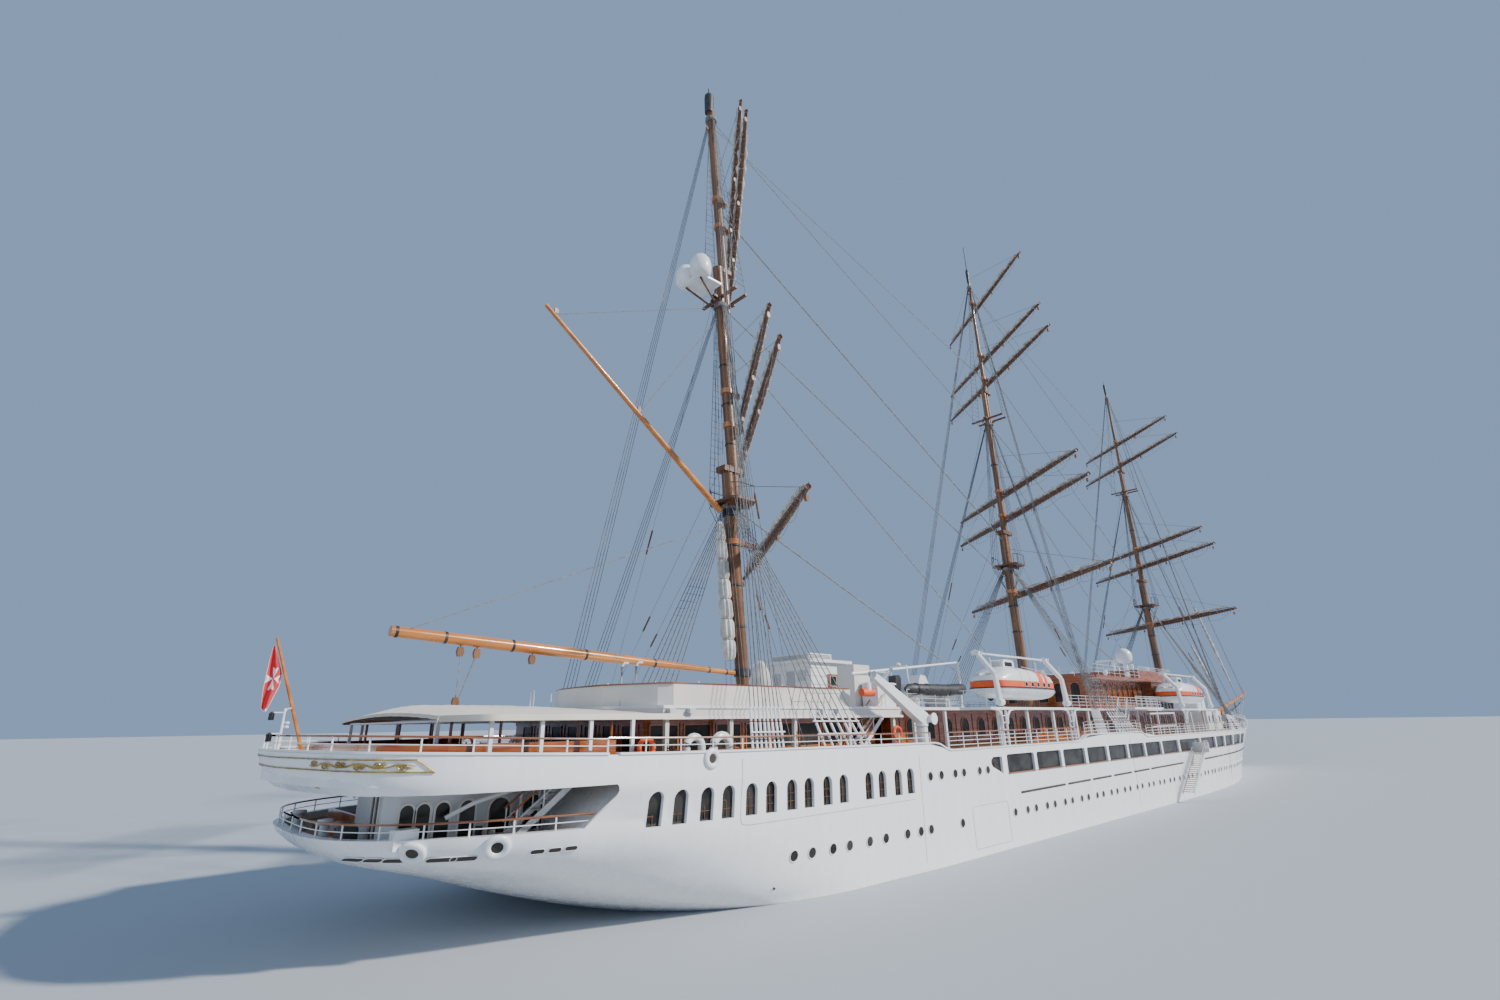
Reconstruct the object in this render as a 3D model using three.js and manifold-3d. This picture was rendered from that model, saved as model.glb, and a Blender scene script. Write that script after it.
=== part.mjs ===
// A three-masted square-rigged passenger sailing ship, afloat, as a 1:10 scale model.
// Frame: +X to the bow, +Y to port, +Z up, origin on the waterline on the centreline amidships.
// Every length in this file is in metres of the real ship; MODEL turns it into model millimetres.
import * as THREE from 'three';
import { mergeVertices } from 'three/addons/utils/BufferGeometryUtils.js';
import Module from 'manifold-3d';

const wasm = await Module();
wasm.setup();

const MODEL = 100;
const GAP = 0.004;
const SLIVER = 0.001;
const SIDES = [{ name: 'starboard', sign: -1 }, { name: 'port', sign: 1 }];

// Driving dimensions of the hull
const DRAUGHT = 5.65;
const MAIN_DECK = 5.2;
const FORECASTLE_DECK = 5.85;
const FORECASTLE_START = 46.5;
const STERN_JOINT = -49.4;
const MOORING_DECK = 3.4;
const PLANKING = 0.06;
const DECK_TOP = MAIN_DECK + GAP + PLANKING;
const BULWARK = 0.2;
const LOW_SHEER = 5.34;
const LOW_STRETCHES = [[-30, -12], [0.4, 46.2]];

// Hull stations from stern to bow: half-breadth at the sheer and at the waterline, height of the
// bottom on the centreline, height of the sheer, and how full the underwater section is.
const STATIONS = [
  { x: -58.75, deck: 1.4, water: 0.0, bottom: 4.5, sheer: 6.24, full: 2 },
  { x: -58.45, deck: 3.2, water: 0.0, bottom: 4.1, sheer: 6.23, full: 2 },
  { x: -58.0, deck: 5.3, water: 0.0, bottom: 3.5, sheer: 6.22, full: 2 },
  { x: -57.0, deck: 6.7, water: 0.0, bottom: 2.85, sheer: 6.19, full: 2 },
  { x: -55.0, deck: 7.7, water: 0.0, bottom: 2.15, sheer: 6.12, full: 2 },
  { x: -52.0, deck: 8.25, water: 0.0, bottom: 1.2, sheer: 6.01, full: 2 },
  { x: -49.8, deck: 8.45, water: 0.0, bottom: 0.5, sheer: 5.94, full: 2 },
  { x: -48.0, deck: 8.52, water: 0.0, bottom: 0.05, sheer: 5.9, full: 2 },
  { x: -45.0, deck: 8.58, water: 5.7, bottom: -0.9, sheer: 5.86, full: 2 },
  { x: -41.5, deck: 8.6, water: 7.8, bottom: -2.4, sheer: 5.83, full: 1.9 },
  { x: -36.0, deck: 8.6, water: 8.35, bottom: -4.6, sheer: 5.78, full: 2 },
  { x: -30.0, deck: 8.6, water: 8.6, bottom: -DRAUGHT, sheer: 5.75, full: 2.4 },
  { x: -18.0, deck: 8.6, water: 8.6, bottom: -DRAUGHT, sheer: 5.74, full: 3.4 },
  { x: 2.0, deck: 8.6, water: 8.6, bottom: -DRAUGHT, sheer: 5.74, full: 3.6 },
  { x: 16.0, deck: 8.6, water: 8.5, bottom: -DRAUGHT, sheer: 5.78, full: 3.0 },
  { x: 27.0, deck: 8.5, water: 7.9, bottom: -DRAUGHT, sheer: 5.85, full: 2.4 },
  { x: 34.0, deck: 8.2, water: 6.9, bottom: -DRAUGHT, sheer: 5.93, full: 2.0 },
  { x: 40.0, deck: 7.5, water: 5.7, bottom: -DRAUGHT, sheer: 6.05, full: 1.8 },
  { x: 45.0, deck: 6.6, water: 4.4, bottom: -DRAUGHT, sheer: 6.18, full: 1.6 },
  { x: 50.0, deck: 5.4, water: 2.9, bottom: -4.9, sheer: 6.35, full: 1.5 },
  { x: 54.0, deck: 4.15, water: 1.6, bottom: -3.0, sheer: 6.52, full: 1.4 },
  { x: 57.5, deck: 2.9, water: 0.0, bottom: 0.2, sheer: 6.7, full: 1.4 },
  { x: 60.5, deck: 1.65, water: 0.0, bottom: 3.8, sheer: 6.88, full: 1.4 },
  { x: 63.0, deck: 0.3, water: 0.0, bottom: 6.3, sheer: 7.05, full: 1.4 },
];
const KEEL_HALF = 0.35;
const UNDERWATER = [1, 0.92, 0.75, 0.5, 0.25];
const TOPSIDES = [0, 0.2, 0.45, 0.72, 1];

// Masts: x of the axis at the deck, aft rake, heights of tops, caps, crosstrees and truck, and the
// radius at the foot and the head of the lower mast, the topmast and the topgallant mast
const MASTS = [
  { name: 'mizzen', x: -36.2, rake: 0.09, top: 19.6, cap: 21.9,
    trees: 33.8, cap2: 36.2, truck: 50.9, pole: 51.6, radii: [[0.42, 0.38], [0.37, 0.34], [0.33, 0.28]] },
  { name: 'main', x: -1.4, rake: 0.03, top: 20.8, cap: 24.3,
    trees: 36.3, cap2: 39.6, truck: 54.6, pole: 57.7, radii: [[0.44, 0.37], [0.31, 0.22], [0.2, 0.1]] },
  { name: 'fore', x: 36.6, rake: 0, top: 20.9, cap: 24.5,
    trees: 37.1, cap2: 40.4, truck: 54.2, pole: 54.9, radii: [[0.44, 0.37], [0.31, 0.22], [0.2, 0.1]] },
];
const TOPMAST_STEP = 0.5;
const TOPGALLANT_STEP = 0.5;

// Yards: mast, name, height on the mast, half length, radius at the middle, how far the yard stands
// in front of the mast's axis, and the angle in degrees that it is braced round
const YARDS = [
  { mast: 'mizzen', name: 'course', z: 17.2, half: 10.4, radius: 0.25, reach: 2.2, turn: 34.5 },
  { mast: 'mizzen', name: 'lower_topsail', z: 24.8, half: 10.6, radius: 0.23, reach: 1.45, turn: 36 },
  { mast: 'mizzen', name: 'upper_topsail', z: 27.1, half: 9.7, radius: 0.22, reach: 1.35, turn: 36.5 },
  { mast: 'mizzen', name: 'lower_topgallant', z: 39.65, half: 9.5, radius: 0.19, reach: 1.15, turn: 38.5 },
  { mast: 'mizzen', name: 'upper_topgallant', z: 41.85, half: 8.1, radius: 0.18, reach: 1.1, turn: 38.5 },
  { mast: 'main', name: 'course', z: 18.4, half: 12.6, radius: 0.28, reach: 1.85, turn: 36.5 },
  { mast: 'main', name: 'lower_topsail', z: 26.0, half: 12.0, radius: 0.25, reach: 1.3, turn: 35 },
  { mast: 'main', name: 'upper_topsail', z: 28.5, half: 11.0, radius: 0.24, reach: 1.28, turn: 34.5 },
  { mast: 'main', name: 'lower_topgallant', z: 41.2, half: 10.4, radius: 0.2, reach: 1.17, turn: 34.5 },
  { mast: 'main', name: 'upper_topgallant', z: 44.0, half: 9.6, radius: 0.19, reach: 1.17, turn: 34.5 },
  { mast: 'main', name: 'royal', z: 50.4, half: 8.6, radius: 0.17, reach: 1.1, turn: 36.5 },
  { mast: 'fore', name: 'course', z: 18.6, half: 12.5, radius: 0.28, reach: 1.85, turn: 38 },
  { mast: 'fore', name: 'lower_topsail', z: 26.5, half: 12.2, radius: 0.25, reach: 1.3, turn: 38 },
  { mast: 'fore', name: 'upper_topsail', z: 28.9, half: 10.8, radius: 0.24, reach: 1.28, turn: 38 },
  { mast: 'fore', name: 'lower_topgallant', z: 41.8, half: 10.4, radius: 0.2, reach: 1.17, turn: 38 },
  { mast: 'fore', name: 'upper_topgallant', z: 45.0, half: 8.8, radius: 0.19, reach: 1.17, turn: 35.5 },
];
const FURL_RADIUS = 0.27;

// Decks and houses
const BOAT_DECK = 7.45;
const BOAT_DECK_THICK = 0.15;
const BOAT_DECK_TOP = BOAT_DECK + BOAT_DECK_THICK;
const SUN_DECK = 7.1;
const SUN_DECK_TOP = 7.6;
const SUN_BULWARK_TOP = 8.45;
const MAST_HOLE = 0.62;

// Promenade openings in the hull side: one row, shallow
const PROMENADE = { first: -23.6, pitch: 4.2, width: 3.5, count: 14, sill: 3.9, head: 4.8, depth: 0.25 };

// Boats: middle of each boat along the ship, and the davit's pivot and head
const BOAT_STATIONS = [{ name: 'aft', x: -17.75 }, { name: 'fore', x: 18.2 }];
const BOAT = { half: 4.5, beam: 3.0, keel: 8.1, gunwale: 9.25, roof: 10.35, y: 7.0 };
const DAVIT = { footY: 8.2, footZ: 7.9, headY: 7.0, headZ: 10.95, reach: 4.85, thick: 0.34 };

// Spanker spars and gathered sail, with the hinge line of the spars behind the mizzen mast
const SPANKER = { hingeX: -37.25, boomZ: 9.6, boomEndX: -55.4, boomEndZ: 10.55,
  gaffX: -38.25, gaffZ: 19.0, gaffEndX: -50.3, gaffEndZ: 27.9 };

const parts = new THREE.Group();

// Solids made of three.js geometries, joined and cut by manifold-3d
function solidOf(geometry) {
  const plain = geometry.clone();
  plain.deleteAttribute('normal');
  plain.deleteAttribute('uv');
  const merged = mergeVertices(plain, 1e-5);
  const source = merged.index.array;
  const triangles = [];
  for (let i = 0; i < source.length; i += 3) {
    const [a, b, c] = [source[i], source[i + 1], source[i + 2]];
    if (a !== b && b !== c && c !== a) triangles.push(a, b, c);
  }
  return new wasm.Manifold(new wasm.Mesh({
    numProp: 3,
    vertProperties: Float32Array.from(merged.attributes.position.array),
    triVerts: Uint32Array.from(triangles),
  }));
}

function join(solids) {
  return solids.reduce((whole, solid) => whole.add(solid));
}

function addPart(name, solid, look, place = {}) {
  const mesh = solid.simplify(SLIVER).getMesh();
  const geometry = new THREE.BufferGeometry();
  const positions = Float32Array.from(mesh.vertProperties, (value) => value * MODEL);
  geometry.setAttribute('position', new THREE.BufferAttribute(positions, 3));
  geometry.setIndex(Array.from(mesh.triVerts));
  geometry.computeVertexNormals();
  const part = new THREE.Mesh(geometry, new THREE.MeshStandardMaterial(look));
  part.name = name;
  if (place.at) part.position.set(...place.at.map((value) => value * MODEL));
  if (place.turn) part.rotation.z = place.turn;
  parts.add(part);
}

function box(x0, x1, y0, y1, z0, z1) {
  const geometry = new THREE.BoxGeometry(x1 - x0, y1 - y0, z1 - z0);
  return solidOf(geometry.translate((x0 + x1) / 2, (y0 + y1) / 2, (z0 + z1) / 2));
}

// A square post from the main deck up to a height
function post(x, y, top, half) {
  return box(x - half, x + half, y - half, y + half, DECK_TOP + GAP, top);
}

// A round bar from one point to another, tapered where the end radius differs
function bar(from, to, radius, endRadius = radius, sides = 8) {
  const start = new THREE.Vector3(...from);
  const along = new THREE.Vector3(...to).sub(start);
  const length = along.length();
  const geometry = new THREE.CylinderGeometry(endRadius, radius, length, sides);
  geometry.translate(0, length / 2, 0);
  const turn = new THREE.Quaternion().setFromUnitVectors(new THREE.Vector3(0, 1, 0), along.normalize());
  geometry.applyQuaternion(turn).translate(...from);
  return solidOf(geometry);
}

// A round spar lying across the ship at x and z, as half length and end radius either side
function crossSpar(x, z, half, radius, endRadius, sides) {
  const points = [[0, -half], [endRadius, -half], [radius, 0], [endRadius, half], [0, half]];
  const geometry = new THREE.LatheGeometry(points.map(([r, along]) => new THREE.Vector2(r, along)), sides);
  return solidOf(geometry.translate(x, 0, z));
}

function trimBelow(solid, z) {
  return solid.subtract(box(-80, 90, -12, 12, z - 3, z));
}

// A flat outline in x and y, standing between two heights
function plate(outline, z0, z1) {
  const shape = new THREE.Shape(outline.map(([x, y]) => new THREE.Vector2(x, y)));
  const geometry = new THREE.ExtrudeGeometry(shape, { depth: z1 - z0, bevelEnabled: false });
  return solidOf(geometry.translate(0, 0, z0));
}

// An outline in x and z, running across the ship between two y values
function profile(outline, y0, y1) {
  const shape = new THREE.Shape(outline.map(([x, z]) => new THREE.Vector2(x, z)));
  const geometry = new THREE.ExtrudeGeometry(shape, { depth: y1 - y0, bevelEnabled: false });
  return solidOf(geometry.rotateX(Math.PI / 2).translate(0, y1, 0));
}

// A turned shape around a vertical axis, from radius and height pairs that start and end on it
function turned(points, x, y, sides = 12) {
  const geometry = new THREE.LatheGeometry(points.map(([r, z]) => new THREE.Vector2(r, z)), sides);
  return solidOf(geometry.rotateX(Math.PI / 2).translate(x, y, 0));
}

// A skin through rings of equal point count, closed at both ends
function loft(rings) {
  const count = rings[0].length;
  const index = [];
  for (let i = 0; i + 1 < rings.length; i += 1) {
    for (let j = 0; j < count; j += 1) {
      const a = i * count + j;
      const b = i * count + ((j + 1) % count);
      index.push(a, b, b + count, a, b + count, a + count);
    }
  }
  const capTriangles = (ring) => THREE.ShapeUtils.triangulateShape(
    ring.map(([, y, z]) => new THREE.Vector2(y, z)), []).map((face) => [...face].sort((p, q) => p - q));
  for (const [a, b, c] of capTriangles(rings[0])) index.push(a, c, b);
  const last = (rings.length - 1) * count;
  for (const [a, b, c] of capTriangles(rings[rings.length - 1])) index.push(last + a, last + b, last + c);
  const points = rings.flat();
  const vector = (k) => new THREE.Vector3(...points[k]);
  const volume = (p, q, r) => vector(p).dot(vector(q).cross(vector(r)));
  let total = 0;
  for (let i = 0; i < index.length; i += 3) {
    total += volume(index[i], index[i + 1], index[i + 2]);
  }
  const geometry = new THREE.BufferGeometry();
  geometry.setAttribute('position', new THREE.Float32BufferAttribute(points.flat(), 3));
  geometry.setIndex(total > 0 ? index : index.reverse());
  return solidOf(geometry);
}

// Value of a station column at any x, on straight lines between stations
function atStation(x, column) {
  const last = STATIONS.length - 1;
  if (x <= STATIONS[0].x) return STATIONS[0][column];
  if (x >= STATIONS[last].x) return STATIONS[last][column];
  const k = STATIONS.findIndex((station) => station.x >= x);
  const [a, b] = [STATIONS[k - 1], STATIONS[k]];
  return a[column] + ((b[column] - a[column]) * (x - a.x)) / (b.x - a.x);
}

// Half of one hull section, from the keel up to the sheer, as y and z pairs
function halfSection(station) {
  if (station.bottom >= 0) {
    const steps = UNDERWATER.length + TOPSIDES.length - 1;
    const bow = station.x > 0;
    return Array.from({ length: steps + 1 }, (_, k) => {
      const t = k / steps;
      const spread = bow ? t ** 0.75 : Math.sqrt(1 - (1 - t) ** 2) ** 0.9;
      const foot = Math.min(KEEL_HALF, station.deck / 2);
      return [foot + (station.deck - foot) * spread, station.bottom + (station.sheer - station.bottom) * t];
    });
  }
  const under = UNDERWATER.map((u) => {
    const spread = (1 - u ** station.full) ** (1 / station.full);
    return [KEEL_HALF + (station.water - KEEL_HALF) * spread, station.bottom * u];
  });
  const over = TOPSIDES.map((t) => {
    const flare = station.x > 0 ? t ** 1.2 : Math.sin((t * Math.PI) / 2) ** 0.7;
    return [station.water + (station.deck - station.water) * flare, station.sheer * t];
  });
  return [...under, ...over];
}

function hullRing(station) {
  const half = halfSection(station);
  const starboard = half.map(([y, z]) => [station.x, -y, z]);
  const port = half.map(([y, z]) => [station.x, y, z]).reverse();
  return [...starboard, ...port];
}

// Plan of the hull at a height, drawn in by an inset, between two x values, as one closed outline
function deckOutline(z, inset, fromX, toX) {
  const xs = STATIONS.map((station) => station.x).filter((x) => x > fromX && x < toX);
  const side = [fromX, ...xs, toX].map((x) => [x, Math.max(halfAt(x, z) - inset, 0.05)]);
  return [...side.map(([x, y]) => [x, -y]), ...side.reverse()];
}

// The whole outer form, before the hull, the stern and the bulwark are cut from it
function hullForm() {
  return loft(STATIONS.map(hullRing));
}

function hull() {
  const skeg = profile([[-45.6, -DRAUGHT], [-31, -DRAUGHT], [-31, -4], [-45.2, -1.1]], -0.3, 0.3);
  const shaftBoss = bar([-38, 0, -3.4], [-46.2, 0, -3.4], 0.55, 0.42, 12);
  const solid = join([hullForm(), skeg, shaftBoss])
    .subtract(box(-60, STERN_JOINT + GAP, -9, 9, -7, 8))
    .subtract(box(-60, FORECASTLE_START, -9, 9, MAIN_DECK, 8))
    .subtract(box(FORECASTLE_START - 1, 64, -9, 9, FORECASTLE_DECK, 8));
  return solid.subtract(promenadeCuts());
}

// Stern section: the open mooring deck runs round a house inside it
function stern() {
  const solid = hullForm()
    .subtract(box(STERN_JOINT, 64, -9, 9, -7, 8))
    .subtract(box(-60, 0, -9, 9, MAIN_DECK, 8));
  const slot = profile([[-60, 3.7], [-50.8, 3.7], [-49.9, 5.02], [-60, 5.02]], -9, 9);
  const floor = plate(deckOutline(MOORING_DECK, 0.35, -57.2, -50.8), MOORING_DECK, 3.75);
  const house = plate([[-56.6, -4.2], [-55.8, -5], [-48, -5], [-48, 5], [-55.8, 5], [-56.6, 4.2]], 3, 5.05);
  return solid.subtract(join([slot, floor]).subtract(house));
}

// Bulwark: the plating that stands above the decks, low where the side decks are open
function bulwark() {
  const [aftEnd, bowEnd, high] = [STATIONS[0].x, STATIONS[STATIONS.length - 1].x, 12];
  let solid = hullForm()
    .subtract(box(-60, FORECASTLE_START, -9, 9, -7, MAIN_DECK + GAP))
    .subtract(box(FORECASTLE_START, 64, -9, 9, -7, FORECASTLE_DECK + GAP))
    .subtract(plate(deckOutline(MAIN_DECK, BULWARK, aftEnd + BULWARK * 2, FORECASTLE_START), -7, high))
    .subtract(plate(deckOutline(FORECASTLE_DECK, BULWARK, FORECASTLE_START, bowEnd - 1.2), -7, high));
  for (const [x0, x1] of LOW_STRETCHES) solid = solid.subtract(box(x0, x1, -9, 9, LOW_SHEER, high));
  return solid;
}

// Weather deck: main deck, the riser at the break and the forecastle deck, as one planked sheet
function deck() {
  const inset = BULWARK + GAP;
  const [aftEnd, bowEnd] = [STATIONS[0].x + BULWARK * 2 + GAP, STATIONS[STATIONS.length - 1].x - 1.2 - GAP];
  const [riserBack, riserFace] = [FORECASTLE_START - GAP - PLANKING, FORECASTLE_START - GAP];
  const highTop = FORECASTLE_DECK + PLANKING;
  const plan = (fromX, toX) => deckOutline(MAIN_DECK, inset, fromX, toX);
  const low = plate(plan(aftEnd, riserFace), MAIN_DECK + GAP, DECK_TOP);
  const high = plate(deckOutline(FORECASTLE_DECK, inset, riserFace + GAP, bowEnd),
    FORECASTLE_DECK + GAP, highTop + GAP);
  const lip = plate(plan(riserBack, riserFace + PLANKING), FORECASTLE_DECK + GAP * 2, highTop);
  const riser = plate(plan(riserBack, riserFace), MAIN_DECK + GAP * 2, highTop);
  return join([low, high, lip, riser]);
}

function promenadeCuts() {
  const { first, pitch, width, count, sill, head, depth } = PROMENADE;
  const cuts = [];
  for (let k = 0; k < count; k += 1) {
    const x0 = first + k * pitch;
    const half = Math.min(atStation(x0, 'deck'), atStation(x0 + width, 'deck')) - depth;
    const inner = Math.min(half, halfAt(x0, sill) - depth, halfAt(x0 + width, sill) - depth);
    for (const { sign } of SIDES) {
      const [y0, y1] = sign > 0 ? [inner, 9.2] : [-9.2, -inner];
      cuts.push(box(x0, x0 + width, y0, y1, sill, head));
    }
  }
  return join(cuts);
}

// Half-breadth of the hull at any x and any height above the waterline
function halfAt(x, z) {
  const station = { x };
  for (const column of ['deck', 'water', 'bottom', 'sheer', 'full']) station[column] = atStation(x, column);
  const half = halfSection(station);
  const k = half.findIndex(([, height]) => height >= z);
  const [[y0, z0], [y1, z1]] = [half[k - 1], half[k]];
  return y0 + ((y1 - y0) * (z - z0)) / (z1 - z0);
}

function propeller() {
  const hub = bar([-46.26, 0, -3.4], [-47.5, 0, -3.4], 0.38, 0.2, 12);
  const blades = [0, 1, 2, 3].map((k) => {
    const outline = new THREE.Shape();
    outline.moveTo(-0.18, 0.1);
    outline.bezierCurveTo(-0.75, 0.8, -0.6, 1.5, 0, 1.62);
    outline.bezierCurveTo(0.6, 1.5, 0.75, 0.8, 0.18, 0.1);
    const blade = new THREE.ExtrudeGeometry(outline, { depth: 0.1, bevelEnabled: false, curveSegments: 5 });
    blade.translate(0, 0, -0.05).rotateY(Math.PI / 2 - 0.6).rotateX((k * Math.PI) / 2);
    return solidOf(blade.translate(-46.85, 0, -3.4));
  });
  return join([hub, ...blades]);
}

function rudder() {
  const blade = profile([[-51.5, -5.2], [-48.75, -5.2], [-48.55, -1.75], [-51.1, -1.55]], -0.17, 0.17);
  const stock = bar([-49.4, 0, -1.9], [-49.4, 0, -0.86], 0.2, 0.2, 10);
  return join([blade, stock]);
}

// Centre of the mast at a height: the axis steps forward at each doubling
function mastX(mast, z, step = 0) {
  return mast.x - mast.rake * (z - MAIN_DECK) + step;
}

function mastStep(mast, z) {
  if (z > mast.cap2) return TOPMAST_STEP + TOPGALLANT_STEP;
  return z > mast.cap ? TOPMAST_STEP : 0;
}

function mastSolid(mast) {
  const point = (z, step) => [mastX(mast, z, step), 0, z];
  const steps = [0, TOPMAST_STEP, TOPMAST_STEP + TOPGALLANT_STEP];
  const capRadius = mast.radii[2][1] + 0.07;
  const spars = [
    bar(point(DECK_TOP - 0.3, 0), point(mast.cap + 0.06, 0), ...mast.radii[0], 12),
    bar(point(mast.top + 0.05, steps[1]), point(mast.cap2, steps[1]), ...mast.radii[1], 10),
    bar(point(mast.trees - 0.3, steps[2]), point(mast.truck, steps[2]), ...mast.radii[2], 10),
    bar(point(mast.truck - 0.2, steps[2]), point(mast.pole, steps[2]), 0.05, 0.04, 6),
    turned([[0, -0.1], [capRadius, -0.1], [capRadius, 0.08], [0, 0.1]].map(([r, z]) => (
      [r, mast.truck + z])), mastX(mast, mast.truck, steps[2]), 0, 8),
  ];
  const across = (z, x0, x1, half, thick) => (
    box(mastX(mast, z) + x0, mastX(mast, z) + x1, -half, half, z, z + thick));
  const platforms = [
    across(mast.top, -0.75, 1.35, 1.35, 0.16),
    across(mast.cap - 0.35, -0.55, 1.2, 0.5, 0.35),
    across(mast.trees, -0.1, 1.75, 0.16, 0.16),
    across(mast.trees + 0.03, 0.35, 0.55, 1.7, 0.15),
    across(mast.trees + 0.03, 1.42, 1.6, 1.5, 0.15),
    across(mast.cap2 - 0.28, 0.35, 1.6, 0.34, 0.28),
  ];
  // Jaws that hold the spanker's boom and gaff behind the mizzen mast
  const jaws = [[SPANKER.boomZ, 0.46], [SPANKER.gaffZ, 0.55]].map(([z, back]) => (
    box(mastX(mast, z) - back, mastX(mast, z), -0.1, 0.1, z - 0.12, z + 0.12)));
  const trusses = YARDS.filter((yard) => yard.mast === mast.name).map((yard) => {
    const x = mastX(mast, yard.z, mastStep(mast, yard.z));
    const radius = mastRadius(mast, yard.z) + 0.07;
    const band = bar([x, 0, yard.z - 0.16], [x, 0, yard.z + 0.16], radius, radius, 8);
    return join([band, box(x, x + yard.reach - 0.36, -0.12, 0.12, yard.z - 0.1, yard.z + 0.1)]);
  });
  const held = mast.name === 'mizzen' ? jaws : [];
  return trimBelow(join([...spars, ...platforms, ...trusses, ...held]), DECK_TOP + GAP);
}

function mastRadius(mast, z) {
  if (z > mast.cap2) return mast.radii[2][0];
  return z > mast.cap ? mast.radii[1][0] : mast.radii[0][0];
}

// A yard with its furled sail on top, square across its pivot on the mast axis
function yardSolid(yard) {
  const spar = crossSpar(yard.reach, 0, yard.half, yard.radius, yard.radius * 0.45, 8);
  const furl = crossSpar(yard.reach, yard.radius + FURL_RADIUS * 0.6, yard.half * 0.93, FURL_RADIUS, 0.15, 6);
  return join([spar, furl]);
}

function yardPlace(mast, yard) {
  const at = [mastX(mast, yard.z, mastStep(mast, yard.z)), 0, yard.z];
  return { at, turn: -THREE.MathUtils.degToRad(yard.turn) };
}

function bowsprit() {
  const spar = bar([56.2, 0, 7.05], [79, 0, 10.4], 0.38, 0.17, 12);
  const knee = box(60.4, 61.6, -0.4, 0.4, FORECASTLE_DECK + GAP * 2 + PLANKING, 7.7);
  const heel = box(56, 57, -0.55, 0.55, FORECASTLE_DECK + GAP * 2 + PLANKING, 7.35);
  const striker = bar([70.6, 0, 9.1], [70.9, 0, 5.6], 0.13, 0.09, 8);
  return join([spar, knee, heel, striker]);
}

// Gap along the ship between shroud eyes on one band
const ROPE_SPACING = 0.16;

// Stays of one mast, joined by a band at each hound and by a chain rail on each side
function rigging(mast, stays, shrouds) {
  const rope = 0.045;
  const hounds = { top: mast.top - 0.25, trees: mast.trees - 0.55, truck: mast.truck - 2.2 };
  const steps = { top: 0, trees: TOPMAST_STEP, truck: TOPMAST_STEP + TOPGALLANT_STEP };
  const radii = { top: 0.47, trees: mast.radii[1][1] + 0.12, truck: mast.radii[2][1] + 0.1 };
  const solids = [];
  const at = (hound) => [mastX(mast, hounds[hound], steps[hound]), 0, hounds[hound]];
  const bands = Object.keys(hounds).map((hound) => {
    const [x, , z] = at(hound);
    return bar([x, 0, z - 0.16], [x, 0, z + 0.16], radii[hound] + 0.1, radii[hound] + 0.1, 10)
      .subtract(bar([x, 0, z - 0.3], [x, 0, z + 0.3], radii[hound], radii[hound], 10));
  });
  for (const { sign } of SIDES) {
    const railXs = shrouds.map(({ x }) => x);
    const [x0, x1] = [Math.min(...railXs) - 0.3, Math.max(...railXs) + 0.3];
    const railZ = Math.max(sheerAt(x0), sheerAt(x1)) + 0.12;
    const foot = (x) => [x, sign * (atStation(x, 'deck') - 0.1), railZ];
    const edge = (x, inset) => [x, sign * (atStation(x, 'deck') - inset)];
    const middle = (x0 + x1) / 2;
    const rail = [[x0, 0.02], [middle, 0.02], [x1, 0.02], [x1, 0.18], [middle, 0.18], [x0, 0.18]]
      .map(([x, inset]) => edge(x, inset));
    solids.push(plate(sign > 0 ? rail.slice().reverse() : rail, railZ - 0.09, railZ + 0.09));
    const fans = Object.keys(hounds).map((hound) => shrouds.filter((shroud) => shroud.hound === hound));
    for (const fan of fans) {
      fan.forEach(({ x, hound }, k) => {
        const [hx, , hz] = at(hound);
        const along = ROPE_SPACING * ((fan.length - 1) / 2 - k);
        const out = Math.sqrt((radii[hound] + 0.05) ** 2 - along ** 2);
        solids.push(bar(foot(x), [hx + along, sign * out, hz], rope, rope, 4));
      });
    }
  }
  for (const { hound, to } of stays) {
    const [hx, , hz] = at(hound);
    solids.push(bar([hx + radii[hound] + 0.04, 0, hz], to, rope, rope, 4));
  }
  return join([...solids, ...bands]);
}

function sheerAt(x) {
  const low = LOW_STRETCHES.some(([x0, x1]) => x > x0 && x < x1);
  return low ? LOW_SHEER : atStation(x, 'sheer');
}

// Where each mast's stays lead, and which hound each shroud and backstay runs to
function shroudsOf(mast, aft) {
  const lower = [1.2, 1.95, 2.7, 3.45].map((back) => ({ x: mast.x - back, hound: 'top' }));
  const topmast = [aft, aft + 0.8].map((back) => ({ x: mast.x - back, hound: 'trees' }));
  const topgallant = [aft + 1.6, aft + 2.3].map((back) => ({ x: mast.x - back, hound: 'truck' }));
  return [...lower, ...topmast, ...topgallant];
}

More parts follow.
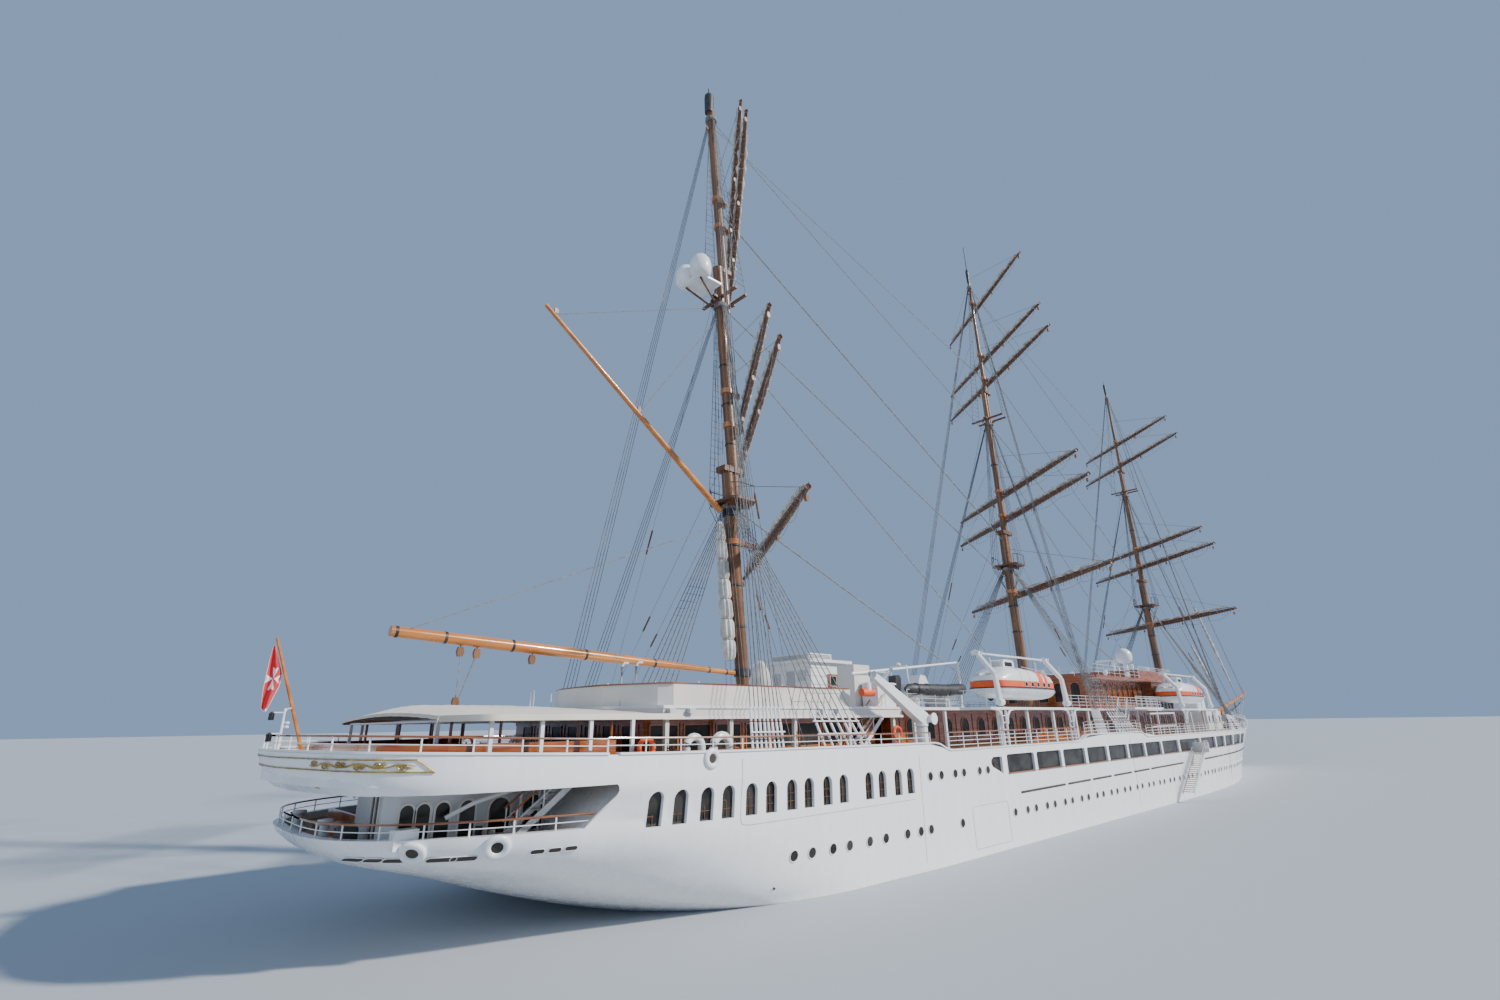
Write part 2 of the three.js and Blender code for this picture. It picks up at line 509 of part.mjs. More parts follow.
function addRigging() {
  const [mizzen, main, fore] = MASTS;
  const behind = (mast, z) => [mastX(mast, z) - 0.75, 0, z];
  addPart('rigging_mizzen', rigging(mizzen, [
    { hound: 'top', to: [-5.5, 0, BOAT_DECK_TOP + 0.05] },
    { hound: 'trees', to: behind(main, 19.6) },
    { hound: 'truck', to: behind(main, 34.6) },
  ], shroudsOf(mizzen, 5.2)), ROPE_LOOK);
  addPart('rigging_main', rigging(main, [
    { hound: 'top', to: [mastX(fore, 8.2) - 0.55, 0, 8.2] },
    { hound: 'trees', to: behind(fore, 19.6) },
    { hound: 'truck', to: behind(fore, 35.2) },
  ], shroudsOf(main, 5.6)), ROPE_LOOK);
  addPart('rigging_fore', rigging(fore, [
    { hound: 'top', to: [58.6, 0, 7.86] },
    { hound: 'trees', to: [68.5, 0, 9.22] },
    { hound: 'truck', to: [77.6, 0, 10.45] },
  ], shroudsOf(fore, 5.6)), ROPE_LOOK);
}

function houseWithMast(walls, mast, z) {
  const x = mastX(mast, z);
  return walls.subtract(bar([x, 0, z - 6], [x, 0, z + 6], MAST_HOLE, MAST_HOLE, 16));
}

function aftHouse() {
  const walls = box(-47.2, -32.2, -5.7, 5.7, DECK_TOP + GAP, SUN_DECK - GAP);
  return houseWithMast(walls, MASTS[0], 6.5);
}

// Sun deck: plate with a deep edge, bulwark round its after part (cut back to port), pillars, stair hood
function sunDeck() {
  const edge = [[-48.1, -4.4], [-46.9, -6.6], [-30.8, -6.6], [-30.8, 6.6], [-46.9, 6.6], [-48.1, 4.4]];
  const outline = [[-47.3, 1.6], [-47.9, 0], [-48.1, -2], [-48, -3.8], [-46.9, -6.2], [-46.4, -6.6],
    [-30.8, -6.6], [-30.8, 6.6], [-44.3, 6.6]];
  const inner = [[-47.22, 1.5], [-47.75, 0], [-47.95, -2], [-47.86, -3.75], [-46.82, -6.05], [-46.36, -6.45],
    [-30, -6.45], [-30, 6.45], [-44.22, 6.45]];
  const bulwark = join([plate(edge, SUN_DECK, SUN_DECK_TOP), plate(outline, SUN_DECK_TOP - 0.05, SUN_BULWARK_TOP)])
    .subtract(plate(inner, SUN_DECK_TOP, 10));
  const trimmed = bulwark.subtract(box(-35.2, -30, -8, 8, SUN_DECK_TOP, 10));
  const pillars = [-46.6, -43.2, -39.2, -35.2, -31.4].flatMap((x) => SIDES.map(({ sign }) => (
    post(x, sign * 6.4, SUN_DECK + 0.05, 0.09))));
  const hood = box(-33, -31.6, -5.2, -4, SUN_DECK_TOP - 0.1, 9.9);
  return houseWithMast(join([trimmed, ...pillars, hood]), MASTS[0], 7.4);
}

function serviceHouse() {
  const body = box(-33.2, -29.9, -2.2, 2.2, SUN_DECK_TOP + GAP, 10.3);
  const roof = box(-33.45, -29.65, -2.45, 2.45, 10.25, 10.42);
  const louvres = box(-32.6, -30.6, -1.6, 1.6, 10.4, 10.85);
  return join([body, roof, louvres]);
}

function mainHouse() {
  const walls = box(-30.2, 24, -5.4, 5.4, DECK_TOP + GAP, BOAT_DECK - GAP);
  return houseWithMast(walls, MASTS[1], 6.5);
}

// Boat deck: wide where the boats hang, on pillars along the ship's side
function boatDeck() {
  const wide = 8.45;
  const narrow = 7.0;
  const half = [[-30.7, narrow], [-25.35, narrow], [-24.35, wide], [-11.45, wide], [-10.45, narrow],
    [11.1, narrow], [12.1, wide], [24.3, wide], [25.1, narrow], [25.6, narrow]];
  const outline = [...half.map(([x, y]) => [x, -y]), ...half.slice().reverse()];
  const deck = plate(outline, BOAT_DECK, BOAT_DECK_TOP);
  const pillars = [-30, -26.8, -23, -19.2, -15.4, -11.8, -6, 0, 5, 10.2, 15.5, 20.8, 25].flatMap((x) => {
    const y = (x > -24.35 && x < -11.45) || (x > 12.1 && x < 24.3) ? 8.15 : 6.8;
    return SIDES.map(({ sign }) => post(x, sign * y, BOAT_DECK + 0.05, 0.08));
  });
  const cradles = [-29.2, -26].map((x) => box(x - 0.1, x + 0.1, -6.7, -5.1, BOAT_DECK_TOP - 0.05, 8.05));
  return houseWithMast(join([deck, ...pillars, ...cradles]), MASTS[1], 7.4);
}

function bridgeHouse() {
  const cabins = box(1, 16, -4.4, 4.4, BOAT_DECK_TOP + GAP, 10.3);
  const foot = BOAT_DECK_TOP + GAP;
  const outline = [[15.5, foot], [21.2, foot], [21.9, 9.2], [21.3, 10.3], [15.5, 10.3]];
  return join([cabins, profile(outline, -5.2, 5.2)]);
}

// Roof of the bridge with its flying deck edge, mast-mounted radome and searchlight box
function bridgeRoof() {
  const roof = box(0.6, 22.4, -5.5, 5.5, 10.3 + GAP, 10.5);
  const screen = box(12, 22.1, -5.2, 5.2, 10.45, 11.4).subtract(box(11.8, 21.95, -5.05, 5.05, 10.5, 12));
  const stand = bar([17, -2.6, 10.45], [17, -2.6, 12.6], 0.3, 0.22, 8);
  const dome = turned([[0, 12.5], [0.45, 12.55], [0.75, 12.95], [0.78, 13.3], [0.55, 13.75], [0.25, 13.95],
    [0, 14]], 17, -2.6, 12);
  return join([roof, screen, stand, dome]);
}

function foreHouse() {
  const low = box(39, 45.6, -3.6, 3.6, DECK_TOP + GAP, 7.5);
  const stair = box(41.5, 45.2, -2.2, 2.2, 7.4, 9.3);
  return join([low, stair]);
}

function windlass() {
  const foot = FORECASTLE_DECK + PLANKING + GAP * 2;
  const base = box(49.2, 52.6, -2.2, 2.2, foot, foot + 0.25);
  const shaftZ = foot + 0.75;
  const drums = SIDES.map(({ sign }) => (
    bar([51, sign * 0.5, shaftZ], [51, sign * 2.1, shaftZ], 0.55, 0.55, 14)));
  const gear = box(50.5, 51.5, -0.6, 0.6, foot + 0.2, foot + 1.35);
  const capstans = SIDES.map(({ sign }) => turned([[0, foot + 0.2], [0.4, foot + 0.2], [0.28, foot + 0.6],
    [0.42, foot + 1.1], [0, foot + 1.15]], 49.8, sign * 1.7, 12));
  return join([base, ...drums, gear, ...capstans]);
}

// Canvas awning over the after deck: a low ridge, with its after corners cut off
function awning() {
  const thick = 0.07;
  const stations = [[-55.15, 5.8, 7.25, 7.42], [-54.6, 6.8, 7.24, 7.62], [-54.0, 7.5, 7.22, 7.72],
    [-52, 7.7, 7.22, 7.72], [-50, 7.8, 7.22, 7.66], [-48.2, 7.9, 7.22, 7.56]];
  return loft(stations.map(([x, half, eave, ridge]) => [
    [x, -half, eave], [x, 0, ridge], [x, half, eave],
    [x, half, eave - thick], [x, 0, ridge - thick], [x, -half, eave - thick],
  ]));
}

function awningFrame() {
  const posts = [[-54.95, 5.2], [-54.0, 7.2], [-52.4, 7.45], [-50.7, 7.65], [-49.1, 7.8]];
  const under = 7.13;
  const solids = [];
  for (const [x, y] of posts) {
    solids.push(box(x - 0.05, x + 0.05, -y, y, under - 0.06, under));
    for (const { sign } of SIDES) solids.push(post(x, sign * y, under - 0.02, 0.06));
  }
  solids.push(box(posts[0][0], posts[posts.length - 1][0], -0.04, 0.04, under - 0.05, under - 0.01));
  return join(solids);
}

// Varnished bench along the taffrail, following the rounded stern
function sternBench() {
  const outer = plate(deckOutline(MAIN_DECK, 1.0, -56.8, -49.5), DECK_TOP + GAP, 6.4);
  const inner = plate(deckOutline(MAIN_DECK, 1.3, -56.5, -49), DECK_TOP - 1, 7);
  const seat = plate(deckOutline(MAIN_DECK, 1.15, -56.6, -49.7), DECK_TOP + GAP, 5.8).subtract(
    plate(deckOutline(MAIN_DECK, 1.9, -55.9, -49), DECK_TOP - 1, 7));
  return join([outer.subtract(inner), seat]);
}

function spankerBoom() {
  const { hingeX, boomZ, boomEndX, boomEndZ } = SPANKER;
  return bar([hingeX, 0, boomZ], [boomEndX, 0, boomEndZ], 0.24, 0.14, 10);
}

function spankerGaff() {
  const { gaffX, gaffZ, gaffEndX, gaffEndZ } = SPANKER;
  return bar([gaffX, 0, gaffZ], [gaffEndX, 0, gaffEndZ], 0.2, 0.11, 10);
}

// Spanker gathered up along the after side of the mast
function spankerSail() {
  const mizzen = MASTS[0];
  const rings = [[10.3, 0.3], [11.2, 0.4], [13, 0.38], [15.2, 0.34], [17.2, 0.3], [18.3, 0.16]];
  const solids = rings.slice(1).map(([z, radius], k) => {
    const [z0, radius0] = rings[k];
    const x = (height) => mastX(mizzen, height) - 0.9;
    return bar([x(z0), 0, z0], [x(z), 0, z], radius0, radius, 10);
  });
  return join(solids);
}

// Lifeboat: rounded hull with an enclosed canopy, and a hook post at each end
function lifeboat(boatX, sign) {
  const { half, beam, keel, gunwale, roof, y } = BOAT;
  const stations = [[-1, 0.06, 0.55], [-0.9, 0.5, 0.25], [-0.7, 0.82, 0.08], [-0.3, 1, 0], [0.25, 1, 0],
    [0.65, 0.85, 0.06], [0.88, 0.52, 0.22], [1, 0.08, 0.6]];
  const rings = stations.map(([t, wide, rise]) => {
    const b = (beam / 2) * wide;
    const low = keel + (gunwale - keel) * rise;
    const top = roof - (roof - gunwale) * rise;
    const side = [[0.15, low], [0.7, low + (gunwale - low) * 0.35], [1, gunwale],
      [0.96, gunwale + (top - gunwale) * 0.5], [0.62, top]];
    const across = (dir) => side.map(([u, z]) => [boatX + t * half, sign * y + dir * b * u, z]);
    return [...across(-1), ...across(1).reverse()];
  });
  const body = loft(rings);
  const cockpit = box(boatX - 2.6, boatX - 1.2, sign * y - 0.6, sign * y + 0.6, roof - 0.2, roof + 0.3);
  const hooks = [-0.72, 0.72].map((t) => bar([boatX + t * half, sign * y, roof - 0.6],
    [boatX + t * half, sign * y, DAVIT.headZ - DAVIT.thick / 2 - 0.06], 0.09, 0.09, 8));
  return join([body, cockpit, ...hooks]);
}

// Davits: two arms past the boat's ends and the beam that carries it
function davits(boatX, sign) {
  const { footY, footZ, headY, headZ, reach, thick } = DAVIT;
  const arms = [-1, 1].flatMap((end) => {
    const x = boatX + end * reach;
    const knee = [x, sign * (footY - 0.15), 9.6];
    return [
      bar([x, sign * footY, footZ], knee, thick / 2 + 0.04, thick / 2, 6),
      bar(knee, [x, sign * headY, headZ], thick / 2, thick / 2, 6),
      bar([x - 0.25, sign * footY, footZ], [x + 0.25, sign * footY, footZ], 0.22, 0.22, 8),
    ];
  });
  const beam = bar([boatX - reach, sign * headY, headZ], [boatX + reach, sign * headY, headZ], 0.07, 0.07, 6);
  return join([...arms, beam]);
}

function craneBase() {
  const column = bar([-30.95, -7.9, DECK_TOP + GAP], [-30.95, -7.9, 6.55], 0.3, 0.3, 12);
  return join([column, bar([-30.95, -7.9, DECK_TOP + GAP], [-30.95, -7.9, DECK_TOP + 0.2], 0.42, 0.42, 12)]);
}

function craneArm() {
  const head = bar([-30.95, -7.9, 6.61], [-30.95, -7.9, 7.1], 0.32, 0.28, 12);
  const jib = bar([-30.65, -7.9, 6.9], [-35.0, -7.9, 9.15], 0.2, 0.13, 8);
  const winch = bar([-30.45, -8.35, 6.95], [-30.45, -7.5, 6.95], 0.26, 0.26, 12);
  return join([head, jib, winch]);
}

// Rescue boat with inflated sides on its cradle
function rescueBoat() {
  const [x0, x1, y, z] = [-30.3, -24.6, -5.9, 8.42];
  const tubes = SIDES.flatMap(({ sign }) => [
    bar([x0, y + sign * 0.75, z], [x1 - 1.4, y + sign * 0.75, z], 0.28, 0.28, 10),
    bar([x1 - 1.45, y + sign * 0.75, z], [x1, y, z + 0.25], 0.28, 0.24, 10),
  ]);
  const outline = [[x0, y - 0.7], [x1 - 1.4, y - 0.7], [x1 - 0.2, y], [x1 - 1.4, y + 0.7], [x0, y + 0.7]];
  const floor = plate(outline, 8.06, z);
  const console = box(-28.2, -27.3, y - 0.35, y + 0.35, z - 0.1, 9.15);
  return join([...tubes, floor, console]);
}

function flagstaff() {
  return trimBelow(bar([-57.26, 0, DECK_TOP - 0.2], [-59.06, 0, 10.03], 0.075, 0.045, 8), DECK_TOP + GAP);
}

function ensign() {
  return profile([[-59.12, 9.74], [-59.07, 9.78], [-58.79, 8.9], [-58.76, 8.4], [-58.8, 8.0], [-58.98, 7.5],
    [-59.12, 7.6], [-59.16, 8.4], [-59.15, 9.2]], -0.14, 0.14);
}

function radomes() {
  const mizzen = MASTS[0];
  const z = 34.1;
  const x = mastX(mizzen, z) - 1.75;
  const bracket = box(x - 0.25, mastX(mizzen, z) - 0.2, -1.0, 1.0, z, z + 0.12);
  const shell = [[0, 0.05], [0.5, 0.05], [0.68, 0.4], [0.68, 0.95], [0.5, 1.4], [0.22, 1.58], [0, 1.62]];
  const domes = SIDES.map(({ sign }) => (
    turned(shell.map(([r, rise]) => [r, z + rise]), x, sign * 0.75, 12)));
  return join([bracket, ...domes]);
}

function gangwayPlatform() {
  const deck = box(11.1, 12.6, -9.9, -8.62, 3.62, 3.76);
  return join([deck, box(12.45, 12.6, -9.9, -8.62, 3.62, 4.6)]);
}

function gangway() {
  const [topX, topZ, footX, footZ] = [11.0, 3.68, 5.8, 0.75];
  const tread = profile([[topX, topZ], [footX, footZ], [footX - 0.35, footZ], [footX - 0.35, footZ - 0.12],
    [footX, footZ - 0.12], [topX, topZ - 0.14]], -9.85, -8.95);
  const rails = [[-9.85, -9.8], [-9.0, -8.95]].map(([y0, y1]) => profile([[topX, topZ], [topX, topZ + 0.55],
    [footX, footZ + 0.55], [footX, footZ - 0.05], [topX, topZ - 0.1]], y0, y1));
  return join([tread, ...rails]);
}

const WHITE_PAINT = { color: 0xe9e9e6, roughness: 0.35, metalness: 0 };
const CREAM_PAINT = { color: 0xe6dfcf, roughness: 0.45, metalness: 0 };
const VARNISH = { color: 0x7a4322, roughness: 0.25, metalness: 0 };
const SPAR_PAINT = { color: 0x8a5a38, roughness: 0.4, metalness: 0 };
const TEAK = { color: 0xa9825a, roughness: 0.7, metalness: 0 };
const CANVAS = { color: 0xcfc9ba, roughness: 0.9, metalness: 0 };
const ROPE_LOOK = { color: 0x2b2a28, roughness: 0.8, metalness: 0 };
const BRONZE = { color: 0xa07a3e, roughness: 0.35, metalness: 0.9 };

addPart('hull', hull(), WHITE_PAINT);
addPart('stern', stern(), WHITE_PAINT);
addPart('bulwark', bulwark(), WHITE_PAINT);
addPart('deck', deck(), TEAK);
addPart('propeller', propeller(), BRONZE);
addPart('rudder', rudder(), WHITE_PAINT);
addPart('aft_house', aftHouse(), VARNISH);
addPart('sun_deck', sunDeck(), CREAM_PAINT);
addPart('service_house', serviceHouse(), WHITE_PAINT);
addPart('main_house', mainHouse(), VARNISH);
addPart('boat_deck', boatDeck(), WHITE_PAINT);
addPart('bridge_house', bridgeHouse(), VARNISH);
addPart('bridge_roof', bridgeRoof(), WHITE_PAINT);
addPart('fore_house', foreHouse(), WHITE_PAINT);
addPart('windlass', windlass(), WHITE_PAINT);
addPart('awning', awning(), CANVAS);
addPart('awning_frame', awningFrame(), WHITE_PAINT);
addPart('stern_bench', sternBench(), VARNISH);
for (const mast of MASTS) addPart(`${mast.name}_mast`, mastSolid(mast), SPAR_PAINT);
addPart('bowsprit', bowsprit(), SPAR_PAINT);
for (const yard of YARDS) {
  const mast = MASTS.find(({ name }) => name === yard.mast);
  addPart(`${yard.mast}_${yard.name}_yard`, yardSolid(yard), SPAR_PAINT, yardPlace(mast, yard));
}
addRigging();
addPart('spanker_boom', spankerBoom(), SPAR_PAINT);
addPart('spanker_gaff', spankerGaff(), SPAR_PAINT);
addPart('spanker_sail', spankerSail(), CANVAS);
for (const { name, x } of BOAT_STATIONS) {
  for (const side of SIDES) {
    addPart(`lifeboat_${name}_${side.name}`, lifeboat(x, side.sign), WHITE_PAINT);
    addPart(`davits_${name}_${side.name}`, davits(x, side.sign), WHITE_PAINT);
  }
}
addPart('crane_base', craneBase(), WHITE_PAINT);
addPart('crane_arm', craneArm(), WHITE_PAINT);
addPart('rescue_boat', rescueBoat(), { color: 0x22242a, roughness: 0.6, metalness: 0 });
addPart('flagstaff', flagstaff(), SPAR_PAINT);
addPart('ensign', ensign(), { color: 0xb01a22, roughness: 0.9, metalness: 0 });
addPart('mizzen_radomes', radomes(), WHITE_PAINT);
addPart('gangway_platform', gangwayPlatform(), WHITE_PAINT);
addPart('gangway', gangway(), WHITE_PAINT);

export default parts;
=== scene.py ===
"""Three-masted square-rigged passenger ship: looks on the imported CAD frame.

Lengths in the tables are metres of the real ship; K turns them into metres of the 1:10 model.
"""
import bpy
import bmesh
import math
import random
from mathutils import Matrix, Vector, noise
from mathutils.geometry import tessellate_polygon


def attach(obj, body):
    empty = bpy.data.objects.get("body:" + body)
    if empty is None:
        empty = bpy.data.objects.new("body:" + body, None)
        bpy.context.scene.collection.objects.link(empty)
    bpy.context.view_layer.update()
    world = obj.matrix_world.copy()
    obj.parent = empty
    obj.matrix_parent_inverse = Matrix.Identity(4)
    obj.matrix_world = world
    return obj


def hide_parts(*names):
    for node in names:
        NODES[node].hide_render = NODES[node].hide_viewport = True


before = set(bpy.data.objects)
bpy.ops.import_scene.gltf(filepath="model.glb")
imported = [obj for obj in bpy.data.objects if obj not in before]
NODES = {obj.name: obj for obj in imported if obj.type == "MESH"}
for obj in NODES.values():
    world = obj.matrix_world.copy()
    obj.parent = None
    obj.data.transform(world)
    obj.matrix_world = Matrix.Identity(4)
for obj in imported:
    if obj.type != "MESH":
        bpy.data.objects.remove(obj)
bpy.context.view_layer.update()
K = 0.1
SIDES = (-1, 1)


# Materials
def new_material(name):
    """A material with its node tree, links, shader and texture coordinates."""
    mat = bpy.data.materials.new(name)
    mat.use_nodes = True
    nodes, links = mat.node_tree.nodes, mat.node_tree.links
    shader = nodes["Principled BSDF"]
    coords = nodes.new("ShaderNodeTexCoord")
    return mat, nodes, links, shader, coords


def noise_node(nodes, links, coords, scale, stretch=(1, 1, 1), detail=4.0, rough=0.55):
    """Noise over the object's own coordinates."""
    mapping = nodes.new("ShaderNodeMapping")
    mapping.inputs["Scale"].default_value = stretch
    links.new(coords.outputs["Object"], mapping.inputs["Vector"])
    tex = nodes.new("ShaderNodeTexNoise")
    tex.inputs["Scale"].default_value = scale
    tex.inputs["Detail"].default_value = detail
    tex.inputs["Roughness"].default_value = rough
    links.new(mapping.outputs["Vector"], tex.inputs["Vector"])
    return tex.outputs["Fac"]


def ramp(nodes, links, fac, stops):
    """Colours at stops along a value."""
    node = nodes.new("ShaderNodeValToRGB")
    elements = node.color_ramp.elements
    while len(elements) < len(stops):
        elements.new(0.5)
    for element, (at, colour) in zip(elements, stops):
        element.position = at
        element.color = (*colour, 1)
    links.new(fac, node.inputs["Fac"])
    return node.outputs["Color"]


def spread(nodes, links, fac, low, high, from_low=0.3, from_high=0.7):
    """A value stretched to a new range."""
    node = nodes.new("ShaderNodeMapRange")
    node.inputs["From Min"].default_value = from_low
    node.inputs["From Max"].default_value = from_high
    node.inputs["To Min"].default_value = low
    node.inputs["To Max"].default_value = high
    links.new(fac, node.inputs["Value"])
    return node.outputs["Result"]


def multiply(nodes, links, one, two):
    """Two colours multiplied."""
    mix = nodes.new("ShaderNodeMix")
    mix.data_type = "RGBA"
    mix.blend_type = "MULTIPLY"
    mix.inputs["Factor"].default_value = 1
    links.new(one, mix.inputs["A"])
    links.new(two, mix.inputs["B"])
    return mix.outputs["Result"]


def bump(nodes, links, shader, height, strength, distance):
    """Fine relief from a height value."""
    node = nodes.new("ShaderNodeBump")
    node.inputs["Strength"].default_value = strength
    node.inputs["Distance"].default_value = distance
    links.new(height, node.inputs["Height"])
    links.new(node.outputs["Normal"], shader.inputs["Normal"])


def surface(name, dark, light, scale, rough, stretch=(1, 1, 1), metal=0.0, coat=0.0,
            grain=60, grain_stretch=None, depth=0.0006, strength=0.3, sheen=0.0, low=0.35, high=0.65):
    """A finish of two close colours in soft patches, with its own roughness and fine bump."""
    mat, nodes, links, shader, coords = new_material(name)
    patches = noise_node(nodes, links, coords, scale, stretch)
    links.new(ramp(nodes, links, patches, [(low, dark), (high, light)]), shader.inputs["Base Color"])
    fine = noise_node(nodes, links, coords, grain, grain_stretch or stretch, detail=6)
    links.new(spread(nodes, links, fine, rough[0], rough[1]), shader.inputs["Roughness"])
    bump(nodes, links, shader, fine, strength, depth)
    shader.inputs["Metallic"].default_value = metal
    shader.inputs["Coat Weight"].default_value = coat
    shader.inputs["Coat Roughness"].default_value = 0.08
    shader.inputs["Sheen Weight"].default_value = sheen
    return mat


def hull_paint():
    """White enamel: faint rain streaks below the rail, soft plate seams, a stained band at the waterline."""
    mat, nodes, links, shader, coords = new_material("hull_enamel")
    streaks = noise_node(nodes, links, coords, 9, (2.2, 2.2, 0.16), detail=6)
    clouds = noise_node(nodes, links, coords, 1.6, (1, 1, 1.6))
    white = ramp(nodes, links, streaks, [(0.3, (0.86, 0.865, 0.87)), (0.62, (0.9, 0.905, 0.91))])
    tone = ramp(nodes, links, clouds, [(0.3, (0.965, 0.968, 0.975)), (0.7, (1, 1, 1))])
    paint = multiply(nodes, links, white, tone)
    split = nodes.new("ShaderNodeSeparateXYZ")
    links.new(coords.outputs["Object"], split.inputs["Vector"])
    below = nodes.new("ShaderNodeMapRange")
    below.inputs["From Min"].default_value = 0.004
    below.inputs["From Max"].default_value = -0.004
    links.new(split.outputs["Z"], below.inputs["Value"])
    boot = nodes.new("ShaderNodeMix")
    boot.data_type = "RGBA"
    links.new(below.outputs["Result"], boot.inputs["Factor"])
    links.new(paint, boot.inputs["A"])
    boot.inputs["B"].default_value = (0.16, 0.035, 0.028, 1)
    links.new(boot.outputs["Result"], shader.inputs["Base Color"])
    links.new(spread(nodes, links, streaks, 0.2, 0.34), shader.inputs["Roughness"])
    shader.inputs["Coat Weight"].default_value = 0.25
    shader.inputs["Coat Roughness"].default_value = 0.12
    plates = nodes.new("ShaderNodeTexBrick")
    plates.inputs["Scale"].default_value = 1
    plates.inputs["Mortar Size"].default_value = 0.0022
    plates.inputs["Mortar Smooth"].default_value = 1
    plates.inputs["Brick Width"].default_value = 0.62
    plates.inputs["Row Height"].default_value = 0.19
    flat = nodes.new("ShaderNodeCombineXYZ")
    links.new(split.outputs["X"], flat.inputs["X"])
    links.new(split.outputs["Z"], flat.inputs["Y"])
    links.new(flat.outputs["Vector"], plates.inputs["Vector"])
    height = nodes.new("ShaderNodeMath")
    height.operation = "MULTIPLY_ADD"
    links.new(plates.outputs["Fac"], height.inputs[0])
    height.inputs[1].default_value = 0.6
    links.new(clouds, height.inputs[2])
    bump(nodes, links, shader, height.outputs["Value"], 0.12, 0.0007)
    return mat


def planked(name, dark, light, width, gap):
    """Laid planks along the ship with dark caulking between."""
    mat, nodes, links, shader, coords = new_material(name)
    split = nodes.new("ShaderNodeSeparateXYZ")
    links.new(coords.outputs["Object"], split.inputs["Vector"])
    flat = nodes.new("ShaderNodeCombineXYZ")
    links.new(split.outputs["X"], flat.inputs["X"])
    links.new(split.outputs["Y"], flat.inputs["Y"])
    bricks = nodes.new("ShaderNodeTexBrick")
    bricks.inputs["Scale"].default_value = 1
    bricks.inputs["Color1"].default_value = (*dark, 1)
    bricks.inputs["Color2"].default_value = (*light, 1)
    bricks.inputs["Mortar"].default_value = gap
    bricks.inputs["Mortar Size"].default_value = width * 0.06
    bricks.inputs["Brick Width"].default_value = width * 30
    bricks.inputs["Row Height"].default_value = width
    links.new(flat.outputs["Vector"], bricks.inputs["Vector"])
    grain = noise_node(nodes, links, coords, 20, (0.6, 8, 8), detail=6)
    shade = ramp(nodes, links, grain, [(0.3, (0.78, 0.76, 0.74)), (0.7, (1, 1, 1))])
    links.new(multiply(nodes, links, bricks.outputs["Color"], shade), shader.inputs["Base Color"])
    links.new(spread(nodes, links, grain, 0.5, 0.7), shader.inputs["Roughness"])
    bump(nodes, links, shader, grain, 0.25, 0.0006)
    return mat


def dark_glass():
    """Window glass that shows a dim room: near black with a few paler patches, very smooth."""
    mat, nodes, links, shader, coords = new_material("window_glass")
    rooms = noise_node(nodes, links, coords, 7, (1, 1, 1.5), detail=2)
    links.new(ramp(nodes, links, rooms, [(0.4, (0.012, 0.012, 0.012)), (0.66, (0.045, 0.042, 0.038))]),
              shader.inputs["Base Color"])
    wave = noise_node(nodes, links, coords, 30)
    links.new(spread(nodes, links, wave, 0.12, 0.22), shader.inputs["Roughness"])
    shader.inputs["Specular IOR Level"].default_value = 0.25
    bump(nodes, links, shader, wave, 0.08, 0.0008)
    return mat


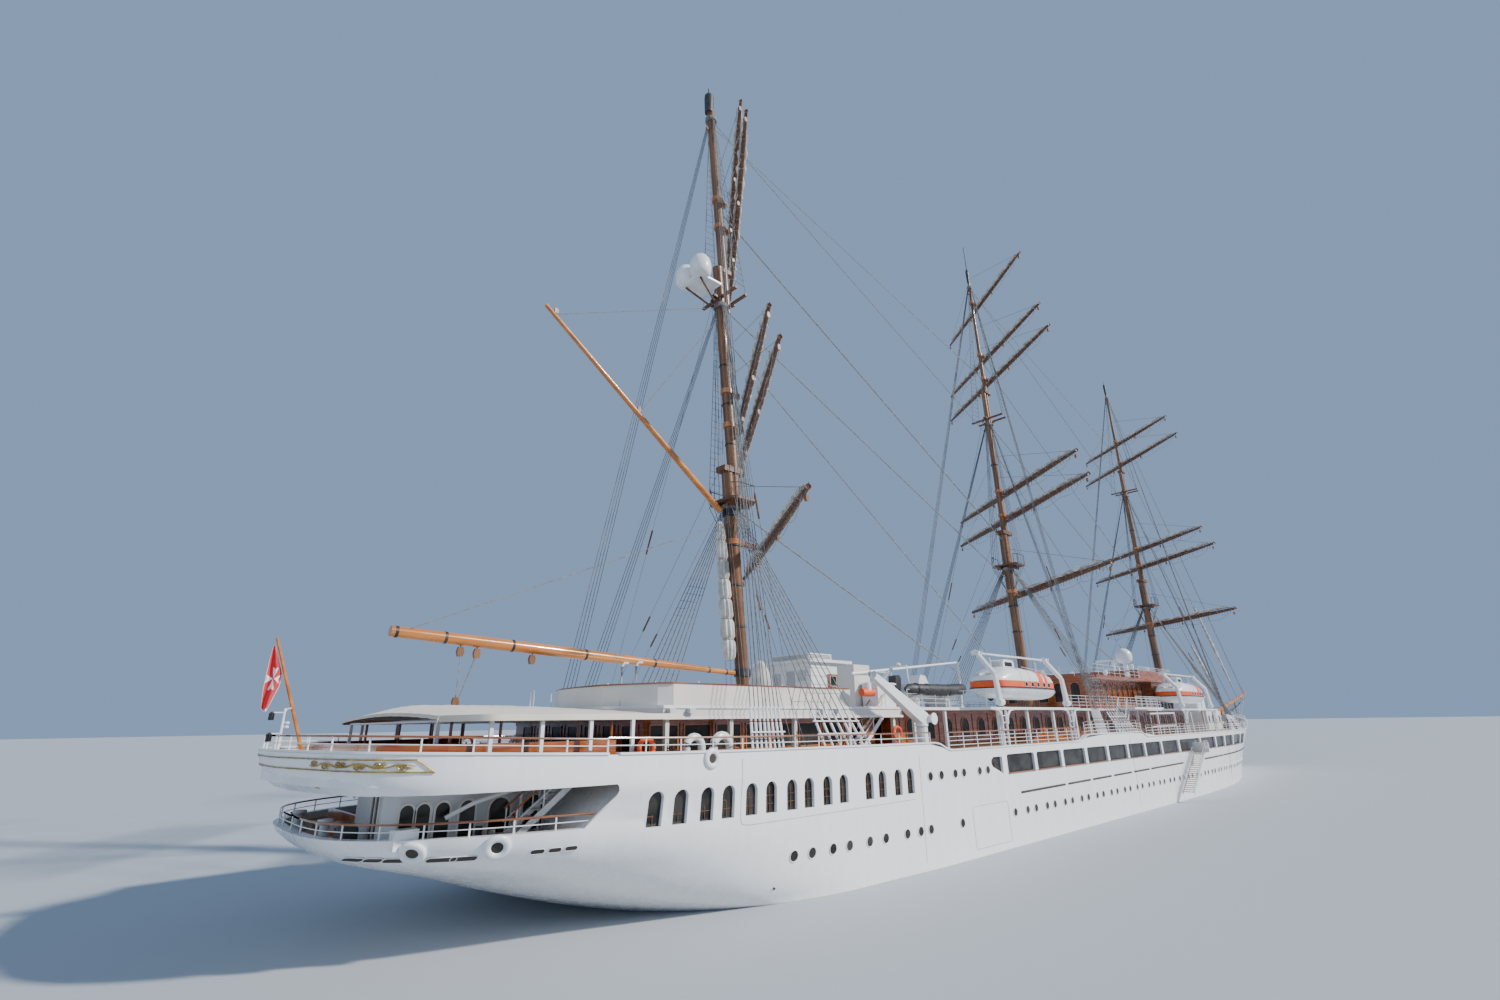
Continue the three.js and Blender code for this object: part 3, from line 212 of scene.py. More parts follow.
M = {
    "hull": hull_paint(),
    "white": surface("white_enamel", (0.74, 0.75, 0.75), (0.88, 0.885, 0.89), 5, (0.22, 0.4), (1, 1, 0.4),
                     coat=0.2),
    "grey": surface("pale_grey_paint", (0.5, 0.51, 0.52), (0.62, 0.63, 0.64), 6, (0.35, 0.55), (1, 1, 0.5)),
    "cream": surface("cream_enamel", (0.66, 0.62, 0.56), (0.78, 0.75, 0.7), 4, (0.3, 0.5), (1, 1, 0.4),
                     coat=0.1),
    "varnish": surface("varnished_mahogany", (0.2, 0.045, 0.009), (0.42, 0.115, 0.024), 9, (0.14, 0.3),
                       (1, 1, 9), coat=0.7, grain=40, grain_stretch=(6, 6, 0.5), depth=0.0003),
    "rail": surface("varnished_rail", (0.17, 0.05, 0.015), (0.32, 0.11, 0.035), 10, (0.18, 0.35),
                    (0.4, 0.4, 4), coat=0.6, grain=80, depth=0.0002),
    "spar": surface("spar_varnish", (0.3, 0.095, 0.02), (0.5, 0.19, 0.045), 8, (0.2, 0.38), (1, 1, 6),
                    coat=0.6, grain=50, grain_stretch=(5, 5, 0.5), depth=0.0004),
    "boom": surface("boom_varnish", (0.42, 0.13, 0.02), (0.62, 0.23, 0.04), 6, (0.18, 0.34), (0.5, 6, 6),
                    coat=0.6, grain=50, grain_stretch=(0.5, 6, 6), depth=0.0004),
    "yard": surface("yard_paint", (0.08, 0.032, 0.014), (0.18, 0.075, 0.03), 10, (0.4, 0.65), (3, 3, 3),
                    grain=70),
    "mast": surface("mast_grained_paint", (0.11, 0.042, 0.013), (0.24, 0.1, 0.032), 5, (0.3, 0.5),
                    (2.5, 2.5, 0.5), grain=60, coat=0.2),
    "teak": planked("teak_planks", (0.42, 0.26, 0.14), (0.56, 0.38, 0.22), 0.012, (0.03, 0.025, 0.02, 1)),
    "canvas": surface("sail_canvas", (0.38, 0.37, 0.34), (0.7, 0.69, 0.65), 14, (0.85, 0.95), grain=160,
                      depth=0.0009, strength=0.5, sheen=0.2),
    "awning": surface("awning_canvas", (0.66, 0.6, 0.48), (0.78, 0.72, 0.6), 3, (0.8, 0.92), grain=200,
                      depth=0.0004, strength=0.35, sheen=0.2),
    "rope": surface("grey_rope", (0.1, 0.1, 0.1), (0.24, 0.235, 0.225), 60, (0.7, 0.9), grain=300),
    "wire": surface("grey_wire", (0.16, 0.16, 0.155), (0.3, 0.3, 0.29), 40, (0.45, 0.65), grain=300,
                    metal=0.3),
    "manila": surface("manila_rope", (0.34, 0.27, 0.18), (0.52, 0.43, 0.3), 50, (0.8, 0.95), grain=300),
    "black": surface("black_paint", (0.018, 0.018, 0.02), (0.045, 0.045, 0.048), 14, (0.35, 0.6)),
    "glass": dark_glass(),
    "gold": surface("gold_leaf", (0.34, 0.22, 0.05), (0.6, 0.42, 0.13), 30, (0.28, 0.45), metal=0.75),
    "orange": surface("signal_orange", (0.72, 0.07, 0.008), (0.86, 0.12, 0.015), 8, (0.4, 0.6), grain=90),
    "rubber": surface("black_rubber", (0.012, 0.012, 0.014), (0.04, 0.04, 0.042), 14, (0.45, 0.7)),
    "bronze": surface("cast_bronze", (0.36, 0.22, 0.08), (0.5, 0.33, 0.14), 12, (0.25, 0.45), metal=0.9),
    "red": surface("red_bunting", (0.5, 0.012, 0.02), (0.66, 0.02, 0.03), 14, (0.8, 0.95), grain=260,
                   depth=0.0005, sheen=0.3),
    "bunting": surface("white_bunting", (0.78, 0.77, 0.76), (0.9, 0.9, 0.89), 14, (0.8, 0.95), grain=260,
                       depth=0.0005, sheen=0.3),
    # near black: painted shade for the inside of openings that are drawn as flat patches on the hull
    "dark": surface("dim_interior", (0.02, 0.016, 0.013), (0.05, 0.04, 0.032), 6, (0.6, 0.8)),
    "seam": surface("seam_shadow", (0.34, 0.35, 0.36), (0.44, 0.45, 0.46), 14, (0.5, 0.7)),
    "steel": surface("stainless", (0.42, 0.42, 0.43), (0.6, 0.6, 0.6), 20, (0.2, 0.4), metal=0.9), }


# Mesh building
PIECES = []


class Piece:
    """Faces gathered in real metres that become one object on one body."""

    def __init__(self, name, mat, body="ship", replaces=(), sharp=35, weld=False, slot=None):
        self.name, self.mat, self.body, self.replaces = name, mat, body, replaces
        self.sharp, self.weld, self.slot = sharp, weld, slot
        self.verts, self.faces = [], []
        self.second = None
        PIECES.append(self)

    def add(self, points, faces):
        start = len(self.verts)
        self.verts.extend(tuple(p) for p in points)
        self.faces.extend(tuple(start + i for i in face) for face in faces)

    def box(self, x0, x1, y0, y1, z0, z1):
        self.add([(x, y, z) for x in sorted((x0, x1)) for y in sorted((y0, y1)) for z in (z0, z1)],
                 [(0, 1, 3, 2), (4, 6, 7, 5), (0, 4, 5, 1), (2, 3, 7, 6), (0, 2, 6, 4), (1, 5, 7, 3)])

    def sheet(self, rows, closed=False):
        """A grid of points, row by row; closed joins the last column to the first."""
        count = len(rows[0])
        faces = []
        for i in range(len(rows) - 1):
            for j in range(count if closed else count - 1):
                k = (j + 1) % count
                faces.append((i * count + j, i * count + k, (i + 1) * count + k, (i + 1) * count + j))
        self.add([p for row in rows for p in row], faces)

    def loft(self, rings):
        """Rings joined one to the next, with both ends closed."""
        count = len(rings[0])
        self.sheet(rings, closed=True)
        last = (len(rings) - 1) * count
        start = len(self.verts) - len(rings) * count
        self.faces.append(tuple(start + i for i in reversed(range(count))))
        self.faces.append(tuple(start + last + i for i in range(count)))

    def path(self, points, radius, sides=6, radii=None):
        """A round bar along a line of points."""
        points = [Vector(p) for p in points]
        rings = []
        for i, p in enumerate(points):
            before, after = points[max(i - 1, 0)], points[min(i + 1, len(points) - 1)]
            along = (after - before).normalized()
            side = along.cross(Vector((0, 0, 1)))
            if side.length < 0.05:
                side = along.cross(Vector((1, 0, 0)))
            side.normalize()
            up = side.cross(along)
            r = radii[i] if radii else radius
            rings.append([p + r * (math.cos(a) * side + math.sin(a) * up)
                          for a in (2 * math.pi * k / sides for k in range(sides))])
        self.loft(rings)

    def bar(self, a, b, radius, end=None, sides=6):
        """A straight round bar, which may taper to its end radius."""
        self.path([a, b], radius, sides, [radius, radius if end is None else end])

    def prism(self, outline, axis, low, high):
        """An outline extruded along x, y or z."""
        def place(u, v, w):
            return {"x": (w, u, v), "y": (u, w, v), "z": (u, v, w)}[axis]
        self.loft([[place(u, v, w) for u, v in outline] for w in sorted((low, high))])

    def lathe(self, centre, profile, axis="z", sides=16):
        """A turned form: radius and distance pairs along an axis through the centre."""
        cx, cy, cz = centre
        rings = []
        for radius, along in profile:
            ring = []
            for k in range(sides):
                c, s = radius * math.cos(2 * math.pi * k / sides), radius * math.sin(2 * math.pi * k / sides)
                ring.append({"z": (cx + c, cy + s, cz + along), "y": (cx + c, cy + along, cz + s),
                             "x": (cx + along, cy + c, cz + s)}[axis])
            rings.append(ring)
        self.loft(rings)

    def hoop(self, centre, radius, thick, normal=(0, 1, 0), sides=20, section=8, squash=1.0):
        """A round ring of round section about a normal."""
        normal = Vector(normal).normalized()
        side = normal.cross(Vector((0, 0, 1)))
        if side.length < 0.05:
            side = Vector((1, 0, 0))
        side.normalize()
        up = side.cross(normal)
        rings = []
        for k in range(sides):
            a = 2 * math.pi * k / sides
            out = math.cos(a) * side + math.sin(a) * up
            at = Vector(centre) + radius * out
            rings.append([at + thick * (math.cos(b) * out + squash * math.sin(b) * normal)
                          for b in (2 * math.pi * m / section for m in range(section))])
        rings.append(rings[0])
        self.sheet(rings, closed=True)

    def disc(self, centre, radius, normal, sides=14):
        """A flat round face."""
        normal = Vector(normal).normalized()
        side = normal.cross(Vector((0, 0, 1))).normalized()
        up = side.cross(normal)
        points = [Vector(centre) + radius * (math.cos(a) * side + math.sin(a) * up)
                  for a in (2 * math.pi * k / sides for k in range(sides))]
        self.add(points, [tuple(range(sides))])


def make(piece):
    """The object of a piece: its mesh at the model's scale, finish, body and replaced nodes."""
    mesh = bpy.data.meshes.new(piece.name)
    mesh.from_pydata([tuple(K * c for c in p) for p in piece.verts], [], piece.faces)
    work = bmesh.new()
    work.from_mesh(mesh)
    if piece.weld:
        bmesh.ops.remove_doubles(work, verts=work.verts, dist=2e-6)
    bmesh.ops.dissolve_degenerate(work, edges=work.edges, dist=1e-7)
    bmesh.ops.recalc_face_normals(work, faces=work.faces)
    work.to_mesh(mesh)
    work.free()
    mesh.shade_smooth()
    mesh.set_sharp_from_angle(angle=math.radians(piece.sharp))
    obj = bpy.data.objects.new(piece.name, mesh)
    bpy.context.scene.collection.objects.link(obj)
    mesh.materials.append(M[piece.mat])
    if piece.second:
        mesh.materials.append(M[piece.second[0]])
        for k in piece.second[1]:
            mesh.polygons[k].material_index = 1
    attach(obj, piece.body)
    if piece.replaces:
        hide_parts(*piece.replaces)
    return obj


# Hull lines
# x, half width at the deck, half width at the waterline, keel's z, sheer's z
STATIONS = [(-36.0, 8.6, 8.35, -4.6, 5.78), (-30.0, 8.6, 8.6, -5.65, 5.75), (-18.0, 8.6, 8.6, -5.65, 5.74),
            (2.0, 8.6, 8.6, -5.65, 5.74), (16.0, 8.6, 8.5, -5.65, 5.78), (27.0, 8.5, 7.9, -5.65, 5.85),
            (34.0, 8.2, 6.9, -5.65, 5.93), (40.0, 7.5, 5.7, -5.65, 6.05), (45.0, 6.6, 4.4, -5.65, 6.18),
            (50.0, 5.4, 2.9, -4.9, 6.35), (54.0, 4.15, 1.6, -3.0, 6.52), (57.5, 2.9, 0.0, 0.2, 6.7),
            (60.5, 1.65, 0.0, 3.8, 6.88), (63.0, 0.3, 0.0, 6.3, 7.05)]


def smooth_table(pairs):
    """Monotone cubic through x, y pairs."""
    xs, ys = [p[0] for p in pairs], [p[1] for p in pairs]
    steps = [(ys[i + 1] - ys[i]) / (xs[i + 1] - xs[i]) for i in range(len(xs) - 1)]
    slopes = [steps[0]]
    for a, b in zip(steps, steps[1:]):
        slopes.append(0.0 if a * b <= 0 else 2 * a * b / (a + b))
    slopes.append(steps[-1])

    def value(x):
        if x <= xs[0]:
            return ys[0]
        if x >= xs[-1]:
            return ys[-1]
        i = max(k for k in range(len(xs) - 1) if xs[k] <= x)
        h = xs[i + 1] - xs[i]
        t = (x - xs[i]) / h
        return ((1 + 2 * t) * (1 - t) ** 2 * ys[i] + t * (1 - t) ** 2 * h * slopes[i]
                + t * t * (3 - 2 * t) * ys[i + 1] + t * t * (t - 1) * h * slopes[i + 1])
    return value


deck_half = smooth_table([(s[0], s[1]) for s in STATIONS])
water_half = smooth_table([(s[0], s[2]) for s in STATIONS])
bottom_at = smooth_table([(s[0], s[3]) for s in STATIONS])
sheer_fore = smooth_table([(s[0], s[4]) for s in STATIONS])
sheer_aft = smooth_table([(-58.75, 6.24), (-57.0, 6.19), (-55.0, 6.12), (-52.0, 6.01), (-49.8, 5.94),
                          (-45.0, 5.86), (-36.0, 5.78)])
stern_end = smooth_table([(0.0, -47.5), (0.4, -49.1), (1.3, -52.0), (2.0, -54.0), (3.0, -57.1), (3.5, -57.7),
                          (3.9, -57.85), (4.3, -57.9), (5.02, -58.1), (5.3, -58.42), (5.6, -58.55),
                          (5.9, -58.66), (6.24, -58.75)])
# half width of the counter as a share of the beam, against the way from JOIN to the stern's end
stern_plan = smooth_table([(0.0, 1.0), (0.3956, 0.9977), (0.6066, 0.9826), (0.7033, 0.9593), (0.8352, 0.8953),
                           (0.9231, 0.7791), (0.967, 0.6163), (0.9868, 0.3721), (1.0, 0.14)])
stern_power = smooth_table([(0.0, 2.2), (2.0, 2.7), (3.7, 3.3), (5.1, 3.3)])
stem_end = smooth_table([(0.0, 57.35), (0.2, 57.5), (2.0, 58.9), (3.8, 60.5), (5.2, 61.9), (6.3, 63.0),
                         (7.1, 63.0)])
JOIN = -36.0            # the counter begins here
STERN_X = -59.0         # its aftermost column
STERN_FROM = -50.4      # start of the lines drawn round the stern
SLOT_END = -50.8        # forward end of the mooring deck's slot, at its foot
DECK_Z, FORE_DECK_Z, FORE_DECK_X = 5.27, 5.92, 46.5
MOORING_Z, WALL_FOOT = 3.42, 3.4
UPPER_DECK_Z = 7.6      # sun deck and boat deck
# where the bulwark steps down, and to what height
LOW = [(-30.0, -12.0), (0.4, 46.2)]
LOW_SHEER = 5.34


def sheer(x):
    return sheer_aft(x) if x < JOIN else sheer_fore(x)


def top_at(x):
    """Top of the bulwark, which steps down where the side decks are open."""
    full = sheer(x)
    for x0, x1 in LOW:
        into = min(x - (x0 - 0.9), (x1 + 0.9) - x) / 1.5
        if into > 0:
            t = min(into, 1.0)
            return full + (LOW_SHEER - full) * t * t * (3 - 2 * t)
    return full


def half_at(x, z):
    """Half width of the hull above the waterline."""
    if x < JOIN:
        length = JOIN - stern_end(z)
        q = min((JOIN - x) / length, 1.0)
        n = stern_power(z)
        beam = 8.35 + 0.25 * math.sin(min(z / 5.78, 1) * math.pi / 2) ** 0.7
        w = min(max((z - 3.9) / 1.2, 0.0), 1.0)
        w = w * w * (3 - 2 * w)
        return beam * ((1 - w) * (1 - q ** n) ** (1 / n) + w * stern_plan(q))
    top, deck, water, bottom = sheer(x), deck_half(x), water_half(x), bottom_at(x)
    t = min(z / top, 1.0)
    flare = t ** 1.2 if x > 0 else math.sin(t * math.pi / 2) ** 0.7
    a = water + (deck - water) * flare
    if x <= 54:
        return a
    foot = min(0.12, deck / 2)
    s = min(max((z - bottom) / (top - bottom), 0.0), 1.0)
    b = foot + (deck - foot) * s ** 0.75
    w = min((x - 54) / 3.5, 1.0)
    return (1 - w) * a + w * b


# middles of the small arched windows; ends of the promenade's wide windows; heights of the skin's rows
ARCHES = [-48.32, -47.28, -46.12, -45.12, -43.96, -42.91, -41.74, -40.71, -39.54, -38.46, -36.63, -35.64,
          -34.39, -33.36]
PROMENADE = [(-23.45, -19.93), (-19.57, -16.04), (-15.68, -12.13), (-11.74, -8.16), (-7.8, -4.08),
             (-3.77, -0.22),
             (0.08, 3.86), (4.2, 8.5), (8.97, 15.25), (15.6, 20.7), (21.14, 24.5), (24.95, 28.55),
             (29.05, 33.5), (33.95, 37.6)]
LEVELS = [0.0, 0.34, 0.7, 1.05, 1.4, 1.75, 2.1, 2.41, 2.75, 3.15, 3.45, 3.7, 3.9, 4.3, 4.65, 4.8, 4.95, 5.02]
SLOT_LOW, SLOT_HIGH = 3.7, 5.02


def arch_outline(x, half, low, high, steps=8):
    spring = high - half
    points = [(x - half, low), (x + half, low)]
    points += [(x + half * math.cos(a), spring + half * math.sin(a))
               for a in (math.pi * k / steps for k in range(steps + 1))]
    return points


def round_outline(x0, x1, z0, z1, r, steps=4):
    points = []
    for cx, cz, start in ((x1 - r, z0 + r, -90), (x1 - r, z1 - r, 0), (x0 + r, z1 - r, 90),
                          (x0 + r, z0 + r, 180)):
        for k in range(steps + 1):
            a = math.radians(start + 90 * k / steps)
            points.append((cx + r * math.cos(a), cz + r * math.sin(a)))
    return points


def openings():
    """Every opening in the hull side: the patch of skin it takes up and the hole's outline."""
    found = [dict(x0=x - 0.42, x1=x + 0.42, z0=3.45, z1=4.8, hole=arch_outline(x, 0.3, 3.52, 4.68))
             for x in ARCHES]
    quarter = [(-24.3, 4.0), (-24.02, 3.9), (-24.02, 4.84), (-25.05, 4.84), (-25.3, 4.7), (-25.33, 4.5),
               (-25.2, 4.33)]
    found.append(dict(x0=-25.6, x1=-23.95, z0=3.7, z1=4.95, hole=quarter))
    found += [dict(x0=a - 0.12, x1=b + 0.12, z0=3.7, z1=5.02, hole=round_outline(a, b, 3.9, 4.92, 0.18))
              for a, b in PROMENADE]
    return found


def hull_columns():
    """Places of the columns along the ship, from the stem aft: a rule that gives x at a height."""
    holes = openings()
    edges = sorted({o["x0"] for o in holes} | {o["x1"] for o in holes})
    base = [50 - 1.6 * k for k in range(62)]
    plain = [x for x in base if -49.0 < x < 50 and not any(o["x0"] - 0.35 < x < o["x1"] + 0.35
                                                           for o in holes)]
    fixed = sorted(set(plain) | set(edges) | {50.0}, reverse=True)
    fore = [1, 0.992, 0.975, 0.945, 0.9, 0.84, 0.77, 0.69, 0.6, 0.5, 0.4, 0.3, 0.2, 0.1]
    aft = [-51.4, -52.6, -53.7, -54.7, -55.6, -56.4, -57.05, -57.6, -58.05, -58.4, -58.65, -58.82, -58.93,
           -58.985, STERN_X]
    columns = [("fore", f) for f in fore] + [("fixed", x) for x in fixed] + [("slant", 0)] + [("aft", x)
                                                                                              for x in aft]
    return columns, holes


def column_x(column, z):
    """Where a column of the skin stands at a height."""
    kind, value = column
    if kind == "fore":
        return 50 + value * (stem_end(z) - 50)
    if kind == "slant":
        up = min(max((z - SLOT_LOW) / (SLOT_HIGH - SLOT_LOW), 0), 1)
        value = SLOT_END + 1.2 * up - 0.4 * max(0, (up - 0.7) / 0.3) ** 2
    if kind == "aft":
        near = (value - SLOT_END) / (STERN_X - SLOT_END)
        upper = SLOT_END + near * (stern_end(z) - SLOT_END)
    else:
        upper = value
    if value > JOIN:
        return value
    scaled = JOIN + (JOIN - value) / (JOIN - STERN_X) * (stern_end(z) - JOIN)
    w = min(max((z - 1.6) / 1.5, 0), 1)
    w = w * w * (3 - 2 * w)
    return w * upper + (1 - w) * scaled


def skin_point(x, z, sign):
    return (x, sign * half_at(x, z), z)


def build_hull():
    """The hull's skin above the waterline, cut at each opening and at the mooring deck's slot."""
    skin = Piece("hull_skin", "hull", replaces=("hull", "stern", "bulwark"), sharp=32, weld=True,
                 slot="white_paint")
    columns, holes = hull_columns()
    slant_at = [k for k, c in enumerate(columns) if c[0] == "slant"][0]
    rows_above = (0.05, 0.12, 0.25, 0.45, 0.7, 1.0)

    def grid_point(i, j, sign):
        if i < len(LEVELS):
            z = LEVELS[i]
            x = column_x(columns[j], z)
        else:
            x = column_x(columns[j], 5.4 if columns[j][0] != "fore" else 6.6)
            f = rows_above[i - len(LEVELS)]
            z = SLOT_HIGH + f * (top_at(x) - SLOT_HIGH)
            if columns[j][0] == "fore":
                x = 50 + columns[j][1] * (stem_end(z) - 50)
                z = SLOT_HIGH + f * (top_at(x) - SLOT_HIGH)
            elif columns[j][0] == "aft":
                x = column_x(columns[j], z)
        y = 0.0 if (columns[j][0] == "fore" and columns[j][1] == 1) else half_at(x, z)
        if columns[j][0] == "aft" and columns[j][1] == STERN_X:
            y = 0.0
        return (x, sign * y, z)

    total = len(LEVELS) + len(rows_above)
    low_row, high_row = LEVELS.index(SLOT_LOW), LEVELS.index(SLOT_HIGH)
    for sign in SIDES:
        points = [[grid_point(i, j, sign) for j in range(len(columns))] for i in range(total)]
        faces = []
        count = len(columns)
        for i in range(total - 1):
            for j in range(count - 1):
                if low_row <= i < high_row and j >= slant_at:
                    continue
                xm = (points[i][j][0] + points[i][j + 1][0]) / 2
                zm = (LEVELS[i] + LEVELS[i + 1]) / 2 if i + 1 < len(LEVELS) else 9
                if any(o["x0"] < xm < o["x1"] and o["z0"] < zm < o["z1"] for o in holes):
                    continue
                faces.append((i * count + j, i * count + j + 1, (i + 1) * count + j + 1, (i + 1) * count + j))
        skin.add([p for row in points for p in row], faces)
        for o in holes:
            zs = [z for z in LEVELS if o["z0"] <= z <= o["z1"]]
            outer = [(o["x0"], z) for z in zs] + [(o["x1"], z) for z in reversed(zs)]
            flat = [[Vector((x, z, 0)) for x, z in outer], [Vector((x, z, 0)) for x, z in o["hole"]]]
            spots = outer + o["hole"]
            skin.add([skin_point(x, z, sign) for x, z in spots], tessellate_polygon(flat))
            reveal = [[(x, sign * (half_at(x, z) - d), z) for x, z in o["hole"]] for d in (0.0, 0.16)]
            skin.sheet(reveal, closed=True)
    return skin


keel_at = smooth_table([(-47.5, 0.0), (-45.0, -0.9), (-41.5, -2.4), (-36.0, -4.6), (-30.0, -5.65),
                        (45.0, -5.65), (50.0, -4.9), (54.0, -3.0), (57.36, 0.0)])
fullness = smooth_table([(-48.0, 2.0), (-36.0, 2.0), (-30.0, 2.4), (-18.0, 3.4), (2.0, 3.6), (16.0, 3.0),
                         (27.0, 2.4), (34.0, 2.0), (40.0, 1.8), (45.0, 1.6), (54.0, 1.4)])


def build_underwater(skin):
    """The bottom of the hull below the waterline, with its skeg and shaft tube."""
    columns, _ = hull_columns()
    columns = [c for c in columns if not (c[0] == "fore" and c[1] == 1)]
    depths = [1 - (1 - k / 12) ** 1.6 for k in range(13)]
    for sign in SIDES:
        rows = [[] for _ in depths]
        for column in columns:
            x = column_x(column, 0.0)
            top, low, full = half_at(x, 0.0), keel_at(x), fullness(x)
            keel = min(0.3, top)
            for row, u in zip(rows, depths):
                row.append((x, sign * (keel + (top - keel) * (1 - u ** full) ** (1 / full)), low * u))
        skin.sheet(rows)
    keel_line = [column_x(column, 0.0) for column in columns]
    skin.sheet([[(x, sign * min(0.3, half_at(x, 0.0)), keel_at(x)) for x in keel_line] for sign in SIDES])
    skin.prism([(-45.6, -5.65), (-31, -5.65), (-31, -4), (-45.2, -1.1)], "y", -0.3, 0.3)
    skin.bar((-38, 0, -3.4), (-46.2, 0, -3.4), 0.55, 0.42, sides=16)


def build_windows():
    """Panes behind the hull's openings, bars in the small ones and sills under the wide ones."""
    glass = Piece("hull_window_glass", "glass", slot="black_rubber")
    frames = Piece("hull_window_frames", "yard")
    sills = Piece("promenade_sills", "rail")
    for sign in SIDES:
        for o in openings():
            ring = [(x, sign * (half_at(x, z) - 0.15), z) for x, z in o["hole"]]
            glass.add(ring, [tuple(range(len(ring)))])
            wide = o["x1"] - o["x0"] > 1.8
            if wide:
                x0, x1 = o["x0"] + 0.12, o["x1"] - 0.12
                rows = [[(x, sign * (half_at(x, 3.92) + d), z) for x in (x0, (x0 + x1) / 2, x1)]
                        for d, z in ((-0.02, 3.86), (0.07, 3.87), (0.07, 3.93), (-0.1, 3.94))]
                sills.sheet(rows)
            else:
                x = (o["x0"] + o["x1"]) / 2
                y = sign * (half_at(x, 4.0) - 0.13)
                for z in (3.85, 4.15):
                    frames.box(x - 0.26, x + 0.26, y - 0.012, y + 0.012, z - 0.012, z + 0.012)
                frames.box(x - 0.012, x + 0.012, y - 0.012, y + 0.012, 3.57, 4.55)


LOW_PORTS = [-41.54, -40.52, -39.26, -38.19, -36.78, -35.59, -33.93, -32.84, -31.97, -29.04, -23.23]
LOW_PORTS += [-21.7 + 2.61 * k + apart for k in range(29) for apart in (0, 1.1)]
HIGH_PORTS = [-31.65, -30.63, -29.28, -28.41, -26.74, -25.83]


def build_ports():
    """Two rows of portholes with raised rims."""
    rims = Piece("porthole_rims", "white")
    glass = Piece("porthole_glass", "glass")
    spots = [(x, 1.8) for x in LOW_PORTS] + [(x, 4.2) for x in HIGH_PORTS]
    for sign in SIDES:
        for x, z in spots:
            y = half_at(x, z)
            slope = (half_at(x + 0.2, z) - half_at(x - 0.2, z)) / 0.4
            tilt = (half_at(x, z + 0.2) - half_at(x, z - 0.2)) / 0.4
            normal = Vector((-slope, sign, -tilt)).normalized()
            at = Vector((x, sign * y, z))
            rims.hoop(at + normal * 0.005, 0.23, 0.03, normal, sides=14, section=6)
            glass.disc(at + normal * 0.016, 0.22, normal, sides=14)


def side_line(x0, x1, lift, inset, step=1.0, sign=1):
    """Points along the top of the bulwark between two x values."""
    count = max(2, int(abs(x1 - x0) / step) + 1)
    xs = [x0 + (x1 - x0) * k / (count - 1) for k in range(count)]
    return [(x, sign * max(half_at(x, min(top_at(x), 6.9)) - inset, 0.02), top_at(x) + lift) for x in xs]


STERN_FS = (0, 0.08, 0.16, 0.25, 0.34, 0.43, 0.52, 0.6, 0.68, 0.75, 0.81, 0.86, 0.9, 0.935, 0.96, 0.98,
            0.992, 1.0, 1.5, 2.0)


def stern_spot(f, z, sign, out=0.0):
    """A point round the stern: f is 0 at STERN_FROM, 1 at the corner of the flat end and 2 at its middle."""
    def raw(g):
        x = STERN_FROM + min(g, 1) * (stern_end(z) - STERN_FROM)
        return Vector((x, sign * half_at(x, z) * (2 - max(g, 1)), z))
    along = (raw(min(f + 0.002, 2)) - raw(max(f - 0.002, 0))).normalized()
    outward = Vector((along.y, -along.x, 0))
    if outward.dot(Vector((-1, sign, 0))) < 0:
        outward = -outward
    return raw(min(f, 2)) + outward * out


def stern_line(lift, inset, low=None):
    """Points round the stern from starboard to port, at the sheer plus a lift, drawn in by an inset."""
    side = []
    for f in STERN_FS:
        p = stern_spot(f, 6.1 if low is None else low, -1, -inset)
        side.append((p.x, min(p.y, 0.0), (sheer(p.x) if low is None else low) + lift))
    return side + [(x, -y, z) for x, y, z in reversed(side[:-1])]


def build_bulwark():
    """The inner face of the bulwark and the cap along its top."""
    inner = Piece("bulwark_inside", "white", weld=True)
    cap = Piece("bulwark_cap", "white", slot="white_paint")
    for sign in SIDES:
        xs = [-50 + 0.5 * k for k in range(225)]
        rows_in = []
        for x in xs:
            foot = DECK_Z if x < FORE_DECK_X else FORE_DECK_Z
            top = top_at(x)
            y_top, y_low = half_at(x, min(top, 7)) - 0.19, half_at(x, foot) - 0.19
            rows_in.append([(x, sign * max(y_low, 0.02), foot), (x, sign * max(y_top, 0.02), top)])
        inner.sheet(rows_in)
        ring = []
        for x in xs:
            top = top_at(x)
            y = half_at(x, min(top, 7))
            ring.append([(x, sign * max(y + dy, 0.02), top + dz)
                         for dy, dz in ((0.06, 0.0), (0.06, 0.07), (-0.26, 0.07), (-0.26, 0.0))])
        cap.loft(ring)
    wall = stern_line(0, 0.2)
    inner.sheet([[(x, y, DECK_Z) for x, y, _ in wall], wall])
    outer, inside = stern_line(0.0, -0.05), stern_line(0.0, 0.26)
    cap.loft([[o, (o[0], o[1], o[2] + 0.07), (i[0], i[1], i[2] + 0.07), i]
              for o, i in zip(outer, inside)])


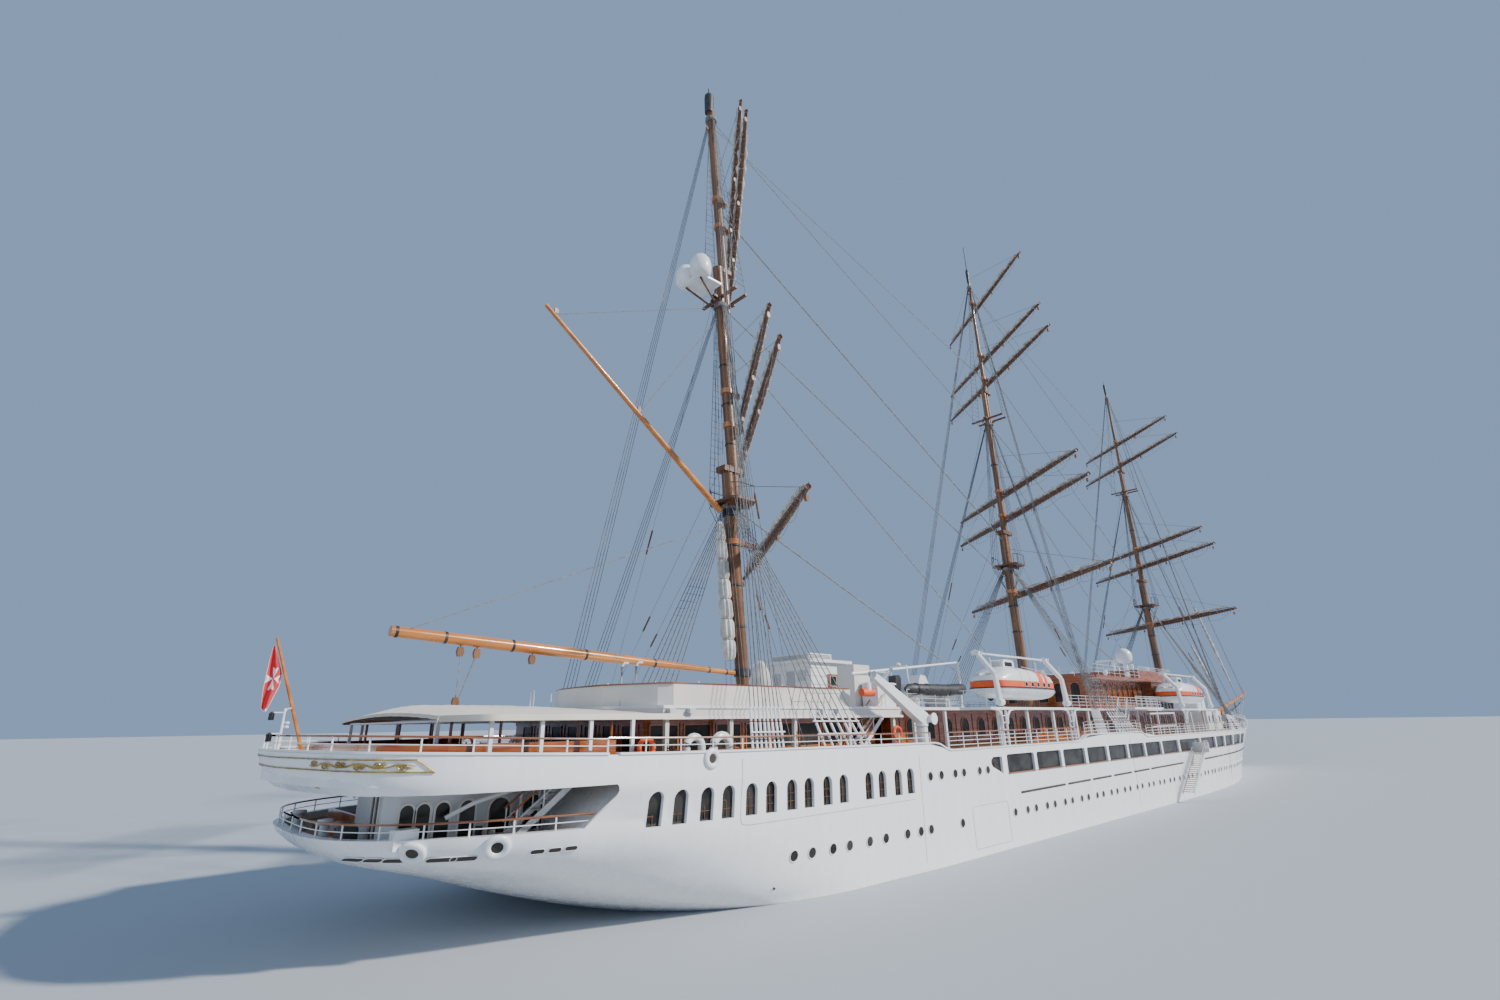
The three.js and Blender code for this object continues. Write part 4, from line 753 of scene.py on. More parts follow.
def build_deck():
    """Teak deck laid inside the bulwark, with a raised forecastle deck, margin boards and waterways."""
    deck = Piece("deck_planks", "teak", replaces=("deck",), slot="teak")
    margin = Piece("deck_waterway", "grey")

    def ring_at(x0, x1, z, inset):
        xs = [x0 + (x1 - x0) * k / 60 for k in range(61)]
        return [(x, max(half_at(x, max(z, 5.3)) - inset, 0.05)) for x in xs]

    for x0, x1, z in ((-57.9, FORE_DECK_X, DECK_Z), (FORE_DECK_X, 61.6, FORE_DECK_Z)):
        side = ring_at(x0, x1, z, 0.3)
        outline = [(x, -y) for x, y in side] + [(x, y) for x, y in reversed(side)]
        deck.loft([[(x, y, z - 0.06) for x, y in outline], [(x, y, z) for x, y in outline]])
        edge = ring_at(x0, x1, z, 0.2)
        for sign in SIDES:
            margin.sheet([[(x, sign * y, z - 0.005) for x, y in edge],
                          [(x, sign * y, z - 0.005) for x, y in side]])


def rail_run(posts, bars, top, line, spacing=1.5, height=0.55, mids=(0.2, 0.37), wood=True):
    """Stanchions and rails along a line of points that run along the rail's foot."""
    points = [Vector(p) for p in line]
    travelled = 0.0
    last = points[0]
    spots = [points[0]]
    for p in points[1:]:
        segment = (p - last).length
        while travelled + segment >= spacing:
            t = (spacing - travelled) / segment
            last = last.lerp(p, t)
            spots.append(last.copy())
            segment = (p - last).length
            travelled = 0.0
        travelled += segment
        last = p
    spots.append(points[-1])
    for p in spots:
        posts.bar(p, p + Vector((0, 0, height)), 0.028, sides=6)
    for mid in mids:
        bars.path([p + Vector((0, 0, mid)) for p in points], 0.017, 5)
    if wood:
        top.loft([[p + Vector((0, 0, height)) + v for v in
                   (Vector((0, 0, 0.035)), Vector((0.0, 0.05, 0.03)), Vector((0, 0.06, 0)),
                    Vector((0, 0.03, -0.03)),
                    Vector((0, -0.03, -0.03)), Vector((0, -0.06, 0)), Vector((0, -0.05, 0.03)))]
                  for p in points])
    else:
        top.path([p + Vector((0, 0, height)) for p in points], 0.024, 6)


def build_rails():
    """Rails on top of the bulwark and round the stern."""
    posts = Piece("rail_stanchions", "white")
    bars = Piece("rail_bars", "white")
    top = Piece("rail_top", "rail", slot="varnish")
    rail_run(posts, bars, top, stern_line(0.07, 0.1), spacing=1.45, height=0.42, mids=(0.2,))
    for sign in SIDES:
        for x0, x1 in ((-50.4, -31.2), (-29.4, -12.6), (-11.4, 0.0), (1.2, 44.8)):
            rail_run(posts, bars, top, side_line(x0, x1, 0.07, 0.1, sign=sign), spacing=1.5,
                     height=0.46 if x0 < -31 else 0.85, mids=(0.22,) if x0 < -31 else (0.2, 0.42, 0.63))
        rail_run(posts, bars, top, side_line(46.8, 60.5, 0.07, 0.12, sign=sign), spacing=1.5, wood=False)


def build_mooring_deck():
    """The open deck inside the stern: lip, floor, ceiling, house wall with windows and rails."""
    shell = Piece("mooring_lip", "white", weld=True)
    floor = Piece("mooring_floor", "teak")
    roof = Piece("mooring_ceiling", "cream")
    lip_out, lip_in = stern_ring(SLOT_LOW, 0.0), stern_ring(SLOT_LOW, 0.35)
    shell.sheet([lip_out, lip_in])
    shell.sheet([lip_in, [(x, y, MOORING_Z) for x, y, z in lip_in]])
    high_out, high_in = stern_ring(SLOT_HIGH, 0.0), stern_ring(SLOT_HIGH, 0.3)
    shell.sheet([high_out, high_in])
    floor.add([(x, y, 3.41) for x, y, z in lip_in], [tuple(range(len(lip_in)))])
    roof.add([(x, y, 5.025) for x, y, z in high_in], [tuple(range(len(high_in)))])
    for sign in SIDES:
        side = half_at(SLOT_END, SLOT_LOW)
        shell.add([(SLOT_END, sign * side, SLOT_LOW), (SLOT_END, sign * 4.6, SLOT_LOW),
                   (-49.5, sign * 4.6, SLOT_HIGH),
                   (-49.5, sign * half_at(-49.5, SLOT_HIGH), SLOT_HIGH)], [(0, 1, 2, 3)])
        shell.add([(SLOT_END, sign * side, SLOT_LOW), (SLOT_END, sign * 4.6, SLOT_LOW),
                   (SLOT_END, sign * 4.6, WALL_FOOT),
                   (SLOT_END, sign * (side - 0.35), WALL_FOOT)], [(0, 1, 2, 3)])
    walls = Piece("mooring_house_walls", "grey")
    outline = [(-49.6, -5.0), (-55.7, -5.0), (-56.1, -4.6), (-56.1, -1.8), (-53.6, 2.5), (-53.0, 5.0),
               (-49.6, 5.0)]
    walls.sheet([[(x, y, z) for x, y in outline] for z in (WALL_FOOT, 5.03)])
    glass = Piece("mooring_windows", "glass")
    trim = Piece("mooring_window_frames", "cream")
    for sign in SIDES:
        for x, wide in ((-55.5, 0.2), (-55.0, 0.2), (-54.4, 0.22), (-53.6, 0.25), (-52.5, 0.36),
                        (-51.3, 0.36)):
            if sign > 0 and x < -52.7:
                continue
            outline = arch_outline(x, wide, 3.5, 4.6)
            glass.add([(u, sign * 5.02, v) for u, v in outline], [tuple(range(len(outline)))])
            wider = arch_outline(x, wide + 0.07, 3.45, 4.67)
            trim.sheet([[(u, sign * 5.035, v) for u, v in outline], [(u, sign * 5.035, v) for u, v in wider],
                        [(u, sign * 5.0, v) for u, v in wider]], closed=True)
    door = [(-56.12, -4.35, 3.45), (-56.12, -3.62, 3.45), (-56.12, -3.62, 4.92), (-56.12, -4.35, 4.92)]
    glass.add(door, [(0, 1, 2, 3)])
    for y in (-4.38, -3.98, -3.6):
        trim.box(-56.16, -56.1, y - 0.03, y + 0.03, MOORING_Z, 4.95)
    posts = Piece("mooring_rail_posts", "white")
    top = Piece("mooring_rail_top", "rail")
    rail_run(posts, posts, top, stern_ring(SLOT_LOW, 0.16), spacing=1.3, height=0.42, mids=(0.21,))


def hull_spot(x, z, sign, out=0.0):
    """A point on the hull side pushed out along its normal, and that normal."""
    slope = (half_at(x + 0.12, z) - half_at(x - 0.12, z)) / 0.24
    tilt = (half_at(x, z + 0.12) - half_at(x, z - 0.12)) / 0.24
    normal = Vector((-slope, sign, -tilt)).normalized()
    return Vector((x, sign * half_at(x, z), z)) + normal * out, normal


def stern_arc():
    """Lengths along the stern at band height against f."""
    fs = [k / 300 for k in range(280)] + [0.93333 + 0.06667 * (1 - (1 - k / 60) ** 2) for k in range(61)]
    fs += [1.25, 1.5, 1.75, 2.0]
    total, table = 0.0, [(0.0, 0.0)]
    last = stern_spot(0, 5.6, -1)
    for f in fs[1:]:
        now = stern_spot(f, 5.6, -1)
        total += (now - last).length
        table.append((total, f))
        last = now
    return table


ARC = stern_arc()


def arc_f(length):
    """The way round the stern at a length along it."""
    for (l0, f0), (l1, f1) in zip(ARC, ARC[1:]):
        if length <= l1:
            return f0 + (f1 - f0) * (length - l0) / max(l1 - l0, 1e-9)
    return 2.0


def build_stern_band():
    """Raised gilt outline and scrollwork round the counter."""
    gilt = Piece("stern_gilding", "gold")
    start = next(length for length, f in ARC if stern_spot(f, 5.6, -1).x < -55.6)
    end = ARC[-1][0]

    def at(s, z, sign, out):
        return stern_spot(arc_f(s), z, sign, out)

    def lift(s):
        return 0.09 * min((s - start) / 3.5, 1.0)

    for sign in SIDES:
        upper = [start + 0.45 + (end - start - 0.45) * k / 60 for k in range(61)]
        lower = [start + (end - start) * k / 60 for k in range(61)]
        gilt.path([at(s, 6.01 + 0.6 * lift(s), sign, 0.02) for s in upper], 0.022, 6)
        gilt.path([at(s, 5.66 + lift(s), sign, 0.02) for s in lower], 0.022, 6)
        gilt.path([at(start + 0.45 * (1 - t), 6.01 - 0.35 * t, sign, 0.02)
                   for t in (0, 0.25, 0.5, 0.75, 1)], 0.022, 6)
        first, last, waves = start + 0.5, start + 4.3, 6
        stem = []
        for k in range(90):
            t = k / 89
            s = first + (last - first) * t
            stem.append(at(s, 5.83 + lift(s) * 0.8 + 0.05 * math.sin(waves * math.pi * t), sign, 0.03))
        gilt.path(stem, 0.02, 6, [0.01 + 0.018 * math.sin(math.pi * min(1, k / 89 + 0.05))
                                  for k in range(90)])
        for w in range(waves):
            t = (w + 0.5) / waves
            side = -1 if w % 2 else 1
            cs = first + (last - first) * t
            cz = 5.83 + lift(cs) * 0.8 - side * 0.02
            for turn, size in ((1, 0.1), (-1, 0.075)):
                curl = []
                for k in range(22):
                    a = k / 21 * 2.2 * math.pi
                    r = size * (1 - k / 26)
                    curl.append(at(cs + turn * (0.16 + r * math.cos(a) - size),
                                   cz - side * r * math.sin(a) * 0.9, sign, 0.035))
                gilt.path(curl, 0.02, 5, [0.026 - 0.0007 * k for k in range(22)])
            for leaf in range(3):
                tip = at(cs + 0.2 + 0.06 * leaf, cz + side * (0.1 - 0.02 * leaf), sign, 0.04)
                gilt.path([at(cs + 0.07 * leaf - 0.06, cz + side * 0.02, sign, 0.03), tip], 0.02, 5,
                          [0.03, 0.006])


# x, z and length of a freeing slot; ends of the long dark slots, drawn as bars of painted shade; x, z and
# size of a fairlead
SLOTS = [(-54.65, 3.09, 0.75), (-54.1, 3.09, 0.7), (-52.12, 3.13, 0.42), (-51.6, 3.13, 0.4),
         (-51.1, 3.14, 0.4), (-56.6, 3.12, 0.4), (-56.2, 3.12, 0.4), (-55.75, 3.11, 0.5)]
STRAKE_SLOTS = [(-22.2, -16.1), (-15.6, -12.0), (-11.5, -8.2), (-7.6, -4.1), (-3.5, -0.1), (0.4, 8.8),
                (15.6, 23.0), (23.5, 30.0), (30.5, 37.0), (37.5, 44.0)]
FAIRLEADS = [(-55.45, 3.36, 0.4), (-53.34, 3.38, 0.4), (-46.05, 5.66, 0.36)]


def build_hull_fittings():
    """Freeing slots, fairleads and long slots with painted shade in their openings, plate seams, the dark
    line below the decks and a side door.
    """
    # flat near-black patches that paint the shade inside the freeing slots, fairlead holes, an outlet and the
    # long slots
    dark = Piece("opening_painted_shade", "dark")
    rings = Piece("fairlead_rings", "white")
    lines = Piece("hull_seams", "seam")
    for sign in SIDES:
        for x, z, length in SLOTS:
            rim = []
            for cx, start in ((x + length / 2 - 0.075, -90), (x - length / 2 + 0.075, 90)):
                for a in (math.radians(start + 180 * k / 6) for k in range(7)):
                    rim.append(hull_spot(cx + 0.075 * math.cos(a), z + 0.075 * math.sin(a), sign, 0.012)[0])
            # a dark oval of painted shade over the slot's opening
            dark.add(rim, [tuple(range(len(rim)))])
            rings.path(rim + [rim[0]], 0.014, 4)
        for x, z, r in FAIRLEADS:
            at, normal = hull_spot(x, z, sign, 0.03)
            rings.hoop(at, r * 0.74, r * 0.3, normal, sides=28, section=12, squash=0.75)
            # a disc of painted shade in the fairlead's hole, and a small one for an outlet
            dark.disc(at + normal * 0.02, r * 0.5, normal, sides=20)
        dark.disc(hull_spot(-42.25, 0.7, sign, 0.012)[0], 0.07, (0, sign, -0.1), sides=10)
        seam = [(-44.5, 5.6 - 0.2 * k) for k in range(12)] + [(-44.4, 3.24), (-44.1, 3.19)]
        seam += [(-43.6 + 0.75 * k, 3.19 + 0.004 * k) for k in range(15)]
        lines.path([hull_spot(x, z, sign, 0.004)[0] for x, z in seam], 0.012, 4)
        for x in (-32.5, -3.2, 26.0, 44.0):
            lines.path([hull_spot(x, 5.3 - 0.35 * k, sign, 0.004)[0] for k in range(15)], 0.01, 4)
        lines.path([hull_spot(-52.2, 4.9 - 0.02 * k, sign, 0.004)[0] for k in range(2)], 0.01, 4)
        for x0, x1 in STRAKE_SLOTS:
            xs = [x0 + (x1 - x0) * k / 16 for k in range(17)]
            # long dark bars of painted shade along the slots
            dark.path([hull_spot(x, 2.78 + 0.0062 * (x + 22), sign)[0] for x in xs], 0.065, 5)
        door = round_outline(-27.9, -24.0, 0.4, 2.46, 0.18)
        lines.path([hull_spot(u, v, sign, 0.005)[0] for u, v in door + [door[0]]], 0.013, 4)


def stern_ring(z, inset):
    """Points round the stern at one height, from starboard round to port."""
    side = []
    end = stern_end(z)
    for f in (0, 0.12, 0.24, 0.36, 0.47, 0.57, 0.66, 0.74, 0.81, 0.87, 0.915, 0.95, 0.975, 0.99, 0.998):
        x = STERN_FROM + f * (end - STERN_FROM)
        y = half_at(x, z)
        side.append((x, y))
    slope_in = []
    for k, (x, y) in enumerate(side):
        a, b = side[max(k - 1, 0)], side[min(k + 1, len(side) - 1)]
        tangent = Vector((b[0] - a[0], b[1] - a[1], 0)).normalized()
        inward = Vector((-tangent.y, tangent.x, 0))
        if inward.y > 0:
            inward = -inward
        slope_in.append((x + inward.x * inset, max(y + inward.y * inset, 0.0), z))
    return [(x, -y, zz) for x, y, zz in slope_in] + [(x, y, zz) for x, y, zz in reversed(slope_in)]


# Masts and yards
RAKE_FROM = 5.2         # height from which a mast's rake is counted
# x at the foot, rake, then heights of the top, cap, trees, second cap, truck and pole
MASTS = {
    "mizzen": dict(x=-36.2, rake=0.09, top=19.6, cap=21.9, trees=33.8, cap2=36.2, truck=50.9, pole=51.6,
                   radii=((0.42, 0.38), (0.37, 0.34), (0.33, 0.28))),
    "main": dict(x=-1.4, rake=0.03, top=20.8, cap=24.3, trees=36.3, cap2=39.6, truck=54.6, pole=57.7,
                 radii=((0.44, 0.37), (0.31, 0.22), (0.2, 0.1))),
    "fore": dict(x=36.6, rake=0.0, top=20.9, cap=24.5, trees=37.1, cap2=40.4, truck=54.2, pole=54.9,
                 radii=((0.44, 0.37), (0.31, 0.22), (0.2, 0.1))),
}
# mast, name, height, half length, radius, reach in front of the mast's axis, degrees braced round
YARDS = [
    ("mizzen", "course", 17.2, 10.4, 0.25, 2.2, 34.5),
("mizzen", "lower_topsail", 24.8, 10.6, 0.23, 1.45, 36.0),
    ("mizzen", "upper_topsail", 27.1, 9.7, 0.22, 1.35, 36.5),
    ("mizzen", "lower_topgallant", 39.65, 9.5, 0.19, 1.15, 38.5),
    ("mizzen", "upper_topgallant", 41.85, 8.1, 0.18, 1.1, 38.5),
("main", "course", 18.4, 12.6, 0.28, 1.85, 36.5), ("main", "lower_topsail", 26.0, 12.0, 0.25, 1.3, 35.0),
("main", "upper_topsail", 28.5, 11.0, 0.24, 1.28, 34.5),
    ("main", "lower_topgallant", 41.2, 10.4, 0.2, 1.17, 34.5),
    ("main", "upper_topgallant", 44.0, 9.6, 0.19, 1.17, 34.5), ("main", "royal", 50.4, 8.6, 0.17, 1.1, 36.5),
    ("fore", "course", 18.6, 12.5, 0.28, 1.85, 38.0), ("fore", "lower_topsail", 26.5, 12.2, 0.25, 1.3, 38.0),
    ("fore", "upper_topsail", 28.9, 10.8, 0.24, 1.28, 38.0),
    ("fore", "lower_topgallant", 41.8, 10.4, 0.2, 1.17, 38.0),
    ("fore", "upper_topgallant", 45.0, 8.8, 0.19, 1.17, 35.5), ]
STEP1, STEP2 = 0.5, 0.5
BOOM_X, GAFF_X = -37.25, -38.25
BOOM_HEEL, BOOM_END = Vector((BOOM_X, 0, 9.6)), Vector((-55.4, 0, 10.55))
GAFF_THROAT, GAFF_PEAK = Vector((GAFF_X, 0, 19.0)), Vector((-50.3, 0, 27.9))


def mast_x(mast, z, step=0.0):
    return mast["x"] - mast["rake"] * (z - RAKE_FROM) + step


def mast_step(mast, z):
    if z > mast["cap2"]:
        return STEP1 + STEP2
    return STEP1 if z > mast["cap"] else 0.0


def mast_radius(mast, z):
    if z > mast["cap2"]:
        return mast["radii"][2][0]
    return mast["radii"][1][0] if z > mast["cap"] else mast["radii"][0][0]


def build_mast(name):
    """A mast in three parts with its bands, tops, caps and a truss for each yard."""
    mast = MASTS[name]
    wood = Piece(name + "_mast_wood", "mast", replaces=(name + "_mast",), slot="spar_paint")
    iron = Piece(name + "_mast_iron", "black")
    tops = Piece(name + "_mast_tops", "yard")
    trusses = Piece(name + "_mast_trusses", "spar")

    def spar(z0, z1, radii, step, sides=20):
        zs = [z0 + (z1 - z0) * k / 8 for k in range(9)]
        wood.path([(mast_x(mast, z, step), 0, z) for z in zs], radii[0], sides,
                  [radii[0] + (radii[1] - radii[0]) * (k / 8) ** 1.5 for k in range(9)])

    spar(5.28, mast["cap"] + 0.05, mast["radii"][0], 0)
    spar(mast["top"] + 0.05, mast["cap2"], mast["radii"][1], STEP1)
    spar(mast["trees"] - 0.3, mast["truck"], mast["radii"][2], STEP1 + STEP2, 16)
    head = mast["radii"][2][1]
    iron.bar((mast_x(mast, mast["truck"], STEP1 + STEP2), 0, mast["truck"] - 0.2),
             (mast_x(mast, mast["pole"], STEP1 + STEP2), 0, mast["pole"]), 0.05, 0.03)
    iron.lathe((mast_x(mast, mast["truck"], STEP1 + STEP2), 0, mast["truck"] - 1.0),
               [(head + 0.03, -0.6), (head + 0.05, 0), (head + 0.07, 0.7), (head + 0.05, 0.98),
                (head * 0.5, 1.12)],
               sides=16)
    for z in [7.4 + 2.4 * k for k in range(5)]:
        r = mast["radii"][0][0]
        iron.lathe((mast_x(mast, z), 0, z), [(r, -0.06), (r + 0.03, -0.05), (r + 0.03, 0.05), (r, 0.06)],
                   sides=20)
    for z in [mast["cap"] + 1.6 + 2.7 * k for k in range(3)]:
        r = mast["radii"][1][0]
        iron.lathe((mast_x(mast, z, STEP1), 0, z), [(r, -0.05), (r + 0.03, -0.04), (r + 0.03, 0.04),
                                                    (r, 0.05)],
                   sides=16)
    x = mast_x(mast, mast["top"])
    z = mast["top"]
    outline = [(x - 0.75, -1.0), (x - 0.45, -1.3), (x + 0.9, -1.35), (x + 1.35, -0.7), (x + 1.35, 0.7),
               (x + 0.9, 1.35), (x - 0.45, 1.3), (x - 0.75, 1.0)]
    tops.prism(outline, "z", z, z + 0.16)
    for sign in SIDES:
        tops.box(x - 0.6, x + 1.2, sign * 0.5 - 0.08, sign * 0.5 + 0.08, z - 0.22, z)
        iron.path([(x - 0.7, sign * 1.0, z + 1.0), (x - 0.4, sign * 1.28, z + 1.0),
                   (x + 0.85, sign * 1.3, z + 1.0)],
                  0.03, 5)
        for px, py in ((x - 0.7, 1.0), (x - 0.4, 1.28), (x + 0.85, 1.3)):
            iron.bar((px, sign * py, z + 0.16), (px, sign * py, z + 1.0), 0.025, sides=5)
    zc = mast["cap"]
    xc = mast_x(mast, zc)
    tops.prism([(xc - 0.55, -0.4), (xc + 1.0, -0.5), (xc + 1.2, -0.3), (xc + 1.2, 0.3), (xc + 1.0, 0.5),
                (xc - 0.55, 0.4)], "z", zc - 0.35, zc)
    zt = mast["trees"]
    xt = mast_x(mast, zt)
    tops.box(xt - 0.1, xt + 1.75, -0.16, 0.16, zt, zt + 0.16)
    tops.box(xt + 0.35, xt + 0.55, -1.7, 1.7, zt + 0.02, zt + 0.16)
    tops.box(xt + 1.42, xt + 1.6, -1.5, 1.5, zt + 0.02, zt + 0.16)
    x2 = mast_x(mast, mast["cap2"])
    tops.prism([(x2 + 0.35, -0.3), (x2 + 1.45, -0.34), (x2 + 1.6, -0.2), (x2 + 1.6, 0.2), (x2 + 1.45, 0.34),
                (x2 + 0.35, 0.3)], "z", mast["cap2"] - 0.28, mast["cap2"])
    for mast_name, _, yz, _, _, reach, _ in YARDS:
        if mast_name != name:
            continue
        x = mast_x(mast, yz, mast_step(mast, yz))
        radius = mast_radius(mast, yz)
        trusses.lathe((x, 0, yz), [(radius + 0.02, -0.17), (radius + 0.07, -0.15), (radius + 0.07, 0.15),
                                   (radius + 0.02, 0.17)], sides=18)
        tip = x + reach - 0.4
        for lift in (-0.12, 0.12):
            trusses.bar((x + radius, 0.0, yz + lift), (tip, 0, yz + lift * 0.5), 0.07, sides=6)
            trusses.bar((x + radius * 0.6, lift * 2.6, yz - 0.02), (tip, 0, yz - 0.02), 0.055, sides=6)
        trusses.lathe((tip - 0.02, 0, yz), [(0.05, -0.22), (0.13, -0.2), (0.13, 0.2), (0.05, 0.22)], sides=10)
    if name == "mizzen":
        for z, back in ((9.6, 0.46), (19.0, 0.55)):
            iron.box(mast_x(mast, z) - back, mast_x(mast, z), -0.1, 0.1, z - 0.12, z + 0.12)
            iron.lathe((mast_x(mast, z), 0, z), [(0.44, -0.2), (0.49, -0.18), (0.49, 0.18), (0.44, 0.2)],
                       sides=20)


def yard_frame(mast_name, name, z, forward, brace):
    """A yard's node, its axis on the mast, how far it is braced round, and a rule for points beside it."""
    mast = MASTS[mast_name]
    axis = Vector((mast_x(mast, z, mast_step(mast, z)), 0, z))
    turn = Matrix.Rotation(-math.radians(brace), 3, "Z")

    def at(x, y, zz):
        return axis + turn @ Vector((forward + x, y, zz))
    return "%s_%s_yard" % (mast_name, name), axis, turn, at


def build_yard(mast_name, name, z, half, radius, forward, brace):
    """A yard's spar with its jackstay and reef points, the sail furled on it and its gaskets."""
    node, _, _, at = yard_frame(mast_name, name, z, forward, brace)
    rng = random.Random(node)

    def thick(y):
        return radius * (1 - 0.55 * (y / half) ** 2)

    spar = Piece(node + "_spar", "yard", node, replaces=(node,), slot="spar_paint")
    ys = [-half + 2 * half * k / 24 for k in range(25)]
    spar.path([at(0, y, 0) for y in ys], radius, 12, [thick(y) for y in ys])
    stay = Piece(node + "_jackstay", "black", node)
    stay.path([at(0.04, y, thick(y) + 0.09) for y in ys], 0.022, 4)
    for y in ys[1:-1:2]:
        r = thick(y)
        stay.bar(at(0.02, y, r * 0.7), at(0.04, y, r + 0.11), 0.02, sides=4)
    for k in range(int(half * 2 / 0.42)):
        y = -half * 0.95 + k * 0.42
        if abs(y) > half * 0.95:
            continue
        r = thick(y)
        drop = 0.2 + 0.28 * rng.random()
        lean = 0.1 * (rng.random() - 0.5)
        stay.bar(at(-r * 0.9, y, -0.05), at(-r * 1.0, y + lean, -r - drop), 0.016, sides=3)
    sail = Piece(node + "_furled_sail", "canvas", node, sharp=80)
    count = 56
    rings = []
    for k in range(count + 1):
        t = k / count
        y = (-0.93 + 1.86 * t) * half
        edge = min(1.0, 6 * t, 6 * (1 - t)) ** 0.6
        swell = 0.78 + 0.3 * noise.noise(Vector((y * 0.9, z, 1.7))) + 0.16 * math.sin(y * 5.1 + z)
        pinch = 1 - 0.32 * max(0.0, math.cos(y * 2 * math.pi / 1.1)) ** 8
        r = 0.27 * edge * swell * pinch + 0.03
        ring = []
        for m in range(10):
            a = 2 * math.pi * m / 10
            lump = 1 + 0.16 * noise.noise(Vector((y * 2.3, math.cos(a) * 1.2 + z, math.sin(a) * 1.2)))
            ring.append(at(0.02 + 1.15 * r * lump * math.cos(a), y,
                           radius * 0.9 + 0.14 + r * 0.72 * lump * math.sin(a)))
        rings.append(ring)
    sail.loft(rings)
    ties = Piece(node + "_gaskets", "manila", node)
    for k in range(int(half * 1.86 / 1.1) + 1):
        y = round(-0.93 * half / 1.1) * 1.1 + k * 1.1
        if abs(y) > half * 0.92:
            continue
        r = thick(y)
        top = radius * 0.9 + 0.14 + 0.17
        loop = [at(0.02 + 0.26 * math.cos(a), y, (top - r) / 2 + (top + r) / 2 * math.sin(a))
                for a in (2 * math.pi * m / 10 for m in range(11))]
        ties.path(loop, 0.022, 4)


def build_spars():
    """All masts and yards, and the spanker's boom and gaff."""
    for name in MASTS:
        build_mast(name)
    for row in YARDS:
        build_yard(*row)
    boom = Piece("boom_spar", "boom", "spanker_boom", replaces=("spanker_boom",), slot="spar_paint")
    a, b = BOOM_HEEL, BOOM_END
    count = 16
    boom.path([a.lerp(b, k / count) for k in range(count + 1)], 0.24, 16,
              [0.14 + 0.11 * math.sin(math.pi * min(1.0, 0.25 + 0.8 * (1 - k / count)))
               for k in range(count + 1)])
    bands = Piece("boom_bands", "black", "spanker_boom")
    for t in (0.03, 0.1, 0.3, 0.52, 0.72, 0.88, 0.985):
        r = 0.14 + 0.11 * math.sin(math.pi * min(1.0, 0.25 + 0.8 * (1 - t))) + 0.012
        bands.bar(a.lerp(b, t), a.lerp(b, t + 0.006), r, sides=16)
    gaff = Piece("gaff_spar", "boom", "spanker_gaff", replaces=("spanker_gaff",), slot="spar_paint")
    a, b = GAFF_THROAT, GAFF_PEAK
    gaff.path([a.lerp(b, k / count) for k in range(count + 1)], 0.2, 14,
              [0.2 - 0.09 * (k / count) for k in range(count + 1)])


# Standing rigging
# first and last shroud's foot, from the mast
FEET = {"mizzen": (-0.1, -3.3), "main": (0.2, -3.3), "fore": (0.2, -3.3)}


